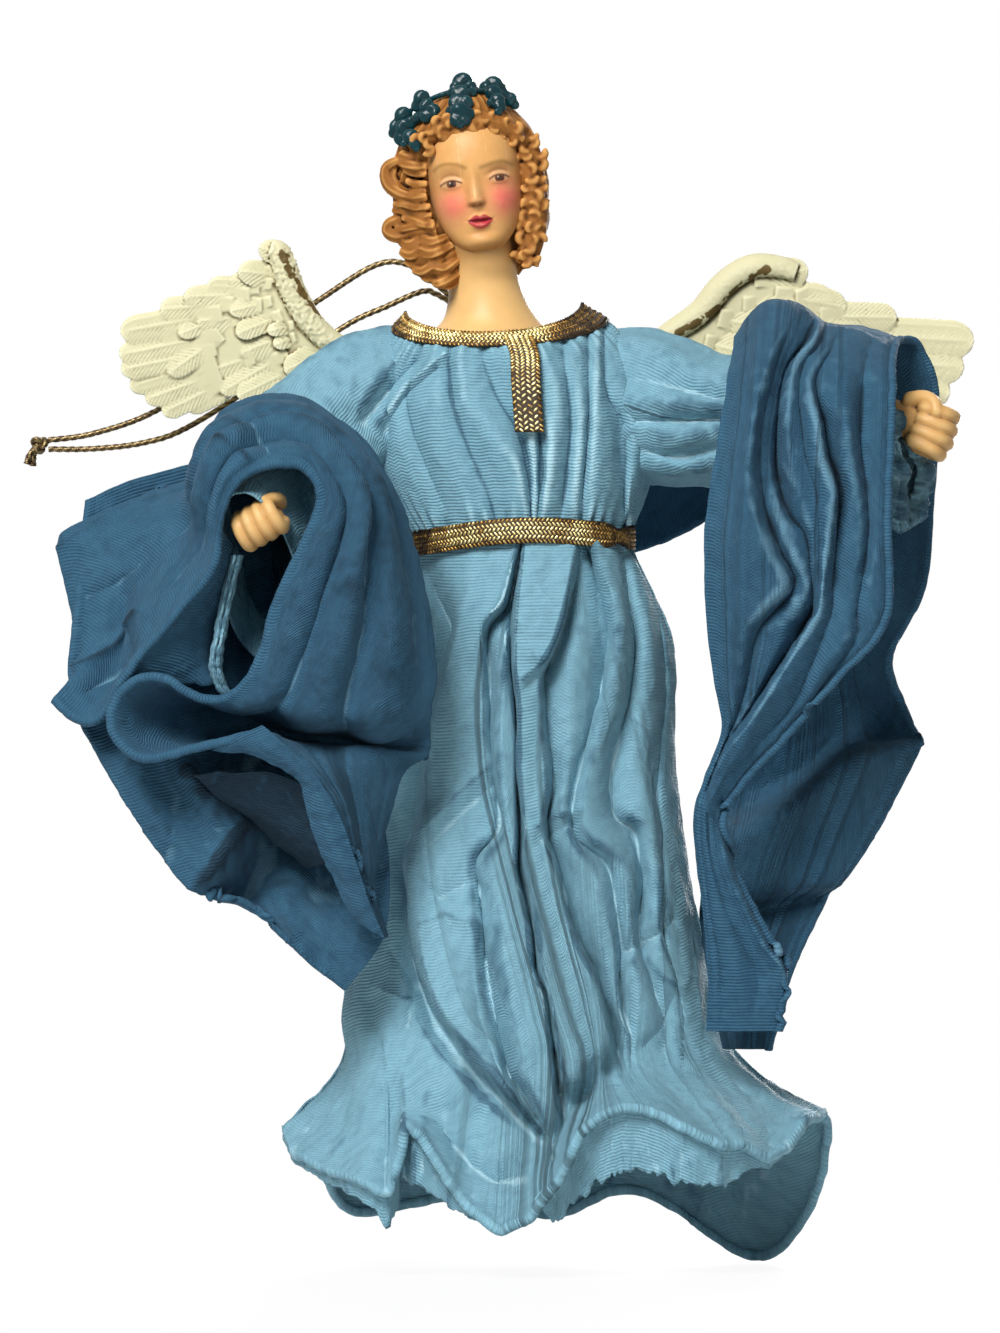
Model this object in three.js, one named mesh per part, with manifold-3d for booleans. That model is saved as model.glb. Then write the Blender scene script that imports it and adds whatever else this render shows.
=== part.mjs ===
// Angel ornament: cast head, hands and wings on a wire armature, dressed in stiffened cotton.
// Figure frame in millimetres: X to the viewer's right, Y to the back, Z up from the lowest hem corner.
// Left and right are as seen from the front.
import * as THREE from "three";
import { mergeVertices } from "three/addons/utils/BufferGeometryUtils.js";
import Module from "manifold-3d";

const wasm = await Module();
wasm.setup();

// Clearances and sheet thicknesses
const SEAT = 0.3;
const CLOTH = 1.0;
const BRAID_WIDTH = 6;
const BRAID_THICKNESS = 1.2;

// Body
const WAIST_HEIGHT = 153;
const WAIST_HALF_WIDTH = 22;
const WAIST_HALF_DEPTH = 16;
const CHEST_HALF_WIDTH = 29;
const CHEST_HALF_DEPTH = 18;
const NECKLINE_HEIGHT = 199.5;
const NECKLINE_HALF_WIDTH = 20;
const NECKLINE_HALF_DEPTH = 14;
const NECKLINE_TILT = 0.36;
const SHOULDER_DROP = 15.5;
const NECK_LENGTH = 14;
const BODY_LEAN = -5.2;
const PLEATS = 14;
const PLEAT_DEPTH = 0.8;
const CORE_BOTTOM = 116;

// Skirt
const HIP_HALF_WIDTH = 27;
const HIP_HALF_DEPTH = 20;
const KNEE_HALF_WIDTH = 39;
const KNEE_HALF_DEPTH = 30;
const HEM_HALF_WIDTH = 57;
const HEM_HALF_DEPTH = 43;
const FOLD_DEPTH = 1.6;

// Head
const HEAD_HALF_WIDTH = 10.2;
const HEAD_HALF_DEPTH = 12;
const HEAD_HEIGHT = 33;
const CHIN_HEIGHT = NECKLINE_HEIGHT + NECK_LENGTH;
const NECK_RADIUS = 7.3;
const HAIR_THICKNESS = 4.2;
const LEAF_LENGTH = 5.4;

// Arms
const UPPER_ARM = 26;
const LEFT_FOREARM = 40;
const RIGHT_FOREARM = 37;
const WIRE_RADIUS = 0.9;
const SPINE_RADIUS = 1.6;
const FINGER_RADIUS = 1.75;

// Wings
const FEATHER_THICKNESS = 1.3;
const WING_Y = 17;
const PIN_RADIUS = 1.1;

// Hanger
const EYE_RADIUS = 3;
const EYE_WIRE = 0.5;
const EYE_Y = 28.5;
const CORD_DIAMETER = 1.2;
const CORD_BEND = 2.4;
const KNOT_RADIUS = 1.6;

const vec = (x, y, z) => new THREE.Vector3(x, y, z);
const reach = (from, direction, length) => from.clone().addScaledVector(direction.clone().normalize(), length);

// Smooth curve through evenly spaced points
function through(points, t, closed = false) {
  const count = points.length;
  const spans = closed ? count : count - 1;
  const s = closed ? (((t % 1) + 1) % 1) * spans : Math.min(Math.max(t, 0), 1) * spans;
  const k = Math.min(Math.floor(s), spans - 1);
  const f = s - k;
  const at = (i) => (closed ? points[(i + count) % count] : points[Math.min(Math.max(i, 0), count - 1)]);
  const w = [-f + 2 * f * f - f ** 3, 2 - 5 * f * f + 3 * f ** 3, f + 4 * f * f - 3 * f ** 3, f ** 3 - f * f];
  const sum = vec(0, 0, 0);
  for (let i = 0; i < 4; i++) {
    sum.addScaledVector(at(k - 1 + i), w[i] / 2);
  }
  return sum;
}

// One number through evenly spaced numbers
const profile = (values, t) => through(values.map((value) => vec(value, 0, 0)), t).x;

// Surface through rows of control points, offset to an anchor point
function grid(rows, anchor = vec(0, 0, 0)) {
  const points = rows.map((row) => row.map((p) => vec(...p).add(anchor)));
  return (u, v) => through(points.map((row) => through(row, u)), v);
}

function normalAt(point, u, v, closed) {
  const e = 0.004;
  const low = closed ? u - e : Math.max(u - e, 0);
  const high = closed ? u + e : Math.min(u + e, 1);
  const du = point(high, v).sub(point(low, v));
  const dv = point(u, Math.min(v + e, 1)).sub(point(u, Math.max(v - e, 0)));
  return du.cross(dv).normalize();
}

function fromTriangles(positions, index) {
  const mesh = new wasm.Mesh({
    numProp: 3,
    vertProperties: new Float32Array(positions),
    triVerts: new Uint32Array(index),
  });
  return new wasm.Manifold(mesh);
}

// Closed sheet of even thickness about a surface
function shell(point, uSteps, vSteps, thickness, closed = false) {
  const columns = closed ? uSteps : uSteps + 1;
  const layer = columns * (vSteps + 1);
  const positions = [];
  for (const side of [0.5, -0.5]) {
    for (let j = 0; j <= vSteps; j++) {
      for (let i = 0; i < columns; i++) {
        const [u, v] = [i / uSteps, j / vSteps];
        const p = point(u, v).addScaledVector(normalAt(point, u, v, closed), side * thickness);
        positions.push(p.x, p.y, p.z);
      }
    }
  }
  const index = [];
  const quad = (a, b, c, d) => index.push(a, b, c, a, c, d);
  const at = (i, j) => (i % columns) + j * columns;
  for (let j = 0; j < vSteps; j++) {
    for (let i = 0; i < uSteps; i++) {
      const [a, b, c, d] = [at(i, j), at(i + 1, j), at(i + 1, j + 1), at(i, j + 1)];
      quad(a, b, c, d);
      quad(a + layer, d + layer, c + layer, b + layer);
    }
  }
  for (let i = 0; i < uSteps; i++) {
    const [a, b, d, c] = [at(i, 0), at(i + 1, 0), at(i, vSteps), at(i + 1, vSteps)];
    quad(b, a, a + layer, b + layer);
    quad(d, c, c + layer, d + layer);
  }
  if (!closed) {
    for (let j = 0; j < vSteps; j++) {
      const [a, d, b, c] = [at(0, j), at(0, j + 1), at(uSteps, j), at(uSteps, j + 1)];
      quad(a, d, d + layer, a + layer);
      quad(c, b, b + layer, c + layer);
    }
  }
  return fromTriangles(positions, index);
}

// Solid through closed rings of points, with flat ends
function loft(rings) {
  const sides = rings[0].length;
  const positions = [];
  const index = [];
  for (const p of rings.flat()) {
    positions.push(p.x, p.y, p.z);
  }
  for (const ring of [rings[0], rings[rings.length - 1]]) {
    const centre = ring.reduce((sum, p) => sum.add(p), vec(0, 0, 0)).divideScalar(sides);
    positions.push(centre.x, centre.y, centre.z);
  }
  const first = rings.length * sides;
  for (let i = 0; i < sides; i++) {
    const next = (i + 1) % sides;
    for (let j = 0; j < rings.length - 1; j++) {
      const [a, b] = [i + j * sides, next + j * sides];
      index.push(a, b, b + sides, a, b + sides, a + sides);
    }
    index.push(first, next, i);
    index.push(first + 1, i + first - sides, next + first - sides);
  }
  const solid = fromTriangles(positions, index);
  return solid;
}

// Level ellipse of points, counter-clockwise from above
function ellipse(cx, cy, z, halfWidth, halfDepth, sides) {
  return Array.from({ length: sides }, (_, i) => {
    const a = (2 * Math.PI * i) / sides;
    return vec(cx + halfWidth * Math.cos(a), cy + halfDepth * Math.sin(a), z);
  });
}

function fromGeometry(geometry) {
  const bare = geometry.clone();
  bare.deleteAttribute("normal");
  bare.deleteAttribute("uv");
  const merged = mergeVertices(bare, 1e-4);
  return fromTriangles(merged.attributes.position.array, merged.index.array);
}

// Round bar along a smooth line, with both ends pushed out by the given length
function tube(points, radius, steps, sides = 8, push = 0) {
  const circle = new THREE.Shape();
  circle.absarc(0, 0, radius, 0, 2 * Math.PI);
  const last = points.length - 1;
  const ends = [[0, 1], [last, last - 1]].map(([end, next]) => reach(points[end], points[end].clone().sub(points[next]), push));
  const extrudePath = new THREE.CatmullRomCurve3([ends[0], ...points.slice(1, last), ends[1]]);
  return fromGeometry(new THREE.ExtrudeGeometry(circle, { steps, extrudePath, curveSegments: sides / 2 }));
}

function ball(centre, rx, ry, rz, columns = 10, rows = 7) {
  const geometry = new THREE.SphereGeometry(1, columns, rows);
  geometry.scale(rx, ry, rz);
  geometry.translate(centre.x, centre.y, centre.z);
  return fromGeometry(geometry);
}

const joinAll = (solids) => solids.reduce((sum, solid) => sum.add(solid));
const cutBy = (solid, ...cutters) => cutters.reduce((left, cutter) => left.subtract(cutter), solid);

// Keeps the main body when a cut leaves crumbs
function mainBody(solid) {
  const bodies = solid.decompose();
  return bodies.reduce((best, body) => (body.volume() > best.volume() ? body : best));
}

// Bodice surface: u runs round from the back seam, v from the waist to the neckline
function bodice(u, v, offset = 0, pleat = PLEAT_DEPTH) {
  const a = 2 * Math.PI * u + Math.PI / 2;
  const wide = profile([WAIST_HALF_WIDTH, (WAIST_HALF_WIDTH + CHEST_HALF_WIDTH) / 2 + 2, CHEST_HALF_WIDTH + 1,
    CHEST_HALF_WIDTH, NECKLINE_HALF_WIDTH + 4, NECKLINE_HALF_WIDTH - 2], v);
  const deep = profile([WAIST_HALF_DEPTH, CHEST_HALF_DEPTH - 0.5, CHEST_HALF_DEPTH, CHEST_HALF_DEPTH - 1,
    NECKLINE_HALF_DEPTH + 2, NECKLINE_HALF_DEPTH - 1], v);
  const gather = pleat * Math.sin(Math.PI * Math.min(1, v * 1.15)) * Math.cos(PLEATS * a);
  const rise = NECKLINE_HEIGHT - WAIST_HEIGHT;
  const tilt = NECKLINE_TILT * Math.max(0, v * 1.7 - 0.7);
  const y = (deep + gather + offset) * Math.sin(a);
  const x = 0.5 + BODY_LEAN * v + (wide + gather + offset) * Math.cos(a);
  const height = profile([0, 0.22, 0.46, 0.7, 0.88, 1], v) * rise;
  return vec(x, y, WAIST_HEIGHT + height + tilt * y);
}
const bodiceSolid = (grow) => shell((u, v) => bodice(u, v), 42, 7, CLOTH + 2 * grow, true);

// Pressed pulp core, kept inside the gathers of the gown
function core() {
  const inset = -(PLEAT_DEPTH + CLOTH / 2 + SEAT);
  const rings = [0.8, 0.9, 1].map((share) => {
    const z = CORE_BOTTOM + (share - 0.8) * 5 * (WAIST_HEIGHT - 4 - CORE_BOTTOM);
    const half = (WAIST_HALF_WIDTH - FOLD_DEPTH - 2.5) * share;
    const deep = (WAIST_HALF_DEPTH - FOLD_DEPTH - 2.5) * share;
    return ellipse(1.5, 0, z, half, deep, 18);
  });
  for (const v of [0.04, 0.25, 0.5, 0.72]) {
    rings.push(Array.from({ length: 18 }, (_, i) => bodice(i / 18 - 0.25, v, inset, 0)));
  }
  return loft(rings);
}

// Skirt rows from the waist to the rim: height, centre, half width, half depth
const SKIRT_ROWS = [
  [WAIST_HEIGHT - 0.5, 0.5, WAIST_HALF_WIDTH, WAIST_HALF_DEPTH],
  [WAIST_HEIGHT - 23, 6, HIP_HALF_WIDTH - 1, HIP_HALF_DEPTH - 1],
  [WAIST_HEIGHT - 48, 5.5, HIP_HALF_WIDTH, HIP_HALF_DEPTH],
  [WAIST_HEIGHT - 73, 4, (HIP_HALF_WIDTH + KNEE_HALF_WIDTH) / 2 - 1, (HIP_HALF_DEPTH + KNEE_HALF_DEPTH) / 2],
  [WAIST_HEIGHT - 98, 2, KNEE_HALF_WIDTH, KNEE_HALF_DEPTH],
  [WAIST_HEIGHT - 111, 5, KNEE_HALF_WIDTH + 3.5, KNEE_HALF_DEPTH + 5],
  [0, 7.3, HEM_HALF_WIDTH, HEM_HALF_DEPTH],
];

// Fold lines of the front as shares of the half width, one list for each row, left side to right side
const FOLD_LINES = [
  [-1, -0.91, -0.8, -0.69, -0.56, -0.4, -0.11, 0.07, 0.27, 0.42, 0.6, 0.76, 0.89, 1],
  [-1, -0.95, -0.9, -0.85, -0.79, -0.68, -0.52, -0.23, -0.02, 0.23, 0.44, 0.54, 0.77, 1],
  [-1, -0.96, -0.93, -0.89, -0.81, -0.72, -0.43, -0.19, 0, 0.28, 0.54, 0.76, 0.87, 1],
  [-1, -0.94, -0.88, -0.8, -0.69, -0.55, -0.19, -0.03, 0.13, 0.28, 0.5, 0.72, 0.91, 1],
  [-1, -0.94, -0.85, -0.72, -0.49, -0.31, 0, 0.15, 0.28, 0.36, 0.46, 0.64, 0.87, 1],
  [-1, -0.89, -0.79, -0.71, -0.28, -0.19, -0.02, 0.15, 0.24, 0.28, 0.35, 0.52, 0.82, 1],
  [-1, -0.74, -0.63, -0.56, -0.3, -0.2, -0.08, 0.01, 0.08, 0.17, 0.29, 0.54, 0.78, 1],
];
// Ridges stand out and valleys lie in, as shares of the fold depth
const FOLD_SIGNS = [0, 0.6, -0.9, 0.6, -1.5, 1.2, -3, 1.8, -1.2, 1.2, -1.5, 0.9, -0.9, 0];
const FOLD_GROWTH = [0.2, 0.9, 1, 1, 1.2, 1.4, 0];
const RIM_HEIGHTS = [29, 20.5, 17.5, 31, 14, 9.3, 11, 23.4, 30.8, 35, 35, 29, 23, 31.8];
const RIM_FLARE = [0, 3, 4, -5, 2, 4, 4, 0, -3, -5, -4, 1, 3, 0];
// Back of the skirt, right side to left side: angle in degrees, rim height, rim flare
const BACK_FOLDS = [
  [112, 14, 3],
  [138, 0.5, 8],
  [160, 14, -3],
  [180, 9, 3],
  [202, 13, -3],
  [225, 10, 3],
  [247, 20, -2],
];

function skirtRow(k) {
  const [z, cx, wide, deep] = SKIRT_ROWS[k];
  const rim = k === SKIRT_ROWS.length - 1;
  const front = FOLD_LINES[k].map((s, i) => {
    const facing = Math.sqrt(Math.max(0, 1 - s * s));
    const out = rim ? RIM_FLARE[i] : FOLD_DEPTH * FOLD_SIGNS[i] * FOLD_GROWTH[k];
    return vec(cx + wide * s, -(deep + out) * facing, rim ? RIM_HEIGHTS[i] : z);
  });
  const back = BACK_FOLDS.map(([degrees, height, flare], i) => {
    const a = THREE.MathUtils.degToRad(degrees);
    const out = rim ? flare : FOLD_DEPTH * (i % 2 === 0 ? -1 : 1) * FOLD_GROWTH[k];
    return vec(cx + (wide + out) * Math.sin(a), -(deep + out) * Math.cos(a), rim ? height : z);
  });
  return [...front, ...back];
}
const skirtRows = SKIRT_ROWS.map((_, k) => skirtRow(k));
const SKIRT_COLUMNS = skirtRows[0].length;
const SKIRT_SEAM = (FOLD_SIGNS.length - 1) / SKIRT_COLUMNS;
const skirt = (u, v) => through(skirtRows.map((row) => through(row, u, true)), v);
const SEAM_GAP = 0.002;
const skirtFrontSurface = (u, v) => skirt(SEAM_GAP + u * (SKIRT_SEAM - 2 * SEAM_GAP), v);
const skirtBackSurface = (u, v) => skirt(SKIRT_SEAM + SEAM_GAP + u * (1 - SKIRT_SEAM - 2 * SEAM_GAP), v);
const skirtFrontSolid = (grow) => shell(skirtFrontSurface, 34, 11, CLOTH + 2 * grow);
const skirtBackSolid = (grow) => shell(skirtBackSurface, 16, 10, CLOTH + 2 * grow);

// Arms: shoulder, elbow and wrist of each side
const SHOULDER_Z = NECKLINE_HEIGHT - SHOULDER_DROP;
const leftShoulder = vec(-CHEST_HALF_WIDTH + 1, 3, SHOULDER_Z);
const rightShoulder = vec(CHEST_HALF_WIDTH - 6, 3, SHOULDER_Z + 1);
const leftElbow = reach(leftShoulder, vec(-19, -9, -15), UPPER_ARM);
const rightElbow = reach(rightShoulder, vec(25, -9, -3), UPPER_ARM);
const leftWrist = reach(leftElbow, vec(-6, -38, -12), LEFT_FOREARM);
const rightWrist = reach(rightElbow, vec(32, -14, -2), RIGHT_FOREARM);
const armPath = [leftWrist, leftElbow, leftShoulder, vec(-3, 7, SHOULDER_Z + 1), rightShoulder, rightElbow, rightWrist];
const wireSolid = (grow) => tube(armPath, WIRE_RADIUS + grow, 24, 6, grow);

const spineTop = vec(-9, 1.5, CHIN_HEIGHT + HEAD_HEIGHT * 0.3);
const spineFoot = vec(2, 0.5, CORE_BOTTOM + 6);
const spineSolid = (grow) => tube([spineFoot, spineTop], SPINE_RADIUS + grow, 1, 12, grow);

// Sleeves: rings of half width and half height along the arm
function sleeve(path, wide, high, gathers) {
  return (u, v) => {
    const a = 2 * Math.PI * u;
    const centre = through(path, v);
    const along = through(path, Math.min(v + 0.02, 1)).sub(through(path, Math.max(v - 0.02, 0))).normalize();
    const side = along.clone().cross(vec(0, 0, 1)).normalize();
    const up = side.clone().cross(along);
    const puff = 1 + 0.05 * Math.cos(gathers * a) * Math.sin(Math.PI * Math.min(1, v * 1.6));
    return centre.addScaledVector(side, profile(wide, v) * puff * Math.cos(a))
      .addScaledVector(up, profile(high, v) * puff * Math.sin(a));
  };
}
const leftCuff = leftWrist.clone().add(vec(-1.5, 2, -13));
const rightCuff = rightWrist.clone().add(vec(1, 0, -8));
const leftSleeve = sleeve([vec(-15, 3, SHOULDER_Z - 1), leftShoulder.clone().add(vec(-2, -1, -2)), leftElbow,
  leftElbow.clone().lerp(leftWrist, 0.5).add(vec(0, 0, -7)), leftCuff], [11, 13, 13, 11, 8.5], [12, 15, 15, 18, 22], 7);
const rightSleeve = sleeve([vec(8, 3, SHOULDER_Z - 1), rightShoulder.clone().add(vec(2, -1, -4)),
  rightShoulder.clone().lerp(rightElbow, 0.7).add(vec(0, 0, -5)), rightElbow.clone().lerp(rightWrist, 0.5).add(vec(0, 0, -4)),
  rightCuff], [11, 13, 13, 11, 8], [13, 16, 14, 12.5, 14.5], 7);
const leftSleeveSolid = (grow) => shell(leftSleeve, 18, 7, CLOTH + 2 * grow, true);
const rightSleeveSolid = (grow) => shell(rightSleeve, 18, 7, CLOTH + 2 * grow, true);

// Fists: a palm on a wrist, four curled fingers side by side and a thumb
function fist(wrist, along, across, grow) {
  const ahead = vec(...along).normalize();
  const row = vec(...across).normalize();
  const inward = ahead.clone().cross(row).normalize();
  const place = (a, r, n) => wrist.clone().addScaledVector(ahead, a).addScaledVector(row, r).addScaledVector(inward, n);
  const radius = FINGER_RADIUS + grow;
  const solids = [
    tube([place(-8, 0, 0), place(2, 0, 0)], 3 + grow, 1, 8, grow),
    ball(place(4.5, 0, -0.5), 4.2 + grow, 4.6 + grow, 5 + grow, 8, 5),
    tube([place(1.5, 5, 1.5), place(5, 5.6, 2.6), place(8, 3.4, 3)], radius, 3, 6, grow),
  ];
  for (let i = 0; i < 4; i++) {
    const r = (i - 1.5) * FINGER_RADIUS * 1.8;
    const bend = 9.5 - 0.5 * Math.abs(i - 1.3);
    solids.push(tube([place(4, r, -2.5), place(bend, r, -2.6), place(bend + 0.4, r, 1.6), place(5, r, 2.6)], radius, 4, 6, grow));
  }
  return joinAll(solids);
}
const leftFist = (grow) => fist(leftWrist, [-0.15, -1, -0.2], [0.85, 0, 0.5], grow);
const rightFist = (grow) => fist(rightWrist, [1, -0.4, 0.05], [0, 0.05, 1], grow);

// Head with neck and shoulder plate: rings of centre, height and half sizes
function headSolid(grow) {
  const neckX = BODY_LEAN - 1.3;
  const faceX = BODY_LEAN - 5;
  const faceY = -0.5;
  const level = (share) => CHIN_HEIGHT + HEAD_HEIGHT * share;
  const rows = [
    [neckX + 1.6, 0.5, NECKLINE_HEIGHT - 12.5 - grow, NECKLINE_HALF_WIDTH - 6, NECKLINE_HALF_DEPTH - 6],
    [neckX + 1.4, 0.5, NECKLINE_HEIGHT - 8, NECKLINE_HALF_WIDTH - 7, NECKLINE_HALF_DEPTH - 5.5],
    [neckX + 0.8, 0.5, NECKLINE_HEIGHT - 2, NECK_RADIUS + 2.6, NECK_RADIUS + 1],
    [neckX, 1, NECKLINE_HEIGHT + 5, NECK_RADIUS + 0.4, NECK_RADIUS],
    [neckX - 1.4, 1, CHIN_HEIGHT - 2.5, NECK_RADIUS - 0.2, NECK_RADIUS],
    [faceX + 1.4, -1.6, level(0.02), HEAD_HALF_WIDTH * 0.72, HEAD_HALF_DEPTH * 0.72],
    [faceX + 1, -1.2, level(0.1), HEAD_HALF_WIDTH * 0.84, HEAD_HALF_DEPTH * 0.86],
    [faceX + 0.6, faceY, level(0.25), HEAD_HALF_WIDTH * 0.96, HEAD_HALF_DEPTH * 0.96],
    [faceX + 0.2, 0, level(0.45), HEAD_HALF_WIDTH, HEAD_HALF_DEPTH],
    [faceX, 0.5, level(0.65), HEAD_HALF_WIDTH, HEAD_HALF_DEPTH],
    [faceX - 0.3, 1, level(0.82), HEAD_HALF_WIDTH * 0.85, HEAD_HALF_DEPTH * 0.86],
    [faceX - 0.5, 1.2, level(0.94), HEAD_HALF_WIDTH * 0.55, HEAD_HALF_DEPTH * 0.58],
    [faceX - 0.6, 1.3, level(1) + grow, HEAD_HALF_WIDTH * 0.2, HEAD_HALF_DEPTH * 0.2],
  ];
  const skull = loft(rows.map(([x, y, z, w, d]) => ellipse(x, y, z, w + grow, d + grow, 20)));
  const front = faceY - HEAD_HALF_DEPTH;
  const nose = tube([vec(faceX + 0.6, front + 1.2, level(0.5)), vec(faceX + 1, front - 0.9, level(0.34)),
    vec(faceX + 1, front + 1, level(0.31))], 1.1 + grow, 4, 6);
  return skull.add(nose);
}
const headCentre = vec(BODY_LEAN - 5, 1, CHIN_HEIGHT + HEAD_HEIGHT * 0.52);

// Hair: a cap open at the face, waved locks down the left and bunched curls down the right
function hairSolid(grow) {
  const capWidth = HEAD_HALF_WIDTH + HAIR_THICKNESS;
  const capDepth = HEAD_HALF_DEPTH + HAIR_THICKNESS;
  const cap = ball(headCentre.clone().add(vec(-0.6, 2.5, 1)), capWidth + grow, capDepth + grow,
    HEAD_HEIGHT / 2 + 1.6 + grow, 12, 8);
  const windowAt = headCentre.clone().add(vec(1.2, -HEAD_HALF_DEPTH - 4, -5));
  const face = ball(windowAt, HEAD_HALF_WIDTH - 0.2 - grow, 11 - grow, HEAD_HEIGHT * 0.47 - grow, 12, 8);
  const solids = [cap.subtract(face)];
  for (let i = 0; i < 6; i++) {
    const z = headCentre.z + 5.5 - i * 4.6;
    const out = capWidth + 1 + (i > 1 ? 1.2 : 0);
    const from = vec(headCentre.x - HEAD_HALF_WIDTH + 1, -7 + i * 0.4, z + 1);
    const bend = vec(headCentre.x - out, -2, z);
    const end = vec(headCentre.x - HEAD_HALF_WIDTH - 1, 8, z - 2);
    solids.push(tube([from, bend, end], 2.7 + grow, 4, 6));
  }
  for (let i = 0; i < 7; i++) {
    const z = headCentre.z + 8 - i * 4.4;
    const x = headCentre.x + HEAD_HALF_WIDTH + (i % 2 === 0 ? 3.4 : 2.4);
    solids.push(ball(vec(x, -3.5 + (i % 2) * 4, z), 3 + grow, 4 + grow, 2.9 + grow, 7, 5));
  }
  for (let i = 0; i < 6; i++) {
    const a = THREE.MathUtils.degToRad(155 - i * 26);
    const x = headCentre.x + 1 + 9.6 * Math.cos(a);
    solids.push(ball(vec(x, -9.5 + Math.abs(Math.cos(a)) * 2.4, headCentre.z + 2.4 + 9.4 * Math.sin(a)), 2.7 + grow, 2.6 + grow,
      2.5 + grow, 6, 5));
  }
  return joinAll(solids);
}

// Leaf wreath: lobed leaves in pairs along a stem over the brow
function wreathSolid(grow) {
  const arc = (t) => {
    const a = THREE.MathUtils.degToRad(192 - t * 150);
    return headCentre.clone().add(vec(-0.5 + 15 * Math.cos(a), -8 + 2 * Math.cos(2 * a), 3.4 + 14.6 * Math.sin(a)));
  };
  const stem = Array.from({ length: 7 }, (_, i) => arc(i / 6));
  const solids = [tube(stem, 1.5 + grow, 8, 6)];
  const leaves = 9;
  for (let i = 0; i < leaves; i++) {
    const at = arc((i + 0.3) / leaves);
    const shape = new THREE.Shape();
    const lobes = 8;
    for (let k = 0; k < lobes; k++) {
      const turn = (2 * Math.PI * k) / lobes;
      const r = (LEAF_LENGTH / 2) * (k % 2 === 0 ? 1.15 : 0.75) + grow;
      shape[k === 0 ? "moveTo" : "lineTo"](r * Math.cos(turn), r * Math.sin(turn));
    }
    shape.closePath();
    const leaf = new THREE.ExtrudeGeometry(shape, { depth: 1.6 + 2 * grow, bevelEnabled: false });
    leaf.translate(0, 0, -0.8 - grow);
    leaf.rotateX(Math.PI / 2 - 0.5 + 0.5 * (i % 2));
    leaf.rotateY((i - 4) * -0.22);
    leaf.translate(at.x, at.y - 0.8 - 0.5 * (i % 2), at.z + (i % 2 === 0 ? 1.2 : -0.6));
    solids.push(fromGeometry(leaf));
  }
  return joinAll(solids);
}

// Wings: feathers laid like shingles from the tip inwards under a rolled leading edge
function wingSolid(root, edge, outline, feathers, grow) {
  const solids = [tube(edge, 2.3 + grow, 10, 8)];
  feathers.forEach(([bx, bz, tx, tz, width], i) => {
    const base = vec(bx, 0, SHOULDER_Z + bz);
    const tip = vec(tx, 0, SHOULDER_Z + tz);
    const length = base.distanceTo(tip);
    const half = width / 2 + grow;
    const shape = new THREE.Shape();
    shape.moveTo(0, -half * 0.7);
    shape.lineTo(length - half, -half);
    shape.absarc(length - half, 0, half, -Math.PI / 2, Math.PI / 2);
    shape.lineTo(0, half * 0.7);
    shape.closePath();
    const thickness = FEATHER_THICKNESS + 2 * grow;
    const feather = new THREE.ExtrudeGeometry(shape, { depth: thickness, bevelEnabled: false, curveSegments: 4 });
    feather.translate(0, 0, -thickness / 2);
    feather.rotateX(Math.PI / 2);
    feather.rotateY(-Math.atan2(tz - bz, tx - bx));
    const lift = (i % 3) * 0.7;
    feather.translate(base.x, WING_Y + 2.4 - lift, base.z);
    solids.push(fromGeometry(feather));
  });
  const web = new THREE.Shape(outline.map(([x, z]) => new THREE.Vector2(x, SHOULDER_Z + z)));
  const plate = new THREE.ExtrudeGeometry(web, { depth: 2 + 2 * grow, bevelEnabled: false });
  plate.rotateX(Math.PI / 2);
  plate.translate(0, WING_Y + 1.6 + grow, 0);
  solids.push(fromGeometry(plate), ball(root, 6 + grow, 2.6 + grow, 6.5 + grow, 10, 7));
  return joinAll(solids);
}
const leftWingRoot = vec(leftShoulder.x - 6, WING_Y + 1, SHOULDER_Z + 6);
const rightWingRoot = vec(rightShoulder.x + 4, WING_Y + 1, SHOULDER_Z + 8);
const wingAt = (x, z) => vec(x, WING_Y, SHOULDER_Z + z);
const leftEdge = [leftWingRoot, wingAt(-42, 19), wingAt(-47.5, 26.5), wingAt(-53, 30.2), wingAt(-57.3, 26)];
const rightEdge = [rightWingRoot, wingAt(36, 19), wingAt(44, 24), wingAt(51.5, 27), wingAt(58.5, 24.6), wingAt(65, 20)];
// Feathers: base x and z, tip x and z, width, with the heights measured from the shoulder
const LEFT_FEATHERS = [
  [-50, 22, -69, 23, 6],
  [-49, 19, -77, 20, 7],
  [-48, 16, -84, 15.5, 7.5],
  [-47, 13, -86, 9, 7.5],
  [-46, 10, -85, 2.5, 7.5],
  [-45, 7, -80, -2.5, 7.5],
  [-44, 5, -72, -5, 7],
  [-43, 3, -63, -4, 7],
  [-47, 20, -66, 16, 7],
  [-46, 16, -68, 9, 7],
  [-44, 12, -67, 3, 7],
  [-42, 9, -60, 0, 7],
  [-40, 6, -53, -4, 7],
];
const RIGHT_FEATHERS = [
  [52, 22, 78, 20, 7],
  [50, 19, 92, 17, 7.5],
  [48, 16, 97.5, 12, 7.5],
  [46, 13, 97, 6, 7.5],
  [44, 10, 92, 0.5, 7.5],
  [42, 7, 83, -3, 7.5],
  [40, 4, 74, -6, 7.5],
  [36, 1, 64, -7, 7.5],
  [46, 19, 73, 13, 7],
  [43, 15, 70, 6, 7],
  [40, 11, 63, 0, 7],
  [36, 7, 54, -4, 7],
  [31, 4, 44, -6, 7],
];
const LEFT_WEB = [[-34, 3], [-40, 16], [-47.5, 26.5], [-53, 30], [-58, 26], [-63, 21], [-67, 13], [-64, 3],
  [-52, -2], [-41, -2]];
const RIGHT_WEB = [[27, 4], [36, 19], [44, 24], [51.5, 27], [58.5, 24.6], [66, 20], [73, 15], [75, 6],
  [66, -2], [50, -4], [31, -3]];
const leftWing = (grow) => wingSolid(leftWingRoot, leftEdge, LEFT_WEB, LEFT_FEATHERS, grow);
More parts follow.
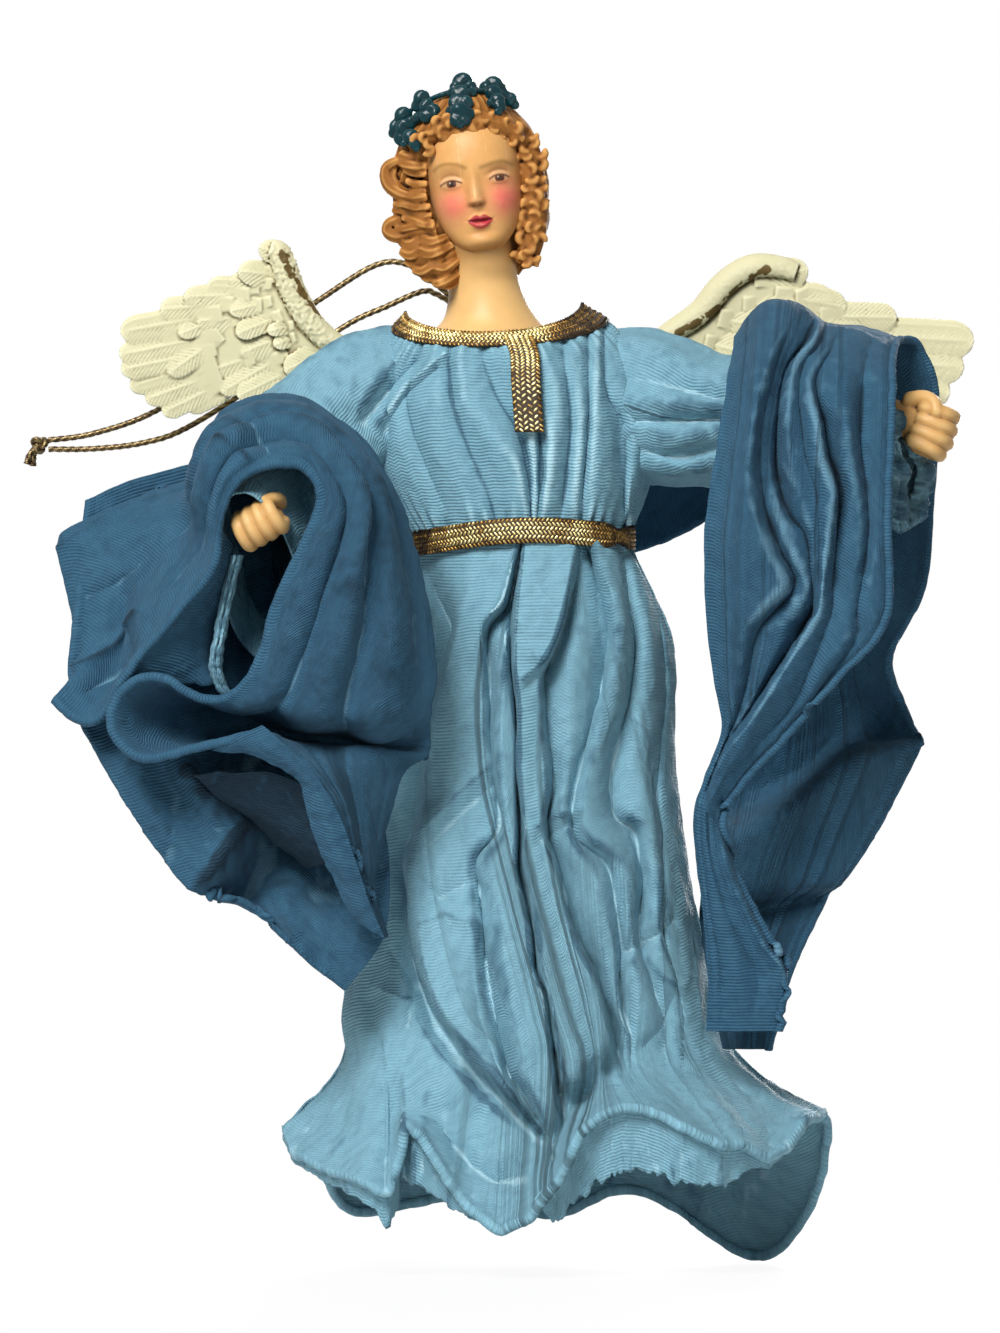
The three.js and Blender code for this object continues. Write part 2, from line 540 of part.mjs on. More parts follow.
const rightWing = (grow) => wingSolid(rightWingRoot, rightEdge, RIGHT_WEB, RIGHT_FEATHERS, grow);
const pinSolid = (root, toward, grow) => tube([root, vec(toward, 6, SHOULDER_Z - 5)], PIN_RADIUS + grow, 1, 8, grow);
const leftPin = (grow) => pinSolid(leftWingRoot, -10, grow);
const rightPin = (grow) => pinSolid(rightWingRoot, 8, grow);

// Stole over the left arm: a strip up from the inner tip, round the hand as a hood and out to the left fold.
// Points run from the front rim to the back edge and are measured from the wrist.
const leftStole = grid([
  [[18, 2, -88], [19.5, 3, -89], [20.5, 5, -90], [21, 7, -90]],
  [[17, -2, -66], [22, -1, -66], [26, 3, -67], [28, 9, -68]],
  [[3, -6, -45], [14, -6, -46], [25, -1, -47], [31, 9, -48]],
  [[-14, -9, -44], [4, -8, -44], [22, -4, -44], [31, 8, -44]],
  [[-28, -10, -43], [-4, -7, -42], [20, -5, -41], [31.5, 8, -41]],
  [[-22, -7, -36], [0, -8, -38], [19, -8, -38], [32, 7, -38]],
  [[-8, -9, -38], [5, -10, -36], [19, -9, -33], [32, 7, -33]],
  [[6, -11, -26], [12, -13, -27], [22, -8, -26], [32, 8, -26]],
  [[10, -13, -9], [15, -14, -10], [22, -8, -9], [29, 9, -9]],
  [[10, -14, 6], [14, -13, 8], [19, -5, 9], [24, 12, 7]],
  [[6, -14, 10], [8, -10, 15], [11, -1, 19], [14, 20, 21]],
  [[-2, -13, 9], [-1, -9, 14], [0, 1, 20], [1, 24, 25]],
  [[-8, -11, 1], [-10, -7, 8], [-12, 2, 14], [-14, 22, 18]],
  [[-10, -8, -14], [-18, -6, -3], [-27, 1, 4], [-32, 18, 6]],
  [[-16, -6, -24], [-26, -3, -13], [-38, 2, -6], [-41, 17, -3]],
  [[-30, -4, -34], [-36, 0, -26], [-41, 4, -17], [-41, 18, -14]],
  [[-44, -1, -37], [-42, 3, -33], [-39, 8, -28], [-37, 18, -26]],
], leftWrist);
// Rear fall of the left side, from under the left fold down to the low corner
const leftFall = grid([
  [[-37, 18, 4], [-28, 21, 8], [-14, 26, 12], [0, 30, 16]],
  [[-39, 10, -20], [-28, 14, -20], [-12, 20, -18], [2, 24, -16]],
  [[-40, 6, -34], [-27, 8, -36], [-8, 15, -34], [10, 20, -32]],
  [[-36, 4, -46], [-22, 5, -50], [-2, 11, -50], [18, 16, -48]],
  [[-27, 4, -62], [-14, 4, -66], [6, 9, -68], [25, 14, -66]],
  [[-16, 6, -77], [-6, 5, -79], [8, 9, -84], [25, 12, -86]],
  [[-11, 8, -79], [-2, 6, -82], [8, 9, -91], [17, 11, -98]],
], leftWrist);
const leftStoleSolid = (grow) => shell(leftStole, 7, 30, CLOTH + 2 * grow).add(shell(leftFall, 6, 9, CLOTH + 2 * grow));

// Stole over the right arm: up the front, over the arm and down behind, measured from the wrist
const rightStole = grid([
  [[-40, 0, -129], [-36, -1.5, -129], [-31, 0, -129], [-25.5, -1, -128]],
  [[-40, -2, -116], [-36, -4, -116], [-31, -1, -116], [-24, -3, -116]],
  [[-41, -5, -100], [-38, -8, -100], [-34, -4, -100], [-30, -6, -100]],
  [[-42.5, -9, -84], [-40.5, -11, -84], [-38, -8, -83], [-35, -9, -83]],
  [[-38, -13, -71], [-35, -15, -71], [-31, -11, -71], [-27, -13, -70]],
  [[-36, -17, -56], [-31, -20, -56], [-23, -15, -55], [-13, -18, -55]],
  [[-39, -20, -41], [-30, -24, -41], [-17, -18, -41], [-2, -20, -41]],
  [[-40, -20, -20], [-30, -25, -20], [-15, -17, -20], [0, -19, -20]],
  [[-37, -15, 2], [-29, -21, 3], [-14, -13, 2], [0, -14, 2]],
  [[-34, -6, 15], [-26, -8, 20], [-13, -4, 16], [0, -5, 15]],
  [[-33, 6, 17], [-25, 5, 24], [-12, 5, 19], [4, 5, 16]],
  [[-33, 16, 14], [-24, 18, 18], [-10, 17, 15], [7, 14, 12]],
  [[-34, 21, -12], [-22, 24, -12], [-7, 20, -12], [10, 20, -12]],
  [[-31, 20, -38], [-20, 23, -38], [-8, 19, -38], [6, 20, -38]],
  [[-32, 19, -56], [-22, 21, -56], [-12, 17, -56], [0, 18, -56]],
  [[-34, 17, -70], [-22, 20, -70], [-8, 15, -70], [5, 16, -70]],
  [[-39, 15, -93], [-30, 18, -93], [-19, 14, -93], [-8, 14, -93]],
  [[-42, 12, -116], [-36, 13, -116], [-30, 10, -116], [-23, 9, -116]],
  [[-37, 9, -132], [-34, 10, -132], [-30, 9, -132], [-27, 9, -132]],
], rightWrist);
const rightStoleSolid = (grow) => shell(rightStole, 8, 28, CLOTH + 2 * grow);

// Stole across the back from drape to drape, with heights measured from the shoulder
const backReach = CHEST_HALF_DEPTH + 3.2;
const backStole = grid([
  [[-76, -24, -38], [-76, -25, -29], [-75, -23, -21]],
  [[-63, -4, -39], [-61, 0, -29], [-59, 2, -19]],
  [[-46, 11, -38], [-45, 14, -28], [-44, 15, -18]],
  [[-26, backReach - 3, -36], [-26, backReach - 1, -27], [-26, backReach - 1.5, -18]],
  [[2, backReach - 1, -38], [2, backReach + 1, -29], [2, backReach, -20]],
  [[27, backReach - 3, -32], [27, backReach - 1, -24], [27, backReach - 2, -16]],
  [[42, 12, -25], [42, 14.5, -18], [42, 14, -11]],
  [[54, 1, -22], [54, 2, -16], [54, 2, -10]],
], vec(0, 0, SHOULDER_Z));
const backStoleSolid = (grow) => shell((u, v) => backStole(v, u), 14, 4, CLOTH + 2 * grow);

// Gold braid: the collar follows the neckline and its loose end hangs in front; the belt rides on the waist
const braidLift = CLOTH / 2 + SEAT + BRAID_THICKNESS / 2;
const collarFrom = 1 - BRAID_WIDTH / (NECKLINE_HEIGHT - WAIST_HEIGHT) / 0.9;
function collarPoint(u, v) {
  const share = collarFrom + (1 - collarFrom) * v;
  const surface = (a, b) => bodice(a, b);
  return surface(u, share).addScaledVector(normalAt(surface, u, share, true), braidLift + 0.1);
}
const tailTop = collarPoint(0.5, 0.6);
const tail = grid([
  [[1, -1.4, 0], [4, -1.4, 0], [7, -1.4, 0.5]],
  [[2.4, -2.6, -4], [5.4, -2.6, -4], [8.4, -2.6, -3.6]],
  [[2.6, -4.4, -10], [5.6, -4.4, -10], [8.6, -4.4, -10]],
  [[3.4, -5.6, -19], [6.4, -5.6, -19], [9.4, -5.6, -19]],
], tailTop);
const collarWide = (grow) => (u, v) => collarPoint(u, v + ((2 * v - 1) * grow) / BRAID_WIDTH);
const collarSolid = (grow) => shell(collarWide(grow), 42, 2, BRAID_THICKNESS + 2 * grow, true)
  .add(shell(tail, 2, 6, BRAID_THICKNESS + 2 * grow));
function beltPoint(u, v) {
  const a = 2 * Math.PI * u;
  const out = CLOTH / 2 + 1.8 + SEAT + BRAID_THICKNESS / 2 + 0.3 * BRAID_WIDTH * Math.max(0, v - 0.5);
  const y = (WAIST_HALF_DEPTH + out) * Math.sin(a);
  const x = 0.5 + (WAIST_HALF_WIDTH + out) * Math.cos(a);
  return vec(x, y, WAIST_HEIGHT + BRAID_WIDTH * (v - 0.5) - 0.08 * y);
}
const beltSolid = (grow) => shell(beltPoint, 36, 2, BRAID_THICKNESS + 2 * grow, true);

// Hanger: a wire ring facing the back on a stem that is set in the core
const eye = vec(BODY_LEAN - 4.3, EYE_Y, NECKLINE_HEIGHT);
function eyeSolid(grow) {
  const ring = new THREE.TorusGeometry(EYE_RADIUS, EYE_WIRE + grow, 6, 20);
  ring.rotateX(Math.PI / 2);
  ring.translate(eye.x, eye.y, eye.z);
  const foot = eye.clone().add(vec(0.6, 0, -EYE_RADIUS));
  const stem = tube([foot, foot.clone().add(vec(0.4, -0.6, -5)), foot.clone().add(vec(1.2, -6, -11)),
    vec(-5, 5, SHOULDER_Z - 8)], EYE_WIRE + grow, 8, 6, grow);
  return fromGeometry(ring).add(stem);
}

// Hanging cord: two strands from the bight in the eye to the knot, as they lie behind the left wing
const pull = vec(-0.72, 0, 0.69).normalize();
const bight = eye.clone().addScaledVector(pull, EYE_RADIUS - CORD_BEND);
const fromEye = (x, y, z) => eye.clone().add(vec(x, y, z));
const knotAt = fromEye(-92.8, 0, -26.3);
const bend = (side, a) => eye.clone().addScaledVector(pull, EYE_RADIUS - CORD_BEND * Math.cos(a))
  .add(vec(0, side * CORD_BEND * Math.sin(a), 0));
const upperRoute = [
  bend(-1, 0.16), bend(-1, 0.8), bend(-1, 1.5), fromEye(-8.5, -2.3, 8), fromEye(-14.8, -2.2, 12.1),
  fromEye(-21.5, -2, 11.7), fromEye(-32.5, -1.7, 4.9), fromEye(-49.5, -1.3, -6.9),
  fromEye(-67.5, -1, -18.9), fromEye(-81, -0.7, -23.9), fromEye(-90.9, -0.5, -25.4),
];
const lowerRoute = [
  bend(1, 0.16), bend(1, 0.8), bend(1, 1.5), fromEye(-8.1, 2.4, 5.7), fromEye(-11.5, 2.3, 6.3),
  fromEye(-19, 2, 3.1), fromEye(-27.5, 1.7, -0.9), fromEye(-44.3, 1.3, -12.1),
  fromEye(-61.2, 0.9, -22.6), fromEye(-70.5, 0.7, -25.9), fromEye(-81.2, 0.5, -27.2),
  fromEye(-90.9, 0.3, -27.3),
];
const strand = (route) => tube(route, CORD_DIAMETER / 2, 32, 8);
function knotSolid() {
  const body = ball(knotAt, KNOT_RADIUS, KNOT_RADIUS, KNOT_RADIUS, 10, 6);
  const ends = tube([knotAt, knotAt.clone().add(vec(-1.6, 0, -2)), knotAt.clone().add(vec(-2.6, 0.2, -4.6))],
    CORD_DIAMETER / 2, 4, 6);
  return body.add(ends);
}

// The whole figure hangs in a group that puts the eye at the origin
const figure = new THREE.Group();
figure.name = "angel_ornament";
const dressed = new THREE.Group();
dressed.name = "dressed_figure";
dressed.position.copy(eye).negate();
figure.add(dressed);

function add(name, solid, colour, roughness, metalness = 0) {
  const mesh = mainBody(solid).getMesh();
  const geometry = new THREE.BufferGeometry();
  geometry.setAttribute("position", new THREE.BufferAttribute(Float32Array.from(mesh.vertProperties), 3));
  geometry.setIndex(new THREE.BufferAttribute(Uint32Array.from(mesh.triVerts), 1));
  geometry.computeVertexNormals();
  const material = new THREE.MeshStandardMaterial({ color: colour, roughness, metalness });
  const piece = new THREE.Mesh(geometry, material);
  piece.name = name;
  dressed.add(piece);
}

const GOWN = "#6ea5be";
const STOLE = "#2d5578";
const SKIN = "#e3b887";
const IVORY = "#ebe6cd";
const GOLD = "#b08a3c";
const STEEL = "#8d8f92";

const throughCore = [wireSolid(SEAT), spineSolid(SEAT), leftPin(SEAT), rightPin(SEAT), eyeSolid(SEAT)];
const bodiceCut = bodiceSolid(SEAT);
const head = cutBy(headSolid(0), spineSolid(SEAT));
const headCut = headSolid(SEAT);
const hairCut = hairSolid(SEAT);
const coreCut = core();

add("torso_core", cutBy(coreCut, headCut, ...throughCore), "#a08a6a", 0.95);
add("spine_rod", cutBy(spineSolid(0), wireSolid(SEAT)), "#c9a774", 0.8);
add("arm_wire", wireSolid(0), STEEL, 0.4, 0.9);
add("head", head, SKIN, 0.45);
add("hair", cutBy(hairSolid(0), headCut), "#be7d41", 0.5);
add("leaf_wreath", cutBy(wreathSolid(0), hairCut, headCut), "#0a3c3e", 0.25);

add("gown_bodice", cutBy(bodiceSolid(0), leftPin(SEAT), rightPin(SEAT), eyeSolid(SEAT), wireSolid(SEAT)), GOWN, 0.85);
const skirtCut = skirtFrontSolid(SEAT).add(skirtBackSolid(SEAT));
const collarCut = collarSolid(SEAT);
const beltCut = beltSolid(SEAT);
add("skirt_front", cutBy(skirtFrontSolid(0), bodiceCut), GOWN, 0.85);
add("skirt_back", cutBy(skirtBackSolid(0), bodiceCut), GOWN, 0.85);
add("collar_braid", cutBy(collarSolid(0), bodiceCut), GOLD, 0.35, 0.8);
add("belt_braid", beltSolid(0), GOLD, 0.35, 0.8);

const leftSleeveCut = leftSleeveSolid(SEAT);
const rightSleeveCut = rightSleeveSolid(SEAT);
const wires = wireSolid(SEAT);
add("left_hand", cutBy(leftFist(0), wires), SKIN, 0.5);
add("right_hand", cutBy(rightFist(0), wires), SKIN, 0.5);
const leftWingCut = leftWing(SEAT);
const rightWingCut = rightWing(SEAT);
const armholes = [bodiceCut, coreCut, wires, collarCut];
add("left_sleeve", cutBy(leftSleeveSolid(0), ...armholes, leftWingCut, leftPin(SEAT), leftFist(SEAT)), GOWN, 0.85);
add("right_sleeve", cutBy(rightSleeveSolid(0), ...armholes, rightWingCut, rightPin(SEAT), rightFist(SEAT)), GOWN, 0.85);
add("left_wing", cutBy(leftWing(0), bodiceCut, leftPin(SEAT)), IVORY, 0.6);
add("right_wing", cutBy(rightWing(0), bodiceCut, rightPin(SEAT)), IVORY, 0.6);
add("left_wing_pin", cutBy(leftPin(0), wires), STEEL, 0.4, 0.9);
add("right_wing_pin", cutBy(rightPin(0), wires), STEEL, 0.4, 0.9);

const leftStoleCut = leftStoleSolid(SEAT);
const rightStoleCut = rightStoleSolid(SEAT);
add("stole_left", cutBy(leftStoleSolid(0), leftSleeveCut, leftFist(SEAT), skirtCut, bodiceCut, leftWingCut, beltCut), STOLE, 0.85);
add("stole_right", cutBy(rightStoleSolid(0), rightSleeveCut, rightFist(SEAT), skirtCut, bodiceCut, rightWingCut), STOLE, 0.85);
add("stole_back", cutBy(backStoleSolid(0), leftStoleCut, rightStoleCut, leftSleeveCut, rightSleeveCut, skirtCut, bodiceCut,
  beltCut, leftWingCut, rightWingCut), STOLE, 0.85);

add("hanger_eye", eyeSolid(0), STEEL, 0.35, 0.9);
const knot = knotSolid();
const upper = strand(upperRoute);
const lower = strand(lowerRoute);
add("hang_cord_upper", upper, "#5f5037", 0.5, 0.5);
add("hang_cord_lower", lower, "#5f5037", 0.5, 0.5);
add("cord_knot", knot, "#5f5037", 0.5, 0.5);

export default figure;
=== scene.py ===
"""Angel ornament dressed around its CAD frame.

Places are worked out in figure millimetres (X to the viewer's right, Y to the back, Z up from the lowest
hem corner) and turned into the frame's metres, whose origin is the hanger eye.
"""
import math

import bpy
import numpy as np
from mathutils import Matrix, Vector


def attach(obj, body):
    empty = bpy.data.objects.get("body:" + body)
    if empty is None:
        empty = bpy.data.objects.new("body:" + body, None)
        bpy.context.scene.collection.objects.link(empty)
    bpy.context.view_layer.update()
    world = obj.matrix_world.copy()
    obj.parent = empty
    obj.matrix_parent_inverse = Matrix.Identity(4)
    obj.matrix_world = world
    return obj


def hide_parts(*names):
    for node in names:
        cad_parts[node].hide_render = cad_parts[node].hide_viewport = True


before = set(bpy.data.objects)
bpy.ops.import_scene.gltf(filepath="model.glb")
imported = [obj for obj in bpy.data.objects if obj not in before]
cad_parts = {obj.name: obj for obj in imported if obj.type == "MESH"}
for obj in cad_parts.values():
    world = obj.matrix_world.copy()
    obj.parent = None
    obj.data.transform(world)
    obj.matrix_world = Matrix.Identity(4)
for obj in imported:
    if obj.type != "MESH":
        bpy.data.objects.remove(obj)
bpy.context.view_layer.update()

EYE = np.array([-9.5, 28.5, 199.5])
MM = 0.001
FIGURE = "figure"
LOOP = "hanging_loop"
VIEW_HEIGHT = 281.3
VIEW_CENTRE = np.array([-4.2, 0.0, 125.9])
CAMERA_DISTANCE = 3000.0
SENSOR = 36.0

CLOTH = 0.45
HEM_TURN = 5.2
HEM_STEPS = 7
RIB_PITCH = 0.72
BRAID_WIDTH = 6.0
BRAID_GROUND = 0.7
CORD_DIAMETER = 1.2
HASH_STEPS = (374761393, 668265263, 2147483647)
HASH_SEED = 144665
HASH_MIX = 1274126177
HASH_MASK = 0xFFFFFFFF
RELIEF_ROUNDS = 14
CAVITY_ROUNDS = 16


def place(points):
    return (np.asarray(points, float) - EYE) * MM


def srgb(red, green, blue):
    channels = np.array([red, green, blue]) / 255
    return np.where(channels <= 0.04045, channels / 12.92, ((channels + 0.055) / 1.055) ** 2.4)


def smooth(low, high, value):
    t = np.clip((value - low) / (high - low), 0, 1)
    return t * t * (3 - 2 * t)


# Camera and light
camera = bpy.data.objects.new("camera", bpy.data.cameras.new("camera"))
bpy.context.collection.objects.link(camera)
camera.data.sensor_fit = "VERTICAL"
camera.data.sensor_height = SENSOR
camera.data.lens = SENSOR * CAMERA_DISTANCE / VIEW_HEIGHT
camera.data.clip_end = 20
camera.location = place(VIEW_CENTRE - [0, CAMERA_DISTANCE, 0])
camera.rotation_euler = (math.pi / 2, 0, 0)
bpy.context.scene.camera = camera
bpy.context.scene.view_settings.view_transform = "Standard"


def lamp(name, at, size, power):
    light = bpy.data.lights.new(name, "AREA")
    light.size = size
    light.energy = power
    holder = bpy.data.objects.new(name, light)
    bpy.context.collection.objects.link(holder)
    holder.location = at
    aim = place(VIEW_CENTRE) - np.array(at)
    holder.rotation_euler = Vector(aim).to_track_quat("-Z", "Y").to_euler()


lamp("key", (-0.62, -1.55, 1.25), 0.8, 58.0)
lamp("fill", (0.5, -1.3, -0.15), 0.8, 2.6)
lamp("back", (0.4, 1.7, 0.15), 0.7, 34.0)


# Numbers: smooth curves, surfaces and noise
def spline_weights(count, t, closed=False):
    t = np.atleast_1d(np.asarray(t, float))
    spans = count if closed else count - 1
    s = (t % 1.0) * spans if closed else np.clip(t, 0, 1) * spans
    k = np.minimum(np.floor(s).astype(int), spans - 1)
    f = s - k
    f2, f3 = f**2, f**3
    w = np.stack([-f + 2 * f2 - f3, 2 - 5 * f2 + 3 * f3, f + 4 * f2 - 3 * f3, f3 - f2], 1) / 2
    out = np.zeros((len(t), count))
    for i in range(4):
        j = k - 1 + i
        j = j % count if closed else np.clip(j, 0, count - 1)
        np.add.at(out, (np.arange(len(t)), j), w[:, i])
    return out


def along(points, t):
    points = np.asarray(points, float)
    return spline_weights(len(points), t) @ points


def level(table, at):
    """Straight runs between the (place, value) points of a table."""
    table = np.asarray(table, float)
    return np.interp(at, table[:, 0], table[:, 1])


def patch(rows, across, length, first=0.0, last=1.0, closed=False):
    """A smooth sheet through rows of points, from one share of the way across to another."""
    rows = np.asarray(rows, float)
    wide = spline_weights(rows.shape[1], np.linspace(first, last, across), closed)
    tall = spline_weights(rows.shape[0], np.linspace(0, 1, length))
    return np.einsum("vr,uc,rcd->vud", tall, wide, rows)


def noise(points, seed=0):
    """Gradient noise, about -1 to 1."""
    p = np.asarray(points, float)
    cell = np.floor(p).astype(np.int64)
    f = p - cell
    w = f**3 * (f * (f * 6 - 15) + 10)
    total = np.zeros(p.shape[:-1])
    for corner in np.ndindex(2, 2, 2):
        c = cell + corner
        h = (sum(c[..., i] * step for i, step in enumerate(HASH_STEPS)) + seed * HASH_SEED) & HASH_MASK
        h = ((h ^ (h >> 13)) * HASH_MIX) & HASH_MASK
        h = h ^ (h >> 16)
        g = np.stack([(h >> s & 1023) / 511.5 - 1 for s in (0, 10, 20)], -1)
        share = np.prod(np.where(corner, w, 1 - w), -1)
        total += share * (g * (f - corner)).sum(-1)
    return 1.5 * total


def grid_normals(grid, closed=False):
    du = np.roll(grid, -1, 1) - np.roll(grid, 1, 1) if closed else np.gradient(grid, axis=1)
    n = np.cross(du, np.gradient(grid, axis=0))
    return n / np.maximum(np.linalg.norm(n, axis=-1, keepdims=True), 1e-9)


def relief(grid, closed):
    """How far each point stands out of its surroundings, along the surface normal."""
    soft = grid.copy()
    for _ in range(RELIEF_ROUNDS):
        padded = np.pad(soft, ((1, 1), (1, 1), (0, 0)), mode="edge")
        if closed:
            padded[:, 0], padded[:, -1] = padded[:, -2], padded[:, 1]
        soft = (padded[:-2, 1:-1] + padded[2:, 1:-1] + padded[1:-1, :-2] + padded[1:-1, 2:] + soft) / 5
    return ((grid - soft) * grid_normals(grid, closed)).sum(-1)


def pleats(a, b, lines, gap=0.2, reach=4.0):
    """Pleat height between fold lines, with round ridges and sharp valleys.

    A line is (a, b, height) points along the fold, and lines go in order of b.
    """
    spots, heights = [], []
    for line in lines:
        dense = along(sorted(line), np.linspace(0, 1, 12 * len(line)))
        spot = np.interp(a, dense[:, 0], dense[:, 1])
        spots.append(np.maximum(spot, spots[-1] + gap) if spots else spot)
        heights.append(np.interp(a, dense[:, 0], dense[:, 2]))
    out = np.where(b < spots[0], heights[0] * smooth(reach, 0, spots[0] - b), 0.0)
    out = np.where(b >= spots[-1], heights[-1] * smooth(reach, 0, b - spots[-1]), out)
    for s0, s1, h0, h1 in zip(spots, spots[1:], heights, heights[1:]):
        t = np.clip((b - s0) / (s1 - s0), 0, 1) * math.pi / 2
        share = np.where(h0 > h1, 1 - np.cos(t), np.sin(t))
        out = np.where((b >= s0) & (b < s1), h0 + (h1 - h0) * share, out)
    return out


def creases(a, b, lines, power=1.0):
    """Creases along short lines of (a, b) points, each with a height and a width.

    They are sharp at power 1 and round at 2.
    """
    out = np.zeros(np.shape(a))
    for points, height, width in lines:
        gap = np.full(np.shape(a), 1e9)
        for (a0, b0), (a1, b1) in zip(points, points[1:]):
            da, db = a1 - a0, b1 - b0
            t = np.clip(((a - a0) * da + (b - b0) * db) / (da**2 + db**2), 0, 1)
            gap = np.minimum(gap, np.hypot(a - a0 - t * da, b - b0 - t * db))
        out += height * np.exp(-((gap / width) ** power))
    return out


# Mesh pieces
def quads(rows, columns, closed=False):
    last = columns if closed else columns - 1
    i, j = np.meshgrid(np.arange(last), np.arange(rows - 1))
    k = (i + 1) % columns
    lower, upper = j * columns, (j + 1) * columns
    return np.stack([i + lower, k + lower, k + upper, i + upper], -1).reshape(-1, 4)


def piece(name, points, faces, material, body=FIGURE, nodes=(), slot=None, cavity=None, paint=None,
          weave=None):
    """A mesh with what its material reads: how it stands out, its paint and the run of its weave."""
    mesh = bpy.data.meshes.new(name)
    mesh.from_pydata(place(points).tolist(), [], [list(map(int, f)) for f in faces])
    if cavity is not None:
        layer = mesh.attributes.new("cavity", "FLOAT", "POINT")
        layer.data.foreach_set("value", np.asarray(cavity, np.float32).ravel())
    if paint is not None:
        colours = np.ones((len(paint), 4), np.float32)
        colours[:, :3] = paint
        layer = mesh.color_attributes.new("paint", "FLOAT_COLOR", "POINT")
        layer.data.foreach_set("color", colours.ravel())
    if weave is not None:
        corner = np.zeros(len(mesh.loops), np.int32)
        mesh.loops.foreach_get("vertex_index", corner)
        layer = mesh.uv_layers.new(name="weave")
        layer.data.foreach_set("uv", np.asarray(weave, np.float32).reshape(-1, 2)[corner].ravel())
    mesh.polygons.foreach_set("use_smooth", [True] * len(mesh.polygons))
    mesh.materials.append(material)
    mesh.update()
    made = bpy.data.objects.new(name, mesh)
    bpy.context.collection.objects.link(made)
    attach(made, body)
    if nodes:
        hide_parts(*nodes)
    return made


def bake(made):
    """Applies the piece's modifiers."""
    view = bpy.context.evaluated_depsgraph_get()
    mesh = bpy.data.meshes.new_from_object(made.evaluated_get(view))
    made.modifiers.clear()
    made.data = mesh


def hollow(made):
    """Writes how far each point of a mesh stands out of its surroundings."""
    mesh = made.data
    count = len(mesh.vertices)
    points = np.zeros(count * 3)
    mesh.vertices.foreach_get("co", points)
    points = points.reshape(-1, 3)
    normals = np.zeros(count * 3)
    mesh.vertices.foreach_get("normal", normals)
    edges = np.zeros(len(mesh.edges) * 2, np.int64)
    mesh.edges.foreach_get("vertices", edges)
    edges = edges.reshape(-1, 2)
    degree = np.bincount(edges.ravel(), minlength=count)[:, None] + 1.0
    soft = points.copy()
    for _ in range(CAVITY_ROUNDS):
        total = soft.copy()
        np.add.at(total, edges[:, 0], soft[edges[:, 1]])
        np.add.at(total, edges[:, 1], soft[edges[:, 0]])
        soft = total / degree
    stand = ((points - soft) * normals.reshape(-1, 3)).sum(1) / MM
    if "cavity" in mesh.attributes:
        mesh.attributes.remove(mesh.attributes["cavity"])
    mesh.attributes.new("cavity", "FLOAT", "POINT").data.foreach_set("value", stand.astype(np.float32))
    mesh.polygons.foreach_set("use_smooth", [True] * len(mesh.polygons))


def cast(made, grain, eased):
    """Joins the forms of a piece into one cast skin."""
    remesh = made.modifiers.new("cast", "REMESH")
    remesh.mode = "VOXEL"
    remesh.voxel_size = grain * MM
    ease = made.modifiers.new("ease", "SMOOTH")
    ease.iterations = eased
    bake(made)
    hollow(made)


def travel(grid, axis):
    step = np.linalg.norm(np.diff(grid, axis=axis), axis=-1)
    total = np.cumsum(step, axis=axis)
    pad = [(0, 0), (0, 0)]
    pad[axis] = (1, 0)
    return np.pad(total, pad)


def rolled(grid, edge, radius):
    """Adds a rolled hem along one edge of a sheet: left, right or end."""
    turned = {"left": lambda g: g[:, ::-1], "right": lambda g: g, "end": lambda g: g.swapaxes(0, 1)}[edge]
    g = turned(grid)
    n = turned(grid_normals(grid))[:, -1]
    t = g[:, -1] - g[:, -3]
    t /= np.maximum(np.linalg.norm(t, axis=-1, keepdims=True), 1e-9)
    rim = [g[:, -1] + radius * (math.sin(a) * t + (1 - math.cos(a)) * n)
           for a in np.linspace(0, HEM_TURN, HEM_STEPS + 1)[1:]]
    return turned(np.concatenate([g, np.stack(rim, 1)], 1))


def thicken(made, thickness):
    solid = made.modifiers.new("thickness", "SOLIDIFY")
    solid.thickness = thickness * MM
    solid.offset = 0
    solid.use_even_offset = False
    bake(made)


def cloth(name, grid, material, slot, nodes=(), closed=False, hems=(), roll=0.7, ribs_along=False,
          painted_shade=0.0):
    """A stiffened sheet with rolled hems, the run of its weave and how its folds stand out."""
    across, down = travel(grid, 1), travel(grid, 0)
    weave = [down, across] if ribs_along else [across, down]
    # painted_shade lowers the sheet's standing-out value everywhere, so its material paints it darker as
    # shade.
    extra = np.stack([*weave, relief(grid, closed) - painted_shade], -1)
    for edge in hems:
        grid = rolled(grid, edge, roll)
        pad = {"left": ((0, 0), (HEM_STEPS, 0)), "right": ((0, 0), (0, HEM_STEPS)),
               "end": ((0, HEM_STEPS), (0, 0))}[edge]
        extra = np.pad(extra, (*pad, (0, 0)), mode="edge")
    rows, columns = grid.shape[:2]
    flat = extra.reshape(-1, 3)
    made = piece(name, grid.reshape(-1, 3), quads(rows, columns, closed), material, nodes=nodes, slot=slot,
                 cavity=flat[:, 2], weave=flat[:, :2])
    thicken(made, CLOTH)
    return made


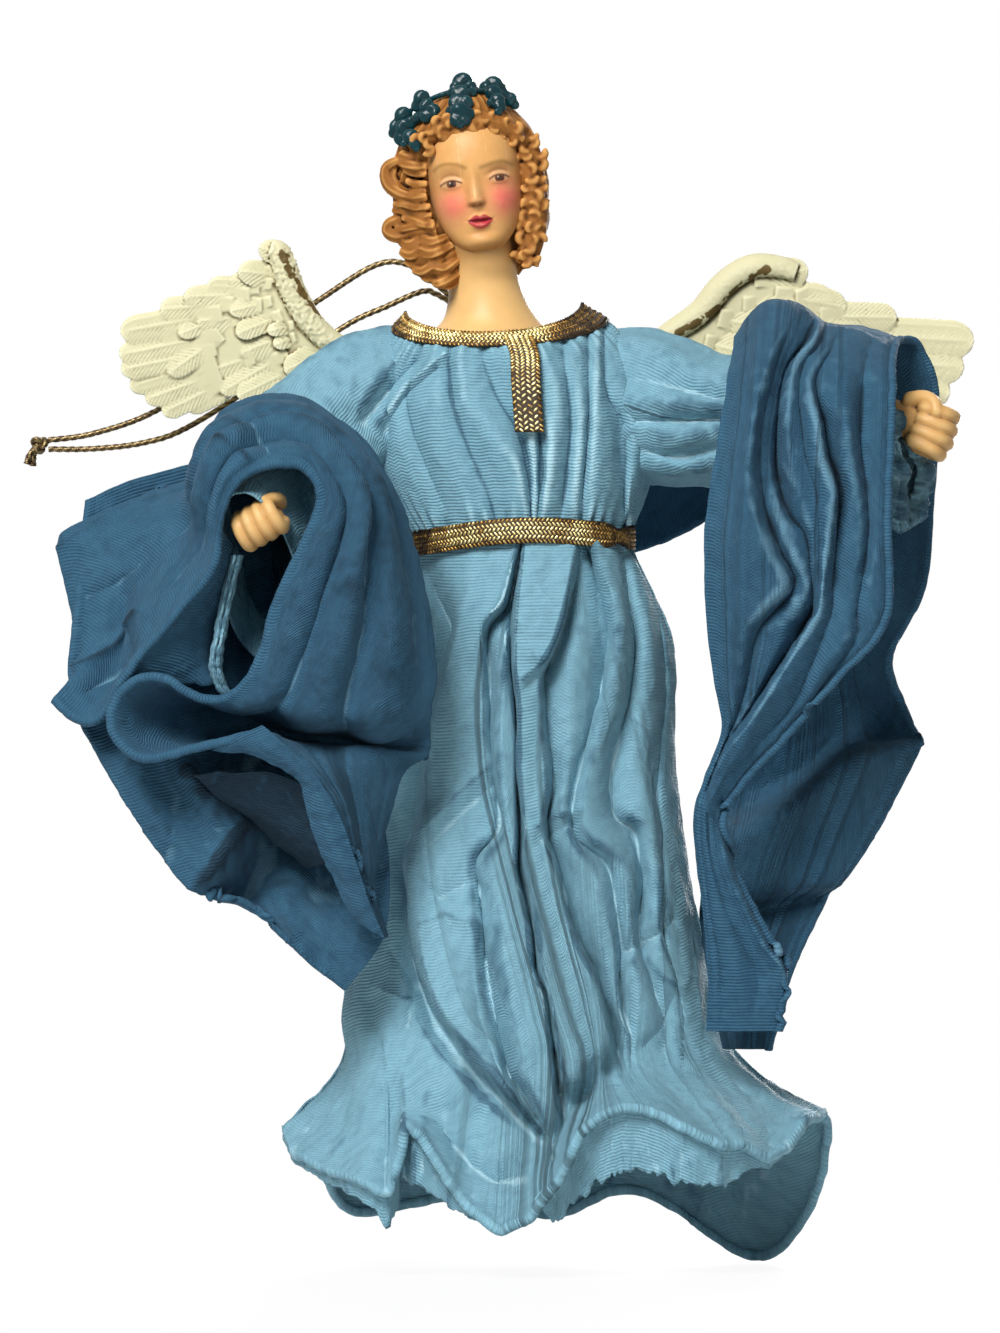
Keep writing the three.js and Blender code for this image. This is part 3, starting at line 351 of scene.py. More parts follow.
def tube_grid(path, radius, sides, lobes=0, depth=0.0, twist=0.0, flat=1.0):
    """Rings along a path; radius may change along it. Returns the ring points and how far out each stands."""
    path = np.asarray(path, float)
    t = np.gradient(path, axis=0)
    t /= np.linalg.norm(t, axis=1, keepdims=True)
    n = np.cross(t[0], [0.13, 0.31, 0.94])
    n /= np.linalg.norm(n)
    normals = []
    for direction in t:
        n = n - direction * (n @ direction)
        n /= np.linalg.norm(n)
        normals.append(n)
    normals = np.array(normals)
    sideways = np.cross(t, normals)
    a = np.linspace(0, 2 * math.pi, sides, endpoint=False)
    length = np.concatenate([[0], np.cumsum(np.linalg.norm(np.diff(path, axis=0), axis=1))])
    wave = np.cos(lobes * a[None, :] + twist * length[:, None]) if lobes else np.zeros((len(path), sides))
    r = np.broadcast_to(np.asarray(radius, float), (len(path),))[:, None] * (1 + depth * wave)
    ring = path[:, None] + r[..., None] * (np.cos(a)[None, :, None] * normals[:, None]
                                           + flat * np.sin(a)[None, :, None] * sideways[:, None])
    return ring, wave


class Parts:
    """Gathers several closed forms into one mesh."""

    def __init__(self):
        self.points, self.faces, self.cavity, self.count = [], [], [], 0

    def add(self, grid, cavity, closed=True, capped=True):
        rows, columns = grid.shape[:2]
        self.points.append(grid.reshape(-1, 3))
        self.cavity.append(np.broadcast_to(cavity, (rows, columns)).ravel())
        self.faces += [list(f) for f in quads(rows, columns, closed) + self.count]
        if capped:
            self.faces.append([self.count + i for i in reversed(range(columns))])
            self.faces.append([self.count + (rows - 1) * columns + i for i in range(columns)])
        self.count += rows * columns

    def build(self, name, material, **facts):
        cavity = np.concatenate(self.cavity)
        return piece(name, np.concatenate(self.points), self.faces, material, cavity=cavity, **facts)


def ball(centre, radii, rows=10, columns=14):
    a = np.linspace(0, 2 * math.pi, columns, endpoint=False)
    b = np.linspace(0.04, math.pi - 0.04, rows)
    grid = np.stack([np.sin(b)[:, None] * np.cos(a), np.sin(b)[:, None] * np.sin(a),
                     np.cos(b)[:, None] * np.ones(columns)], -1) * np.asarray(radii)
    return grid + np.asarray(centre)


# Materials
class Shader:
    """A small helper for one procedural material."""

    def __init__(self, name):
        self.material = bpy.data.materials.new(name)
        self.material.use_nodes = True
        self.tree = self.material.node_tree
        self.surface = self.tree.nodes["Principled BSDF"]

    def node(self, kind, **settings):
        made = self.tree.nodes.new(kind)
        for key, value in settings.items():
            setattr(made, key, value)
        return made

    def link(self, out, into):
        self.tree.links.new(out, into)

    def math(self, operation, a, b=0.0, c=0.0, clamp=False):
        made = self.node("ShaderNodeMath", operation=operation, use_clamp=clamp)
        for socket, value in zip(made.inputs, (a, b, c)):
            if isinstance(value, (int, float)):
                socket.default_value = value
            else:
                self.link(value, socket)
        return made.outputs[0]

    def noise(self, coordinates, scale, detail=3.0, stretch=(1, 1, 1)):
        mapping = self.node("ShaderNodeMapping")
        mapping.inputs["Scale"].default_value = stretch
        self.link(coordinates, mapping.inputs["Vector"])
        made = self.node("ShaderNodeTexNoise")
        made.inputs["Scale"].default_value = scale
        made.inputs["Detail"].default_value = detail
        self.link(mapping.outputs[0], made.inputs["Vector"])
        return made.outputs["Fac"]

    def ramp(self, value, stops):
        made = self.node("ShaderNodeValToRGB")
        while len(made.color_ramp.elements) < len(stops):
            made.color_ramp.elements.new(0.5)
        for element, (at, colour) in zip(made.color_ramp.elements, stops):
            element.position = at
            element.color = (*colour, 1)
        self.link(value, made.inputs["Fac"])
        return made.outputs["Color"]

    def mix(self, share, a, b, blend="MIX"):
        made = self.node("ShaderNodeMix", data_type="RGBA", blend_type=blend)
        for socket, value in zip((made.inputs["Factor"], made.inputs["A"], made.inputs["B"]),
                                 (share, a, b)):
            if isinstance(value, (int, float)):
                socket.default_value = value
            elif isinstance(value, (tuple, list, np.ndarray)):
                socket.default_value = (*value, 1)
            else:
                self.link(value, socket)
        return made.outputs["Result"]

    def split(self, vector):
        made = self.node("ShaderNodeSeparateXYZ")
        self.link(vector, made.inputs[0])
        return made.outputs

    def stored(self, name, output):
        return self.node("ShaderNodeAttribute", attribute_name=name).outputs[output]

    def cavity(self, spread, clamp=True):
        return self.math("MULTIPLY_ADD", self.stored("cavity", "Fac"), spread, 0.5, clamp=clamp)

    def object_space(self):
        return self.node("ShaderNodeTexCoord").outputs["Object"]

    def bump(self, height, distance, strength=1.0):
        made = self.node("ShaderNodeBump")
        made.inputs["Strength"].default_value = strength
        made.inputs["Distance"].default_value = distance
        self.link(height, made.inputs["Height"])
        self.link(made.outputs[0], self.surface.inputs["Normal"])

    def finish(self, colour=None, roughness=None, **sockets):
        if colour is not None:
            self.link(colour, self.surface.inputs["Base Color"])
        if roughness is not None:
            if isinstance(roughness, (int, float)):
                self.surface.inputs["Roughness"].default_value = roughness
            else:
                self.link(roughness, self.surface.inputs["Roughness"])
        for key, value in sockets.items():
            self.surface.inputs[key.replace("_", " ")].default_value = value
        return self.material


def ribbed_cotton(name, base, light, dark, rubbed_highlight):
    s = Shader(name)
    weave = s.node("ShaderNodeUVMap", uv_map="weave").outputs["UV"]
    wobble = s.noise(weave, 0.9, 2.0, (0.35, 1.0, 1.0))
    down = s.math("MULTIPLY_ADD", wobble, 0.14, s.split(weave)["Y"])
    rib = s.math("SINE", s.math("MULTIPLY", down, 2 * math.pi / RIB_PITCH))
    thread = s.noise(weave, 3.6, 2.0, (0.5, 1.8, 1.0))
    slub = s.noise(weave, 1.4, 3.0, (1.6, 0.5, 1.0))
    fade = s.noise(weave, 0.06, 4.0)
    stain = s.noise(weave, 0.35, 5.0, (1.0, 0.6, 1.0))
    cavity = s.cavity(0.9)
    # Darker in the folds and lighter on the ridges, by how far each point stands out: painted shade and
    # painted highlight.
    colour = s.ramp(cavity, [(0.12, dark), (0.42, base), (0.62, base), (0.95, light)])
    colour = s.mix(s.math("MULTIPLY", fade, 0.5), colour, s.mix(0.5, colour, light))
    colour = s.mix(s.math("MULTIPLY", s.math("SUBTRACT", stain, 0.45, clamp=True), 0.8), colour, dark)
    shade = s.math("MULTIPLY_ADD", rib, 0.07, 0.93)
    grain = s.math("ADD", shade, s.math("MULTIPLY", s.math("SUBTRACT", thread, 0.5), 0.5))
    tone = s.node("ShaderNodeCombineColor")
    for socket in tone.inputs[:3]:
        s.link(grain, socket)
    colour = s.mix(1.0, colour, tone.outputs[0], "MULTIPLY")
    # Paler again on the highest ridges: partly rubbed wear, partly painted highlight.
    raised = s.math("SUBTRACT", cavity, 0.66, clamp=True)
    wear_and_highlight = s.math("MULTIPLY", raised, s.math("MULTIPLY", slub, 1.3), clamp=True)
    colour = s.mix(wear_and_highlight, colour, rubbed_highlight)
    rough = s.math("MULTIPLY_ADD", slub, 0.35, 0.5)
    height = s.math("ADD", s.math("MULTIPLY", rib, 0.5),
                    s.math("ADD", thread, s.math("MULTIPLY", slub, 0.8)))
    s.bump(height, 0.00013)
    return s.finish(colour, rough, Sheen_Weight=0.03, Specular_IOR_Level=0.12)


def washed(name, base, light, dark, roughness=0.5, grain=900.0, spread=1.0, specular=0.5):
    """Cast and painted pieces: darker in the low places and lighter on the high ones, partly paint wash and
    wear, partly painted shade and painted highlight.
    """
    s = Shader(name)
    space = s.object_space()
    blot = s.noise(space, grain * 0.35, 4.0)
    cavity = s.math("ADD", s.cavity(spread), s.math("MULTIPLY", s.math("SUBTRACT", blot, 0.5), 0.35))
    colour = s.ramp(cavity, [(0.05, dark), (0.4, base), (0.6, base), (0.95, light)])
    s.bump(s.noise(space, grain, 4.0), 0.00012, 0.6)
    rough = s.math("MULTIPLY_ADD", blot, 0.25, roughness - 0.12)
    return s.finish(colour, rough, Specular_IOR_Level=specular)


def painted_face(name):
    s = Shader(name)
    space = s.object_space()
    speck = s.noise(space, 420.0, 4.0)
    thin = s.math("MULTIPLY", s.math("SUBTRACT", speck, 0.42, clamp=True), 0.7)
    colour = s.mix(thin, s.stored("paint", "Color"), srgb(214, 168, 112))
    s.bump(s.noise(space, 1500.0, 3.0), 0.00005, 0.5)
    rough = s.math("MULTIPLY_ADD", speck, 0.2, 0.3)
    return s.finish(colour, rough, Subsurface_Weight=0.05, Subsurface_Scale=0.001, Specular_IOR_Level=0.25)


def metal_thread(name, bright, mid, dark, roughness):
    s = Shader(name)
    space = s.object_space()
    uneven = s.math("MULTIPLY", s.math("SUBTRACT", s.noise(space, 260.0, 3.0), 0.5), 0.9)
    cavity = s.math("ADD", s.cavity(0.5, clamp=False), uneven)
    # Dark where the thread sinks and bright where it stands out: painted shade and painted highlight.
    colour = s.ramp(cavity, [(0.1, dark), (0.45, mid), (0.85, bright)])
    s.bump(s.noise(space, 3200.0, 2.0), 0.00008, 0.8)
    return s.finish(colour, roughness, Metallic=0.85)


def plain_stock(name, base, dark, roughness, metallic=0.0, grain=600.0, stretch=(1, 1, 1)):
    s = Shader(name)
    space = s.object_space()
    grains = s.noise(space, grain, 4.0, stretch)
    colour = s.ramp(grains, [(0.3, dark), (0.7, base)])
    s.bump(grains, 0.0001, 0.5)
    rough = s.math("MULTIPLY_ADD", grains, 0.3, roughness - 0.15)
    return s.finish(colour, rough, Metallic=metallic)


# Base, lighter, darker and rubbed tones: ribbed_cotton paints the lighter tone on ridges and the darker in
# folds as painted highlight and shade, the darker also in stains.
GOWN = ribbed_cotton("gown_cotton", srgb(118, 165, 183), srgb(166, 209, 223), srgb(46, 86, 108),
                     srgb(178, 208, 216))
STOLE = ribbed_cotton("stole_cotton", srgb(46, 86, 112), srgb(88, 132, 156), srgb(9, 26, 42),
                      srgb(120, 158, 178))
SKIN = painted_face("skin_paint")
# washed paints each lighter tone on high places and darker tone in low ones: wash and wear together with
# painted highlight and shade.
HAND = washed("hand_paint", srgb(202, 156, 96), srgb(230, 194, 132), srgb(84, 48, 24), 0.42, 500.0, 2.2,
              0.25)
HAIR = washed("hair_paint", srgb(146, 94, 44), srgb(206, 150, 84), srgb(40, 22, 9), 0.58, 700.0, 2.2, 0.1)
LEAF = washed("leaf_gloss", srgb(4, 44, 50), srgb(10, 66, 72), srgb(2, 14, 20), 0.2, 500.0, 1.6, 0.2)
WING = washed("wing_paint", srgb(208, 202, 164), srgb(228, 224, 190), srgb(96, 78, 42), 0.5, 500.0, 2.6,
              0.2)
GOLD = metal_thread("gold_thread", srgb(246, 230, 164), srgb(150, 114, 54), srgb(36, 24, 10), 0.3)
BRAID_BACK = plain_stock("braid_ground", srgb(62, 44, 18), srgb(30, 20, 9), 0.6, 0.3, 1500.0)
CORD = metal_thread("metallic_cord", srgb(150, 128, 88), srgb(98, 82, 56), srgb(44, 34, 20), 0.4)
STEEL = plain_stock("drawn_wire", srgb(170, 172, 176), srgb(120, 122, 126), 0.35, 0.9, 900.0)
PULP = plain_stock("pressed_pulp", srgb(178, 156, 122), srgb(140, 118, 86), 0.9)
WOOD = plain_stock("turned_wood", srgb(206, 170, 118), srgb(160, 118, 70), 0.7, 0.0, 300.0, (6, 6, 0.6))
for node, material in (("torso_core", PULP), ("spine_rod", WOOD), ("arm_wire", STEEL),
                       ("left_wing_pin", STEEL), ("right_wing_pin", STEEL), ("hanger_eye", STEEL)):
    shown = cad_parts[node]
    shown.data.materials.clear()
    shown.data.materials.append(material)

# Hanging cord: two twisted strands from the eye to the knot
EYE_RADIUS = 3.0
CORD_BEND = 2.4
PULL = np.array([-0.72, 0, 0.69]) / math.hypot(0.72, 0.69)


def bight(side, angle):
    sideways = np.array([0, side * CORD_BEND * math.sin(angle), 0])
    return EYE + PULL * (EYE_RADIUS - CORD_BEND * math.cos(angle)) + sideways


UPPER = [bight(-1, 0.16), bight(-1, 0.8), bight(-1, 1.5), (-18, 26.2, 207.5), (-24.3, 26.3, 211.6),
         (-31, 26.5, 211.2), (-42, 26.8, 204.4), (-59, 27.2, 192.6), (-77, 27.5, 180.6),
         (-90.5, 27.8, 175.6), (-100.4, 28, 174.1)]
LOWER = [bight(1, 0.16), bight(1, 0.8), bight(1, 1.5), (-17.6, 30.9, 205.2), (-21, 30.8, 205.8),
         (-28.5, 30.5, 202.6), (-37, 30.2, 198.6), (-53.8, 29.8, 187.4), (-70.7, 29.4, 176.9),
         (-80, 29.2, 173.6), (-90.7, 29, 172.3), (-100.4, 28.8, 172.2)]
KNOT = np.array([-102.3, 28.5, 173.2])


def twisted(name, path, node):
    ring, wave = tube_grid(path, CORD_DIAMETER / 2, 12, 3, 0.16, 3.4)
    strand = Parts()
    # Twist grooves painted darker and strand crests lighter: painted shade and painted highlight.
    strand.add(ring, 0.9 * wave)
    made = strand.build(name, CORD, body=LOOP, nodes=[node], slot="metallic_cord")


turns = np.linspace(0, 2 * math.pi, 60)
trefoil = np.stack([np.sin(turns) + 2 * np.sin(2 * turns), 1.4 * -np.sin(3 * turns),
                    np.cos(turns) - 2 * np.cos(2 * turns)], 1)
# The knot's twist grooves get the same painted shade and highlight.
knot = Parts()
ring, wave = tube_grid(KNOT + 0.52 * trefoil, 0.58, 10, 3, 0.14, 3.4)
knot.add(ring, 0.9 * wave, capped=False)
for end in ((-1.4, 0.3, -4.6), (-2.7, -0.2, -4.2)):
    ring, wave = tube_grid(along([KNOT, KNOT + np.array(end) * 0.5 + [-0.5, 0, 0.2], KNOT + np.array(end)],
                                 np.linspace(0, 1, 14)), np.linspace(0.55, 0.75, 14), 10, 3, 0.2, 3.4)
    knot.add(ring, 0.9 * wave)
tied = knot.build("cord_knot_tied", CORD, body=LOOP, nodes=["cord_knot"], slot="metallic_cord")
twisted("cord_upper_strand", along(UPPER, np.linspace(0, 1, 220)), "hang_cord_upper")
twisted("cord_lower_strand", along(LOWER, np.linspace(0, 1, 220)), "hang_cord_lower")

# Body sizes shared by the gown pieces
WAIST_HEIGHT = 153.0
WAIST = np.array([22.0, 16.0])
NECKLINE_HEIGHT = 201.8
NECKLINE_TILT = 0.39
BODY_LEAN = -5.2
SHOULDER_Z = 184.0

# Skirt: rows from waist to rim give height, centre, half width and half depth
SKIRT_ROWS = [(152.5, 0.5, 22, 16), (130, 4.5, 27.5, 19), (105, 2.7, 29.8, 20), (80, 2, 34, 25),
              (55, 2, 39, 30), (42, 5, 42.5, 35), (0, 7.3, 57, 43)]
FOLD_LINES = [
    (-1, -0.91, -0.8, -0.69, -0.56, -0.4, -0.11, 0.07, 0.27, 0.42, 0.6, 0.76, 0.89, 1),
    (-1, -0.95, -0.9, -0.85, -0.79, -0.68, -0.52, -0.23, -0.02, 0.23, 0.44, 0.54, 0.77, 1),
    (-1, -0.96, -0.93, -0.89, -0.81, -0.72, -0.43, -0.19, 0, 0.28, 0.54, 0.76, 0.87, 1),
    (-1, -0.94, -0.88, -0.8, -0.69, -0.55, -0.19, -0.03, 0.13, 0.28, 0.5, 0.72, 0.91, 1),
    (-1, -0.94, -0.85, -0.72, -0.49, -0.31, 0, 0.15, 0.28, 0.36, 0.46, 0.64, 0.87, 1),
    (-1, -0.89, -0.79, -0.71, -0.28, -0.19, -0.02, 0.15, 0.24, 0.28, 0.35, 0.52, 0.82, 1),
    (-1, -0.74, -0.63, -0.56, -0.3, -0.2, -0.08, 0.01, 0.08, 0.17, 0.29, 0.54, 0.78, 1),
]
FOLD_DEPTH = 0.4
FOLD_SIGNS = np.array([0, 0.6, -0.9, 0.6, -1.5, 1.2, -3, 1.8, -1.2, 1.2, -1.5, 0.9, -0.9, 0])
FOLD_GROWTH = (0.2, 0.9, 1, 1, 1.2, 1.4, 0)
RIM_HEIGHTS = np.array([29, 20.5, 17.5, 31, 14, 9.3, 11, 23.4, 30.8, 35, 35, 29, 23, 31.8])
RIM_FLARE = np.array([0, 3, 4, -5, 2, 4, 4, 0, -3, -5, -4, 1, 3, 0])
BACK_FOLDS = np.array([(112, 14, 3), (138, 0.5, 8), (160, 14, -3), (180, 9, 3), (202, 13, -3), (225, 10, 3),
                       (247, 20, -2)])


def skirt_row(k):
    z, centre, wide, deep = SKIRT_ROWS[k]
    rim = k == len(SKIRT_ROWS) - 1
    s = np.array(FOLD_LINES[k])
    out = RIM_FLARE if rim else FOLD_DEPTH * FOLD_SIGNS * FOLD_GROWTH[k]
    front = np.stack([centre + wide * s, -(deep + out) * np.sqrt(np.maximum(0, 1 - s * s)),
                      RIM_HEIGHTS if rim else np.full(len(s), z)], 1)
    a = np.radians(BACK_FOLDS[:, 0])
    out = BACK_FOLDS[:, 2] if rim else FOLD_DEPTH * np.where(np.arange(len(a)) % 2, 1, -1) * FOLD_GROWTH[k]
    back = np.stack([centre + (wide + out) * np.sin(a), -(deep + out) * np.cos(a),
                     BACK_FOLDS[:, 1] if rim else np.full(len(a), z)], 1)
    return np.concatenate([front, back])


SKIRT = np.array([skirt_row(k) for k in range(len(SKIRT_ROWS))])
SKIRT_SEAM = (len(FOLD_SIGNS) - 1) / SKIRT.shape[1]


def crumple(grid, size, height, seed, closed=False, stretch=(1, 1, 1)):
    """Small dents all over a stiffened sheet."""
    n = grid_normals(grid, closed)
    p = grid * np.asarray(stretch) / size
    dents = noise(p, seed) + 0.25 * noise(4.3 * p, seed + 3)
    dents += 0.9 * (0.3 - np.abs(noise(1.3 * p, seed + 1)))
    dents += 0.6 * (np.abs(noise(2.2 * p, seed + 2)) - 0.3)
    return grid + height * dents[..., None] * n


SKIRT_PLEATS = [
    [(149.9, -22.3, -0.3), (146.5, -19.9, -1.4), (141.8, -17.6, -1.6), (137, -15.2, -1.8),
     (133.3, -14.3, -1.8), (126.2, -17.2, -1.4), (117.4, -19.7, -1.2), (105.3, -21.2, -1.2),
     (91.8, -22.6, -1.4), (85.4, -24.6, -1.6), (78.4, -23.7, -1.8), (69.7, -22.9, -2.2),
     (60.2, -20.9, -2.8), (52.8, -18.2, -3.2), (46.4, -14, -3.2), (40.6, -8.8, -3), (33.6, -1.8, -2.4),
     (27.9, 3.4, -1.2)],
    [(151.2, -6.1, 0.6), (140.4, -10.1, 1.6), (132.3, -13.1, 1.8), (122.9, -16.1, 1.5),
     (112, -18.2, 1.5), (101.9, -19.6, 1.5), (88.4, -20.9, 1.8), (83.7, -22.2, 2), (78.4, -21.6, 2),
     (69.7, -20.8, 2.4), (61.9, -19.4, 3), (54.9, -16.4, 3.4), (49.7, -12.9, 3.6), (43.6, -7.7, 3.4),
     (38.2, -2.5, 3), (32.3, 1.8, 2), (27.1, 6, 0.6)],
    [(151.5, -0.8, 1), (141.8, -3, 2.4), (138.7, -4.4, 2.6), (134.9, -8, 2.6), (130.3, -8, 2),
     (124.2, -8.2, 1.5), (117.4, -8, 1.3), (110.7, -7.9, 1.1), (103.9, -7.1, 0.8), (91.8, -6.1, 0.7),
     (85.4, -10.9, 0.7), (78.4, -10.3, 0.9), (69.7, -9.8, 0.9), (61.9, -9.6, 0.9), (53.2, -8.6, 0.8),
     (47.1, -6.6, 1), (41.9, -4.7, 1.2), (35.8, -0.9, 1), (27.9, 4.7, 0.4)],
    [(151.2, -0.1, -1), (141.8, -1.9, -3.2), (138, -3, -3.6), (133.5, -6.9, -3.4), (125.6, -6.5, -2),
     (118.8, -6.2, -1.6), (112, -6.2, -1.4), (106, -5.7, -0.8), (98.5, -4.8, -0.6), (91.8, -4.4, -0.6),
     (85.4, -9.1, -0.7), (78.4, -8.4, -1), (69.7, -7.6, -1.4), (61.9, -6.9, -1.8), (53.2, -5.3, -2.4),
     (46.2, -3.6, -3), (41, -2.5, -3.2), (35.6, 0.8, -2.6), (27.9, 6, -1)],
    [(150.5, 0, -1), (141.1, -1.7, -2.6), (136.4, -2.5, -1), (132.3, -2.9, 0.8), (125.6, -3.5, 1.6),
     (116.1, -4.2, 1.8), (106.6, -4, 2), (98.5, -3.6, 2.1), (91.8, -3.1, 2.2), (85.4, -5.5, 2.4),
     (78.4, -4.6, 2.4), (69.7, -3.7, 2.6), (61, -2.9, 2.8), (52.3, -0.9, 2.8), (45.4, 0.8, 2.6),
     (38.4, 2.5, 2), (31.4, 5.1, 1), (26.2, 7.3, 0.3)],
    [(150.2, 0.2, -1.2), (140.4, -1.6, -2.8), (132.3, -2.3, -1), (125.6, -2.3, -0.4),
     (118.8, -1.7, 0.8), (112, -1.5, 1), (105.3, -1.6, 1.2), (98.5, -1.3, 1.4), (91.8, -0.9, 1.6),
     (83.7, -1.2, 2), (77.6, 0.2, 2), (70.6, 1.6, 2), (62.8, 2.4, 2.2), (57.1, 4.7, 2.4),
     (50.6, 5.6, 2.2), (43.6, 6.4, 2), (36.6, 7.2, 1.4), (31.4, 8, 0.4)],
    [(149.9, 0.3, -1.6), (145.1, -0.8, -2.8), (139.1, -1.5, -3.4), (132.3, -2, -3.6),
     (125.6, -1.9, -3.6), (118.8, -1.2, -3.6), (112, -0.9, -3.4), (105.3, -1.1, -3.4),
     (98.5, -0.6, -3.6), (91.8, -0.1, -3.8), (83.7, -0.3, -4), (77.1, 1.2, -4), (70.2, 2.5, -4),
     (62.3, 3.4, -4), (56.7, 5.7, -3.8), (50.6, 6.5, -3.6), (43.6, 7.5, -3.4), (35.8, 8.4, -2.6),
     (31.4, 9.1, -0.6)],
    [(151.2, 0.8, 1.4), (145.8, 0.2, 2), (139.1, -0.6, 2.4), (132.3, -1.1, 2.6), (125.6, -0.9, 2.4),
     (118.8, -0.1, 2.4), (112, 0.2, 2.4), (105.3, 0.1, 2.4), (98.5, 0.6, 2.6), (91.8, 1.1, 2.6),
     (84.5, 1.7, 2.8), (78.4, 3.1, 2.8), (69.7, 4.2, 2.9), (61, 5.1, 2.9), (52.3, 7.4, 2.9),
     (45.4, 8.5, 2.7), (39.3, 9.8, 2), (35.8, 11.2, 0.8), (31.4, 12.1, 0)],
    [(151.2, 11.3, 1.6), (142.4, 9.9, 2.6), (133.7, 7.9, 2.8), (128.4, 5.7, 2.8), (125.6, 3.8, 1.8),
     (120.2, 3.5, 1.6), (114.7, 3.8, 1.6), (108.7, 4.4, 1.6), (102.6, 5, 1.8), (97.2, 4.6, 2),
     (91.8, 4.2, 2.2), (85.4, 6.4, 2.4), (80.2, 7.8, 2.5), (74.1, 9.1, 2.7), (67.3, 11.7, 2.9),
     (62.1, 14.4, 2.9), (57.1, 15.8, 2.9), (51, 17, 2.7), (45.5, 18.7, 2.3), (43.2, 19.9, 1.4),
     (38.4, 20.8, 0)],
    [(150.2, 12.3, -1.2), (142.1, 11, -2.6), (133.3, 8.9, -3.2), (127.9, 6.7, -3.2), (124.2, 5, -2.6),
     (118.8, 5.3, -2.6), (112, 5.5, -2.6), (105.3, 6.7, -2.6), (99.2, 6.8, -2.8), (94.5, 5.7, -3),
     (89.8, 6, -3.2), (83.7, 8.3, -3.4), (78.4, 9.3, -3.4), (71.5, 11.1, -3.6), (65.8, 13.6, -3.8),
     (61.9, 15.9, -4), (57.1, 17.3, -4), (51.5, 19.2, -3.8), (46.7, 20.1, -3), (42.7, 21, -1),
     (38.4, 21.8, 0)],
    [(149.9, 13.2, -1.6), (139.1, 13.6, -0.6), (132.3, 12.5, 0.2), (125.6, 11.5, 0.5),
     (118.8, 10.5, 0.5), (112, 10.2, 0.5), (105.3, 9.8, 0.5), (99.9, 9.5, 0.7), (94.5, 8.8, 0.9),
     (81.9, 15.6, 1.2), (75, 17.3, 1.2), (68.9, 19.1, 0.9), (61.9, 19.9, 0.4), (54.9, 20.8, 0.2),
     (48.8, 22.5, 0)],
    [(151.2, 14.1, -2.8), (143.8, 16.3, -2.8), (137.6, 18, -2.6), (133, 18.6, -2.2),
     (122.2, 17.2, -1.6), (114.7, 15.2, -1.4), (105.3, 12.7, -1.4), (99.9, 11.5, -1.4),
     (95.2, 10.9, -1.4), (89.8, 11.7, -1.2), (84.5, 17.8, -1), (76.7, 19.9, -1.2), (68, 21, -1.8),
     (61, 20.8, -2.2), (54.1, 21.5, -2.2), (48.8, 23.1, -1)],
    [(151.2, 15.6, 1.6), (145.1, 18, 2.2), (139.1, 20.2, 2.6), (132.3, 21, 2.6), (124.2, 20.3, 2.4),
     (114.7, 17.8, 2.2), (105.3, 15.2, 2), (98.5, 13.8, 1.6), (91.8, 13.7, 1.4), (85.4, 20.8, 1.6),
     (78.4, 22.7, 1.8), (71.5, 23.4, 1.6), (64.5, 23.8, 1.4), (57.5, 25.1, 0.9), (50.6, 27.8, 0.4)],
    [(150.9, 21.8, -0.8), (139.1, 23, -1.8), (131, 24, -2.2), (120.2, 23.1, -2), (110.7, 20.6, -1.8),
     (101.2, 18.6, -1.4), (94.5, 19.8, -1.6), (91.8, 23.7, -2.2), (85.4, 25, -2.2), (80.2, 25.8, -2.4),
     (74.1, 25, -2.4), (67.1, 25.1, -1.8), (58.4, 27.8, -0.9), (50.6, 30.4, -0.4)],
    [(149.9, 24, 0.6), (139.1, 26.8, 1.4), (130.3, 27.6, 1.6), (120.2, 27, 1.4), (110.7, 25.7, 1.4),
     (101.2, 25.7, 1.2), (95.2, 26.8, 1.8), (85.4, 28.6, 1.6), (78.4, 29.5, 1.8), (70.6, 29.5, 1.6),
     (61, 32.1, 1.1), (52.3, 33.8, 0.6)],
    [(146.5, 25.4, -0.6), (136.4, 28.9, -0.9), (126.2, 30.5, -1.1), (120.2, 30.8, -1.1),
     (112, 29.9, -1.1), (105.3, 29.3, -1.1), (98.5, 28.7, -0.9), (91.8, 29.8, -0.5)],
    [(146.5, 26.8, 0.4), (136.4, 29.8, 0.7), (126.2, 31.4, 0.8), (120.2, 31.7, 0.8), (112, 30.9, 0.8),
     (105.3, 30.3, 0.8), (98.5, 30.1, 0.6), (91.8, 31.2, 0.3)],
]
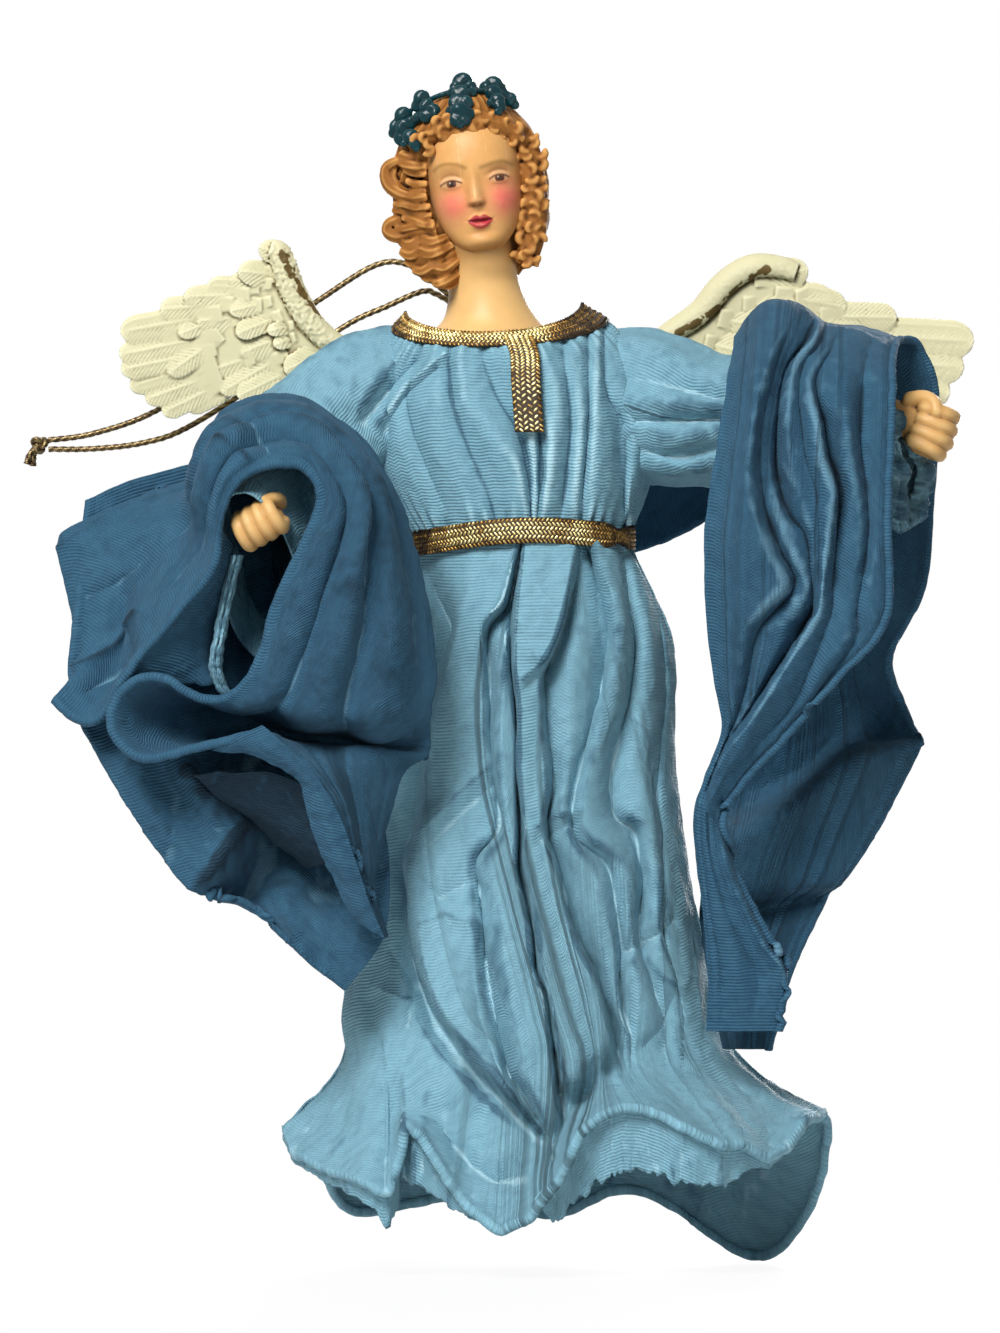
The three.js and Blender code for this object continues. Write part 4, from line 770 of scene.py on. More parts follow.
SKIRT_CREASES = [
    ([(6.3, 128.1), (3.4, 125.9), (0.6, 123.3)], 1.3, 1.2),
    ([(6.4, 126.1), (3.8, 123.9), (1.0, 121.4)], -1.1, 1.4),
    ([(-21.3, 91.5), (-16.2, 96.5), (-10.8, 101.2), (-5.3, 106.0)], 1.4, 2.2),
    ([(-18.9, 88.4), (-12.8, 94.4), (-6.1, 100.6)], -1.4, 2.4),
    ([(3.7, 92.5), (7.5, 94.4), (10.6, 95.5)], 1.3, 1.2),
    ([(4.4, 89.4), (8.1, 91.5), (11.5, 93.1)], -1.3, 1.4),
    ([(-21.4, 81.9), (-17.0, 77.4), (-10.9, 80.5)], -1.2, 2.4),
    ([(-21.4, 71.9), (-15.7, 74.1), (-9.6, 71.9)], 1, 2.4),
    ([(22.1, 66.0), (28.6, 69.3), (31.8, 72.3)], -1.5, 1),
    ([(25.3, 81.9), (24.1, 74.1), (23.2, 66.4)], -1.2, 1),
    ([(-27.0, 66.3), (-22.2, 58.4), (-23.5, 50.6)], -1.6, 2),
    ([(-29.6, 58.4), (-24.4, 56.5), (-21.5, 57.0)], 1.2, 1.4),
    ([(-30.5, 48.8), (-27.9, 41.9), (-29.6, 34.0)], 1.8, 4),
    ([(-36.6, 58.4), (-34.9, 49.7), (-35.7, 38.4)], 1.4, 2.4),
    ([(32.1, 56.7), (29.5, 50.6), (26.0, 46.2)], -1.2, 2),
    ([(26.9, 64.5), (29.5, 61.0), (33.8, 58.4)], 1, 2),
    ([(36.4, 61.0), (38.2, 52.3), (40.8, 45.4)], 1.2, 2.6),
    ([(12.1, 39.7), (15.6, 38.8), (19.9, 40.1)], 1.4, 2.4),
    ([(-0.6, 135.7), (2.1, 130.3), (4.1, 125.6)], 0.5, 1.6),
    ([(-14.9, 120.2), (-10.8, 114.7), (-7.4, 112.0)], 0.5, 2),
    ([(20.3, 120.2), (23.7, 114.7), (27.8, 112.0)], 0.7, 1.6),
    ([(11.5, 135.0), (14.2, 128.3), (14.9, 122.9)], 0.5, 1.6),
    ([(2.7, 145.8), (5.4, 140.4), (4.1, 133.7)], 0.4, 2),
]
SKIRT_CREST = [(-50.0, 29.1), (-47.6, 24.3), (-40.3, 21.0), (-33.9, 19.4), (-28.2, 17.4), (-24.2, 31.2),
               (-20.1, 29.1), (-14.5, 19.4), (-9.6, 13.7), (-4.0, 9.6), (1.6, 12.1), (7.3, 20.2),
               (12.1, 29.1), (16.2, 33.2), (21.0, 35.2), (26.7, 34.4), (33.9, 30.8), (42.0, 27.1),
               (46.8, 27.5), (51.7, 23.9), (55.7, 25.9), (59.8, 30.8), (64.6, 32.4)]
SKIRT_TROUGH = [(-50, 34), (-36, 33), (-25, 33), (-16, 33), (-5, 30), (3, 28.5), (7, 26), (10, 33),
                (20, 43), (30, 44), (45, 38), (58, 34)]
TROUGH_DEPTH = [(-50, 0), (-25, 0.3), (-15, 1.2), (0, 1.6), (8, 2.6), (12, 4), (45, 4), (58, 2)]
RIM_DROP = [(-50, 3), (-40, 3.5), (-30, 5.5), (-25, 13), (-20, 12), (-15, 7), (-10, 3), (-3, 2), (4, 3),
            (8, 11), (12, 14.5), (18, 15), (25, 14), (33, 13.5), (40, 10.5), (45, 8.5), (50, 4), (58, 1.5),
            (64, 1)]

HEM_CREASES = [
    ([(-24, 31), (-20, 28.5), (-14.5, 19.4), (-9.6, 13.7), (-4, 9.6), (1.6, 12.1), (7.3, 20.2),
      (12.1, 29.1), (16.2, 33.2), (21, 35.2), (33.9, 30.8), (42, 27.1)], 1.3, 0.9),
    ([(-16, 28), (-10, 21.5), (-5, 18), (0, 19)], -4.6, 4.2),
]
BACK_CREASES = [
    ([(-6, 150), (-12, 100), (-22, 50), (-30, 18)], 2.0, 4.0),
    ([(-2, 150), (-7, 100), (-14, 50), (-20, 18)], -2.0, 3.0),
    ([(4, 150), (2, 100), (-3, 50), (-6, 18)], 1.8, 4.0),
    ([(8, 150), (9, 100), (7, 50), (5, 18)], -2.2, 3.0),
    ([(12, 150), (16, 100), (18, 50), (18, 18)], 2.0, 4.0),
    ([(15, 150), (21, 100), (27, 50), (30, 20)], -2.0, 3.0),
    ([(18, 150), (26, 100), (35, 50), (41, 22)], 1.8, 4.0),
]
front = patch(SKIRT, 460, 330, 0, SKIRT_SEAM, True)
lift = level(SKIRT_CREST, front[-1, :, 0]) - front[-1, :, 2]
front[..., 2] += smooth(0.72, 1.0, np.linspace(0, 1, len(front)))[:, None] * lift
across, up = front[..., 0], front[..., 2]
trough = level(SKIRT_TROUGH, across)
folds = 1.6 * pleats(up, across, SKIRT_PLEATS) + creases(across, up, SKIRT_CREASES)
lip = np.clip((trough - up) / np.maximum(trough - level(SKIRT_CREST, across), 3), 0, 1)
height = smooth(trough - 8, trough + 8, up) * folds + 6.0 * lip**1.7
height -= level(TROUGH_DEPTH, across) * np.exp(-(((up - trough) / 5.0) ** 2))
height += creases(across, up, HEM_CREASES)
front[..., 1] -= smooth(0, -8, front[..., 1]) * height
front = crumple(front, 9.0, 0.55, 11, stretch=(1, 1, 0.6))
skirt_front = cloth("skirt_front_panel", front, GOWN, "gown_cloth", ["skirt_front"], hems=["end"], roll=0.9)
rear = patch(SKIRT, 260, 240, SKIRT_SEAM, 1, True)
rear[..., 1] += smooth(0, 8, rear[..., 1]) * creases(rear[..., 0], rear[..., 2], BACK_CREASES, 2.0)
rear[..., 1] -= 9.0 * smooth(30, 58, rear[..., 0]) * smooth(38, 2, rear[..., 2])
rear = crumple(rear, 9.0, 0.6, 17, stretch=(1, 1, 0.6))
skirt_back = cloth("skirt_back_panel", rear, GOWN, "gown_cloth", ["skirt_back"], hems=["end"], roll=0.9)

# Ragged hem allowance under the front rim
rim = front[-1]
steps = np.linspace(0, 1, 16)[:, None]
ragged = 1 + 0.12 * noise(rim * [0.55, 0, 0], 5) + 0.07 * noise(rim * [1.7, 0, 0], 6)
drop = level(RIM_DROP, rim[:, 0]) * ragged
turned = np.stack(np.broadcast_arrays(rim[:, 0], rim[:, 1] + 1.3 + 2.6 * np.sin(1.3 * steps),
                                      rim[:, 2] + 0.4 - drop * steps), -1)
turned = crumple(turned, 3.5, 0.5, 23, stretch=(1.6, 1, 0.5))
allowance = cloth("skirt_hem_allowance", turned, GOWN, "gown_cloth")

# Bodice: fold lines give height, place across and how far each stands out
BODICE_PLEATS = [
    [(190, -36, -0.4), (186.7, -33.5, -1.6), (180.8, -33.9, -2.2), (173, -33.1, -1.8), (165, -32, -0.6)],
    [(190, -27, 0.5), (185, -28, 1.0), (176, -27, 1.4), (168, -25, 1.4), (160, -23, 0.8)],
    [(192, -20.5, -0.5), (184, -23.5, -0.9), (176, -22.5, -1.2), (167, -19, -1.2), (158, -15, -0.8)],
    [(192, -17.9, 0.7), (186.7, -18.5, 1.1), (172, -16.2, 1.4), (164, -13, 1.2), (156.6, -9.9, 0.8)],
    [(190, -15, -0.8), (181, -14, -1.2), (172, -11, -1.3), (164, -7.5, -1.3), (156.6, -5, -1.0)],
    [(190, -12.4, 0.9), (181.3, -10.7, 1.5), (174.1, -5.9, 1.8), (168, -1, 1.8), (157.6, 1.2, 1.2)],
    [(190.7, -8.2, -0.9), (181.9, -4.6, -1.6), (174.1, 0.2, -2.0), (165.4, 1.9, -2.0), (157.6, 2.4, -1.6)],
    [(190, 0, 0.8), (182, 1.5, 1.2), (174, 2.6, 0.8), (166.5, 3.2, 0.2), (158, 3.0, 0)],
    [(190, 3, -0.4), (178, 3.4, -1.4), (174.1, 3.9, -2.2), (166.5, 4.4, -2.6), (158.3, 3.6, -2.0)],
    [(190.1, 5.3, 1.0), (185.7, 7, 1.4), (178.5, 7.4, 1.8), (165.4, 6, 2.0), (157, 5, 1.2)],
    [(190, 9, -0.7), (178, 10.5, -1.2), (167, 9.8, -1.2), (157, 8.4, -0.9)],
    [(188, 12, 0.6), (178, 13, 0.8), (168, 12.2, 1.0), (157, 10.8, 0.8)],
    [(187, 14.2, -0.7), (178.5, 14.4, -1.0), (167.5, 13.6, -1.0), (157, 12.6, -0.7)],
    [(187, 16.4, 1.1), (178.5, 16, 1.4), (167.5, 15.6, 1.4), (157, 15, 1.0)],
    [(186, 17.5, -0.6), (181.9, 18.6, -1.7), (177.5, 21.3, -2.4), (169.9, 21.8, -2.4), (161, 22, -1.4)],
    [(191, 21, 0.6), (184, 22.5, 1.1), (178, 24.2, 1.2), (170, 24.6, 1.0), (162, 23, 0.5)],
    [(195.2, 25.8, -1.0), (188.4, 26.2, -1.7), (174.1, 27, -2.0), (165.4, 26.2, -1.6), (161, 24, -1.0)],
]


# Half width, half depth and share of the height, from waist to neckline
BODICE_ROWS = [(*WAIST, 0), (27.5, 17.5, 0.22), (30, 18, 0.46), (29, 17, 0.7), (24, 16, 0.88), (18, 13, 1)]


def around(count, endpoint=False):
    """Angles round the body from the back seam."""
    return 2 * math.pi * np.linspace(0, 1, count, endpoint=endpoint) + math.pi / 2


def bodice(across, length, offset, low, high, gathered=1.0):
    a = around(across)[None, :]
    v = np.linspace(low, high, length)
    sizes = along(BODICE_ROWS, v)
    wide, deep, height = (sizes[:, i][:, None] for i in range(3))
    v = v[:, None]
    gather = 0.35 * np.sin(math.pi * np.minimum(1, v * 1.15)) * np.cos(14 * a) * (np.sin(a) > -0.2)
    gather = gather + 0.45 * smooth(0.62, 0.97, v) * np.cos(52 * a + 2 * np.sin(5 * a))
    gather = gather + 0.5 * smooth(0.22, 0.02, v) * np.cos(40 * a + 2 * np.sin(7 * a))
    gather = gathered * gather
    tilt = NECKLINE_TILT * np.maximum(0, v * 1.7 - 0.7)
    y = (deep + gather + offset) * np.sin(a)
    y_slope = np.minimum(y, 0) - 0.7 * np.maximum(y, 0)
    x = 0.5 + BODY_LEAN * v + (wide + gather + offset) * np.cos(a)
    x = x - 0.13 * smooth(0.8, 1.0, v) * np.maximum(0, x - 2)
    z = WAIST_HEIGHT + height * (NECKLINE_HEIGHT - WAIST_HEIGHT) + tilt * y_slope + 0.05 * v * x
    return np.stack([x, y, z], -1)


SHOULDER_CREASES = [
    ([(-15.9, 191.7), (-23.6, 185.5), (-29.5, 177.2)], 1.5, 1.5),
    ([(-17.5, 188.5), (-24.5, 182.5), (-28.5, 175.5)], -1.7, 1.8),
    ([(-23.6, 193.2), (-29.5, 186), (-34, 180)], 1.2, 1.5),
    ([(-22, 190), (-28.5, 183), (-33, 177)], -1.3, 1.6),
]
CHEST_TOP = 0.94
PLEAT_FLOOR = -1.6
rise = np.linspace(0, CHEST_TOP, 150)[:, None]
backward = np.sin(around(420))[None, :]
snug = 2.8 * smooth(0.5, 0.8, rise) * smooth(0.0, 0.7, backward)
snug = snug - 0.7 * smooth(0.86, CHEST_TOP, rise) * smooth(0.2, -0.2, backward)
chest = bodice(420, 150, snug, 0.0, CHEST_TOP)
folds = np.maximum(PLEAT_FLOOR, pleats(chest[..., 2], chest[..., 0], BODICE_PLEATS))
folds = folds * smooth(CHEST_TOP, 0.84, rise)
folds = folds + creases(chest[..., 0], chest[..., 2], SHOULDER_CREASES)
chest[..., 1] -= smooth(2, -6, chest[..., 1]) * folds
chest = crumple(chest, 8.0, 0.3, 31, True, (1, 1, 0.6))
gown_bodice = cloth("gown_bodice_gathered", chest, GOWN, "gown_cloth", ["gown_bodice"], closed=True)


# Arms: sleeves of half width and half height along the arm
def reach(start, direction, length):
    direction = np.array(direction, float)
    return np.asarray(start, float) + direction * (length / np.linalg.norm(direction))


LEFT_SHOULDER = np.array([-28.0, 3, SHOULDER_Z])
RIGHT_SHOULDER = np.array([23.0, 3, SHOULDER_Z + 1])
LEFT_ELBOW = reach(LEFT_SHOULDER, (-19, -9, -15), 26)
RIGHT_ELBOW = reach(RIGHT_SHOULDER, (25, -9, -3), 26)
LEFT_WRIST = reach(LEFT_ELBOW, (-6, -38, -12), 40)
RIGHT_WRIST = reach(RIGHT_ELBOW, (32, -14, -2), 37)


def sleeve(path, wide, high, gathers, across, length):
    v = np.linspace(0, 1, length)
    centre = along(path, v)
    ahead = np.gradient(centre, axis=0)
    ahead /= np.linalg.norm(ahead, axis=1, keepdims=True)
    side = np.cross(ahead, [0, 0, 1])
    side /= np.linalg.norm(side, axis=1, keepdims=True)
    up = np.cross(side, ahead)
    a = 2 * math.pi * np.linspace(0, 1, across, endpoint=False)
    puff = 1 + 0.04 * np.cos(gathers * a)[None, :] * np.sin(math.pi * np.minimum(1, v * 1.6))[:, None]
    w = along([(x, 0) for x in wide], v)[:, :1] * puff
    h = along([(x, 0) for x in high], v)[:, :1] * puff
    sideways = (w * np.cos(a))[..., None] * side[:, None]
    upward = (h * np.sin(a))[..., None] * up[:, None]
    return centre[:, None] + sideways + upward


RIGHT_SLEEVE_PLEATS = [
    [(26, 163.5, -0.8), (33, 163.5, -1.6), (41, 165.5, -1.2)],
    [(26, 168, 0.6), (33, 167, 1.4), (41, 168.5, 1.0)],
    [(26, 171.5, -0.4), (33, 170, -1.2), (41, 171.5, -1.0)],
    [(26, 174.8, 0.8), (34, 173.5, 1.8), (41, 175, 1.4)],
    [(26, 177.5, -1.0), (31.2, 177.5, -2.6), (36, 177.6, -2.8), (41, 178, -2.2)],
    [(26, 181.5, 0.6), (33, 181.5, 1.6), (41, 180.5, 1.2)],
    [(26, 186, -0.3), (34, 184, -1.0), (41, 182, -0.8)],
    [(26, 192, 0.5), (33, 190, 1.2), (41, 186, 1.0)],
]
left_cloth = sleeve([(-15, 3, SHOULDER_Z - 1), LEFT_SHOULDER + [-2, -1, -2], LEFT_ELBOW,
                     (LEFT_ELBOW + LEFT_WRIST) / 2 + [0, 0, -7], LEFT_WRIST + [-1.5, 2, -13]],
                    (11, 13, 13, 11, 8.5), (12, 15, 15, 18, 22), 7, 200, 140)
folds = creases(left_cloth[..., 0], left_cloth[..., 2], SHOULDER_CREASES)
left_cloth[..., 1] -= smooth(2, -4, left_cloth[..., 1]) * folds
left_cloth = crumple(left_cloth, 7.0, 0.5, 41, True)
left_sleeve = cloth("left_sleeve_cloth", left_cloth, GOWN, "gown_cloth", ["left_sleeve"], closed=True,
                    ribs_along=True)
SLEEVE_EDGE = [(-58.8, -47, 149), (-60.8, -46.5, 141), (-62.3, -46, 133), (-63.3, -45.5, 127),
               (-62.3, -45, 122), (-60.1, -45, 119.5)]
EDGE_SECTION = [(-1.2, 1.2, 0), (-0.5, -0.4, 0), (0, 0.9, 0), (0.5, -0.4, 0), (1.2, 1.2, 0)]
edge = patch(np.array(SLEEVE_EDGE)[:, None] + np.array(EDGE_SECTION), 24, 120)
sleeve_edge = cloth("left_sleeve_edge", crumple(edge, 2.5, 0.35, 45), GOWN, "gown_cloth", ribs_along=True)
CUFF_AHEAD = np.array([1.0, -0.3, -0.2]) * 2.4
right_cloth = sleeve([(8, 3, SHOULDER_Z - 1), RIGHT_SHOULDER + [2, -1, -4],
                      0.3 * RIGHT_SHOULDER + 0.7 * RIGHT_ELBOW + [0, 0, -5],
                      (RIGHT_ELBOW + RIGHT_WRIST) / 2 + [0, 0, -5], RIGHT_WRIST + [1, 0, -13]],
                     (11, 13, 13, 11, 8.5), (13, 16, 14, 13, 14.5), 7, 220, 180)
folds = pleats(right_cloth[..., 0], right_cloth[..., 2], RIGHT_SLEEVE_PLEATS)
right_cloth[..., 1] -= smooth(0, -6, right_cloth[..., 1]) * folds
sag = right_cloth[..., 2] - right_cloth[..., 2].mean(1, keepdims=True)
sag = smooth(0.55, 1.0, np.linspace(0, 1, len(sag)))[:, None] * sag
right_cloth[..., 0] -= np.where(sag > 0, 0.85, 0.25) * sag
turn = np.linspace(0, math.pi, 17)[1:, None, None]
end = right_cloth[-1:]
heart = end.mean(1, keepdims=True)
cuff_roll = heart + (end - heart) * (1 - 0.17 * (1 - np.cos(turn))) + CUFF_AHEAD * np.sin(turn)
right_cloth = np.concatenate([right_cloth, cuff_roll])
cuff = smooth(0.66, 0.92, np.linspace(0, 1, len(right_cloth)))[:, None, None]
right_cloth = right_cloth + cuff * (crumple(right_cloth, 3.8, 1.2, 47, True, (0.5, 1, 1)) - right_cloth)
right_cloth = crumple(right_cloth, 7.0, 0.4, 43, True)
right_sleeve = cloth("right_sleeve_cloth", right_cloth, GOWN, "gown_cloth", ["right_sleeve"], closed=True,
                     ribs_along=True)

# Stole over the left arm, from the left fold round the hand to the inner tip: rows from rim to back edge
LEFT_STOLE = [
    [(-96.7, -45, 119.8), (-94.7, -42, 121.9), (-92.7, -38, 123.6), (-90.4, -34, 125)],
    [(-93, -47, 116), (-91.3, -42, 121.9), (-91.3, -36, 129.3), (-93, -31, 134)],
    [(-88.4, -49, 115.4), (-85.6, -39, 125.9), (-89, -35, 139.1), (-95.6, -28, 145.5)],
    [(-83.8, -50, 121.9), (-81.5, -37, 132.2), (-85, -36, 145.5), (-96, -27, 151.8)],
    [(-79.2, -51, 128.8), (-79.2, -43, 136.3), (-80.4, -38, 147.8), (-94.2, -27, 154.4)],
    [(-74.1, -52, 134.2), (-74.6, -46, 142), (-75.2, -40, 152.4), (-85, -28, 158.7)],
    [(-68.3, -53, 141.4), (-69.5, -47, 147.8), (-70.1, -41, 155.8), (-76.4, -29, 162.2)],
    [(-64, -55, 147.2), (-66.6, -50, 152.4), (-68.3, -43, 159.3), (-69.8, -30, 164.8)],
    [(-62.6, -56, 154.7), (-65.5, -55, 160.5), (-68, -48, 164.5), (-68.3, -34, 167.9)],
    [(-60.6, -57, 161.6), (-62.6, -56, 167.9), (-65.2, -47, 172.5), (-65.5, -36, 174)],
    [(-56.3, -57, 166.5), (-58, -54, 172), (-60, -45, 176.6), (-61.4, -32, 179.8)],
    [(-50.5, -57, 168.4), (-51.7, -51, 174.3), (-52.5, -40, 178.9), (-53.4, -24, 182.9)],
    [(-44.8, -57, 167.7), (-43.7, -53, 173.1), (-43.7, -42, 177.7), (-44.8, -26, 181.8)],
    [(-41.5, -58, 163.3), (-38.5, -55, 167.4), (-37.3, -45, 172), (-37.3, -30, 177.2)],
    [(-41.5, -58, 159.3), (-35, -57, 159.9), (-31, -49, 163.9), (-30.5, -33, 170.8)],
    [(-44.2, -58, 152.4), (-36.2, -58, 151.2), (-29.3, -51, 154.1), (-24.7, -36, 159.3)],
    [(-48.8, -57, 143.2), (-39.1, -58, 142), (-28.7, -52, 144.3), (-21.8, -37, 149.5)],
    [(-51.7, -56, 135.7), (-41.4, -57, 133.4), (-28.7, -52, 135.1), (-19.5, -37, 139.7)],
    [(-53.1, -55, 129.9), (-43.7, -56, 126.5), (-29.9, -52, 127), (-18.1, -37, 129.3)],
    [(-55.7, -54, 123.9), (-45.9, -54, 120.1), (-31.6, -51, 120.1), (-17.8, -37, 123.6)],
    [(-59.7, -53, 119.8), (-48.8, -51, 116.1), (-32.2, -50, 114.9), (-18.4, -37, 119)],
    [(-63.7, -52, 118.4), (-50.5, -41.8, 114.9), (-32.2, -45.8, 112.1), (-19, -35.8, 114.9)],
    [(-68.3, -52, 119.4), (-53.4, -33.6, 114.9), (-32.7, -39.6, 110.9), (-19.3, -33.6, 112.6)],
    [(-74.1, -52, 122.4), (-56.9, -29, 114.9), (-33.9, -36, 110.6), (-19.5, -33, 111.2)],
    [(-79.2, -52.5, 122.6), (-60.9, -29, 114.7), (-34.5, -35, 110.5), (-19.5, -33, 110.6)],
    [(-83.5, -53, 118.4), (-63.2, -29, 113.8), (-35, -35, 110.2), (-19.5, -33, 110.3)],
    [(-83.9, -53.5, 112.6), (-63.2, -30, 112.1), (-35, -35, 109.9), (-19.5, -33, 109.8)],
    [(-79.2, -54, 108), (-60.9, -32, 110.9), (-34.5, -35, 109.5), (-19.5, -33, 109.2)],
    [(-71.8, -54, 108.6), (-56.9, -35.3, 110.3), (-33.9, -36.8, 109.2), (-19.7, -33.3, 108.6)],
    [(-62, -54, 110.9), (-51.7, -39.9, 110.3), (-33.3, -39.4, 109.1), (-19.8, -33.9, 107.9)],
    [(-52.8, -53, 112.6), (-45.9, -44.8, 109.8), (-33.3, -42.8, 108.7), (-20, -34.8, 107.2)],
    [(-48.7, -52, 109), (-42.3, -49, 105.5), (-34.1, -45, 103.7), (-24.7, -36, 103.7)],
    [(-40.5, -50, 100.2), (-37.6, -48, 98.4), (-32.9, -44, 96.6), (-26.5, -36, 97.2)],
    [(-37, -48, 93.7), (-35.3, -46, 90.7), (-32.3, -43, 89.5), (-28.5, -36, 90.1)],
    [(-32.9, -45, 82.4), (-32.3, -44, 80.1), (-31.5, -41, 79.5), (-30.3, -36, 80.1)],
    [(-28.8, -41, 70), (-28.4, -40, 69.4), (-27.9, -38, 69.4), (-27.5, -36, 69.7)],
]
LEFT_STOLE_PLEATS = [
    [(0.1, 0.16, 0), (0.25, 0.16, 0.3), (0.45, 0.14, 0.8), (0.58, 0.14, 0.6), (0.7, 0.15, 0)],
    [(0.1, 0.3, 0), (0.25, 0.3, -1.0), (0.33, 0.34, -1.8), (0.45, 0.3, -1.8), (0.55, 0.28, -1.4),
     (0.7, 0.3, 0)],
    [(0.1, 0.44, 0), (0.25, 0.46, 1.0), (0.33, 0.48, 1.5), (0.45, 0.44, 1.5), (0.55, 0.42, 1.2),
     (0.7, 0.44, 0)],
    [(0.1, 0.6, 0), (0.25, 0.62, -0.9), (0.33, 0.6, -1.5), (0.45, 0.58, -1.4), (0.55, 0.58, -1.2),
     (0.7, 0.6, 0)],
    [(0.1, 0.74, 0), (0.25, 0.74, 0.6), (0.33, 0.72, 0.9), (0.45, 0.72, 1.0), (0.55, 0.74, 0.9),
     (0.7, 0.74, 0)],
    [(0.1, 0.9, 0), (0.33, 0.88, -0.6), (0.5, 0.88, -0.6), (0.7, 0.9, 0)],
]
LEFT_FALL = [
    [(-37, 18, 4), (-28, 21, 8), (-14, 26, 12), (0, 30, 16)],
    [(-39, 10, -20), (-28, 14, -20), (-12, 20, -18), (2, 24, -16)],
    [(-40, 6, -34), (-27, 8, -36), (-8, 15, -34), (10, 20, -32)],
    [(-36, 4, -46), (-22, 5, -50), (-2, 11, -50), (18, 16, -48)],
    [(-27, 4, -62), (-14, 4, -66), (6, 9, -68), (25, 14, -66)],
    [(-16, 6, -77), (-6, 5, -79), (8, 9, -84), (25, 12, -86)],
    [(-11, 8, -79), (-2, 6, -82), (8, 9, -91), (17, 11, -98)],
]
LEFT_STOLE_CREASES = [
    ([(-79.2, 137.1), (-85.2, 129.8), (-92, 125.5)], 1.8, 1.6),
    ([(-76, 133), (-82, 126), (-90, 121.5)], -1.8, 1.6),
    ([(-97, 150), (-88, 156), (-76, 161)], 0.8, 2.0),
    ([(-92, 140), (-84, 143), (-78, 149)], -0.9, 2.0),
    ([(-58, 177.2), (-54, 174.3), (-52.3, 170.8)], -1.6, 1.4),
    ([(-62, 172), (-58, 170.5), (-55, 167)], 1.0, 1.4),
]
LEFT_FALL_CREASES = [
    ([(-68.6, 103.7), (-65.1, 99.6), (-57.8, 92.5), (-61, 87.8), (-63.9, 83), (-68.6, 78.3)], 4.0, 3.4),
    ([(-57, 104), (-50.5, 93), (-53, 85), (-58, 77)], -15.0, 6.0),
    ([(-47, 100), (-43, 90), (-42, 80)], -10.0, 7.0),
    ([(-82, 108), (-76, 96), (-70, 86)], 1.0, 3.0),
    ([(-76, 108), (-71, 97), (-74, 84)], -1.4, 3.0),
]
# Inner turn of the left fold, the hem band of its end and the layer under the band
LEFT_LIP = [
    [(-88.4, -49, 115.4), (-84, -46, 117.5), (-79.5, -44, 120.5)],
    [(-83.8, -50, 121.9), (-77, -46, 122), (-70.6, -43, 122.3)],
    [(-79.2, -51, 128.8), (-72, -46, 126), (-64, -41, 122.5)],
    [(-74.1, -52, 134.2), (-69, -46, 132), (-64.5, -40, 129)],
    [(-68.3, -53, 141.4), (-66, -47, 138.5), (-63.3, -41, 135.8)],
    [(-64, -55, 147.2), (-62.5, -49, 145.5), (-61, -43, 143.5)],
    [(-62.6, -56, 154.7), (-61, -50, 153), (-59.5, -44, 151)],
]
LEFT_BAND = [
    [(-63.9, -53, 108.5), (-58.5, -55, 111.5), (-53.4, -54.5, 113.8)],
    [(-54.5, -53, 107.2), (-51.5, -55.5, 108.6), (-48.7, -55, 109.6)],
    [(-47.5, -52.5, 103.6), (-45.8, -55, 104.4), (-44, -54.5, 105.2)],
    [(-45.2, -52, 101), (-42.8, -54.5, 100.8), (-40.5, -54, 100.4)],
    [(-44, -50.5, 95), (-40.5, -53, 94.4), (-37, -52.5, 93.8)],
    [(-41.1, -48, 86.6), (-37.6, -50.5, 86), (-34.1, -50, 85.5)],
    [(-37, -45, 78.3), (-34, -47, 77.4), (-31.2, -46.5, 76.5)],
    [(-34.1, -42.5, 73), (-31.4, -44, 71.2), (-28.2, -43.5, 69.4)],
]
LEFT_LAYER = [
    [(-68, -45, 103.5), (-60, -46, 104), (-52, -47, 103.8), (-45.2, -48, 101.6)],
    [(-62, -39, 98), (-55, -41, 97), (-49, -43, 96), (-43, -45, 95)],
    [(-54.5, -34, 92.7), (-50, -37, 91), (-46.5, -39.5, 90), (-41.8, -42, 90)],
    [(-45.2, -30, 83.8), (-44, -33, 84), (-42.5, -36, 84.4), (-39.5, -39.5, 85)],
]
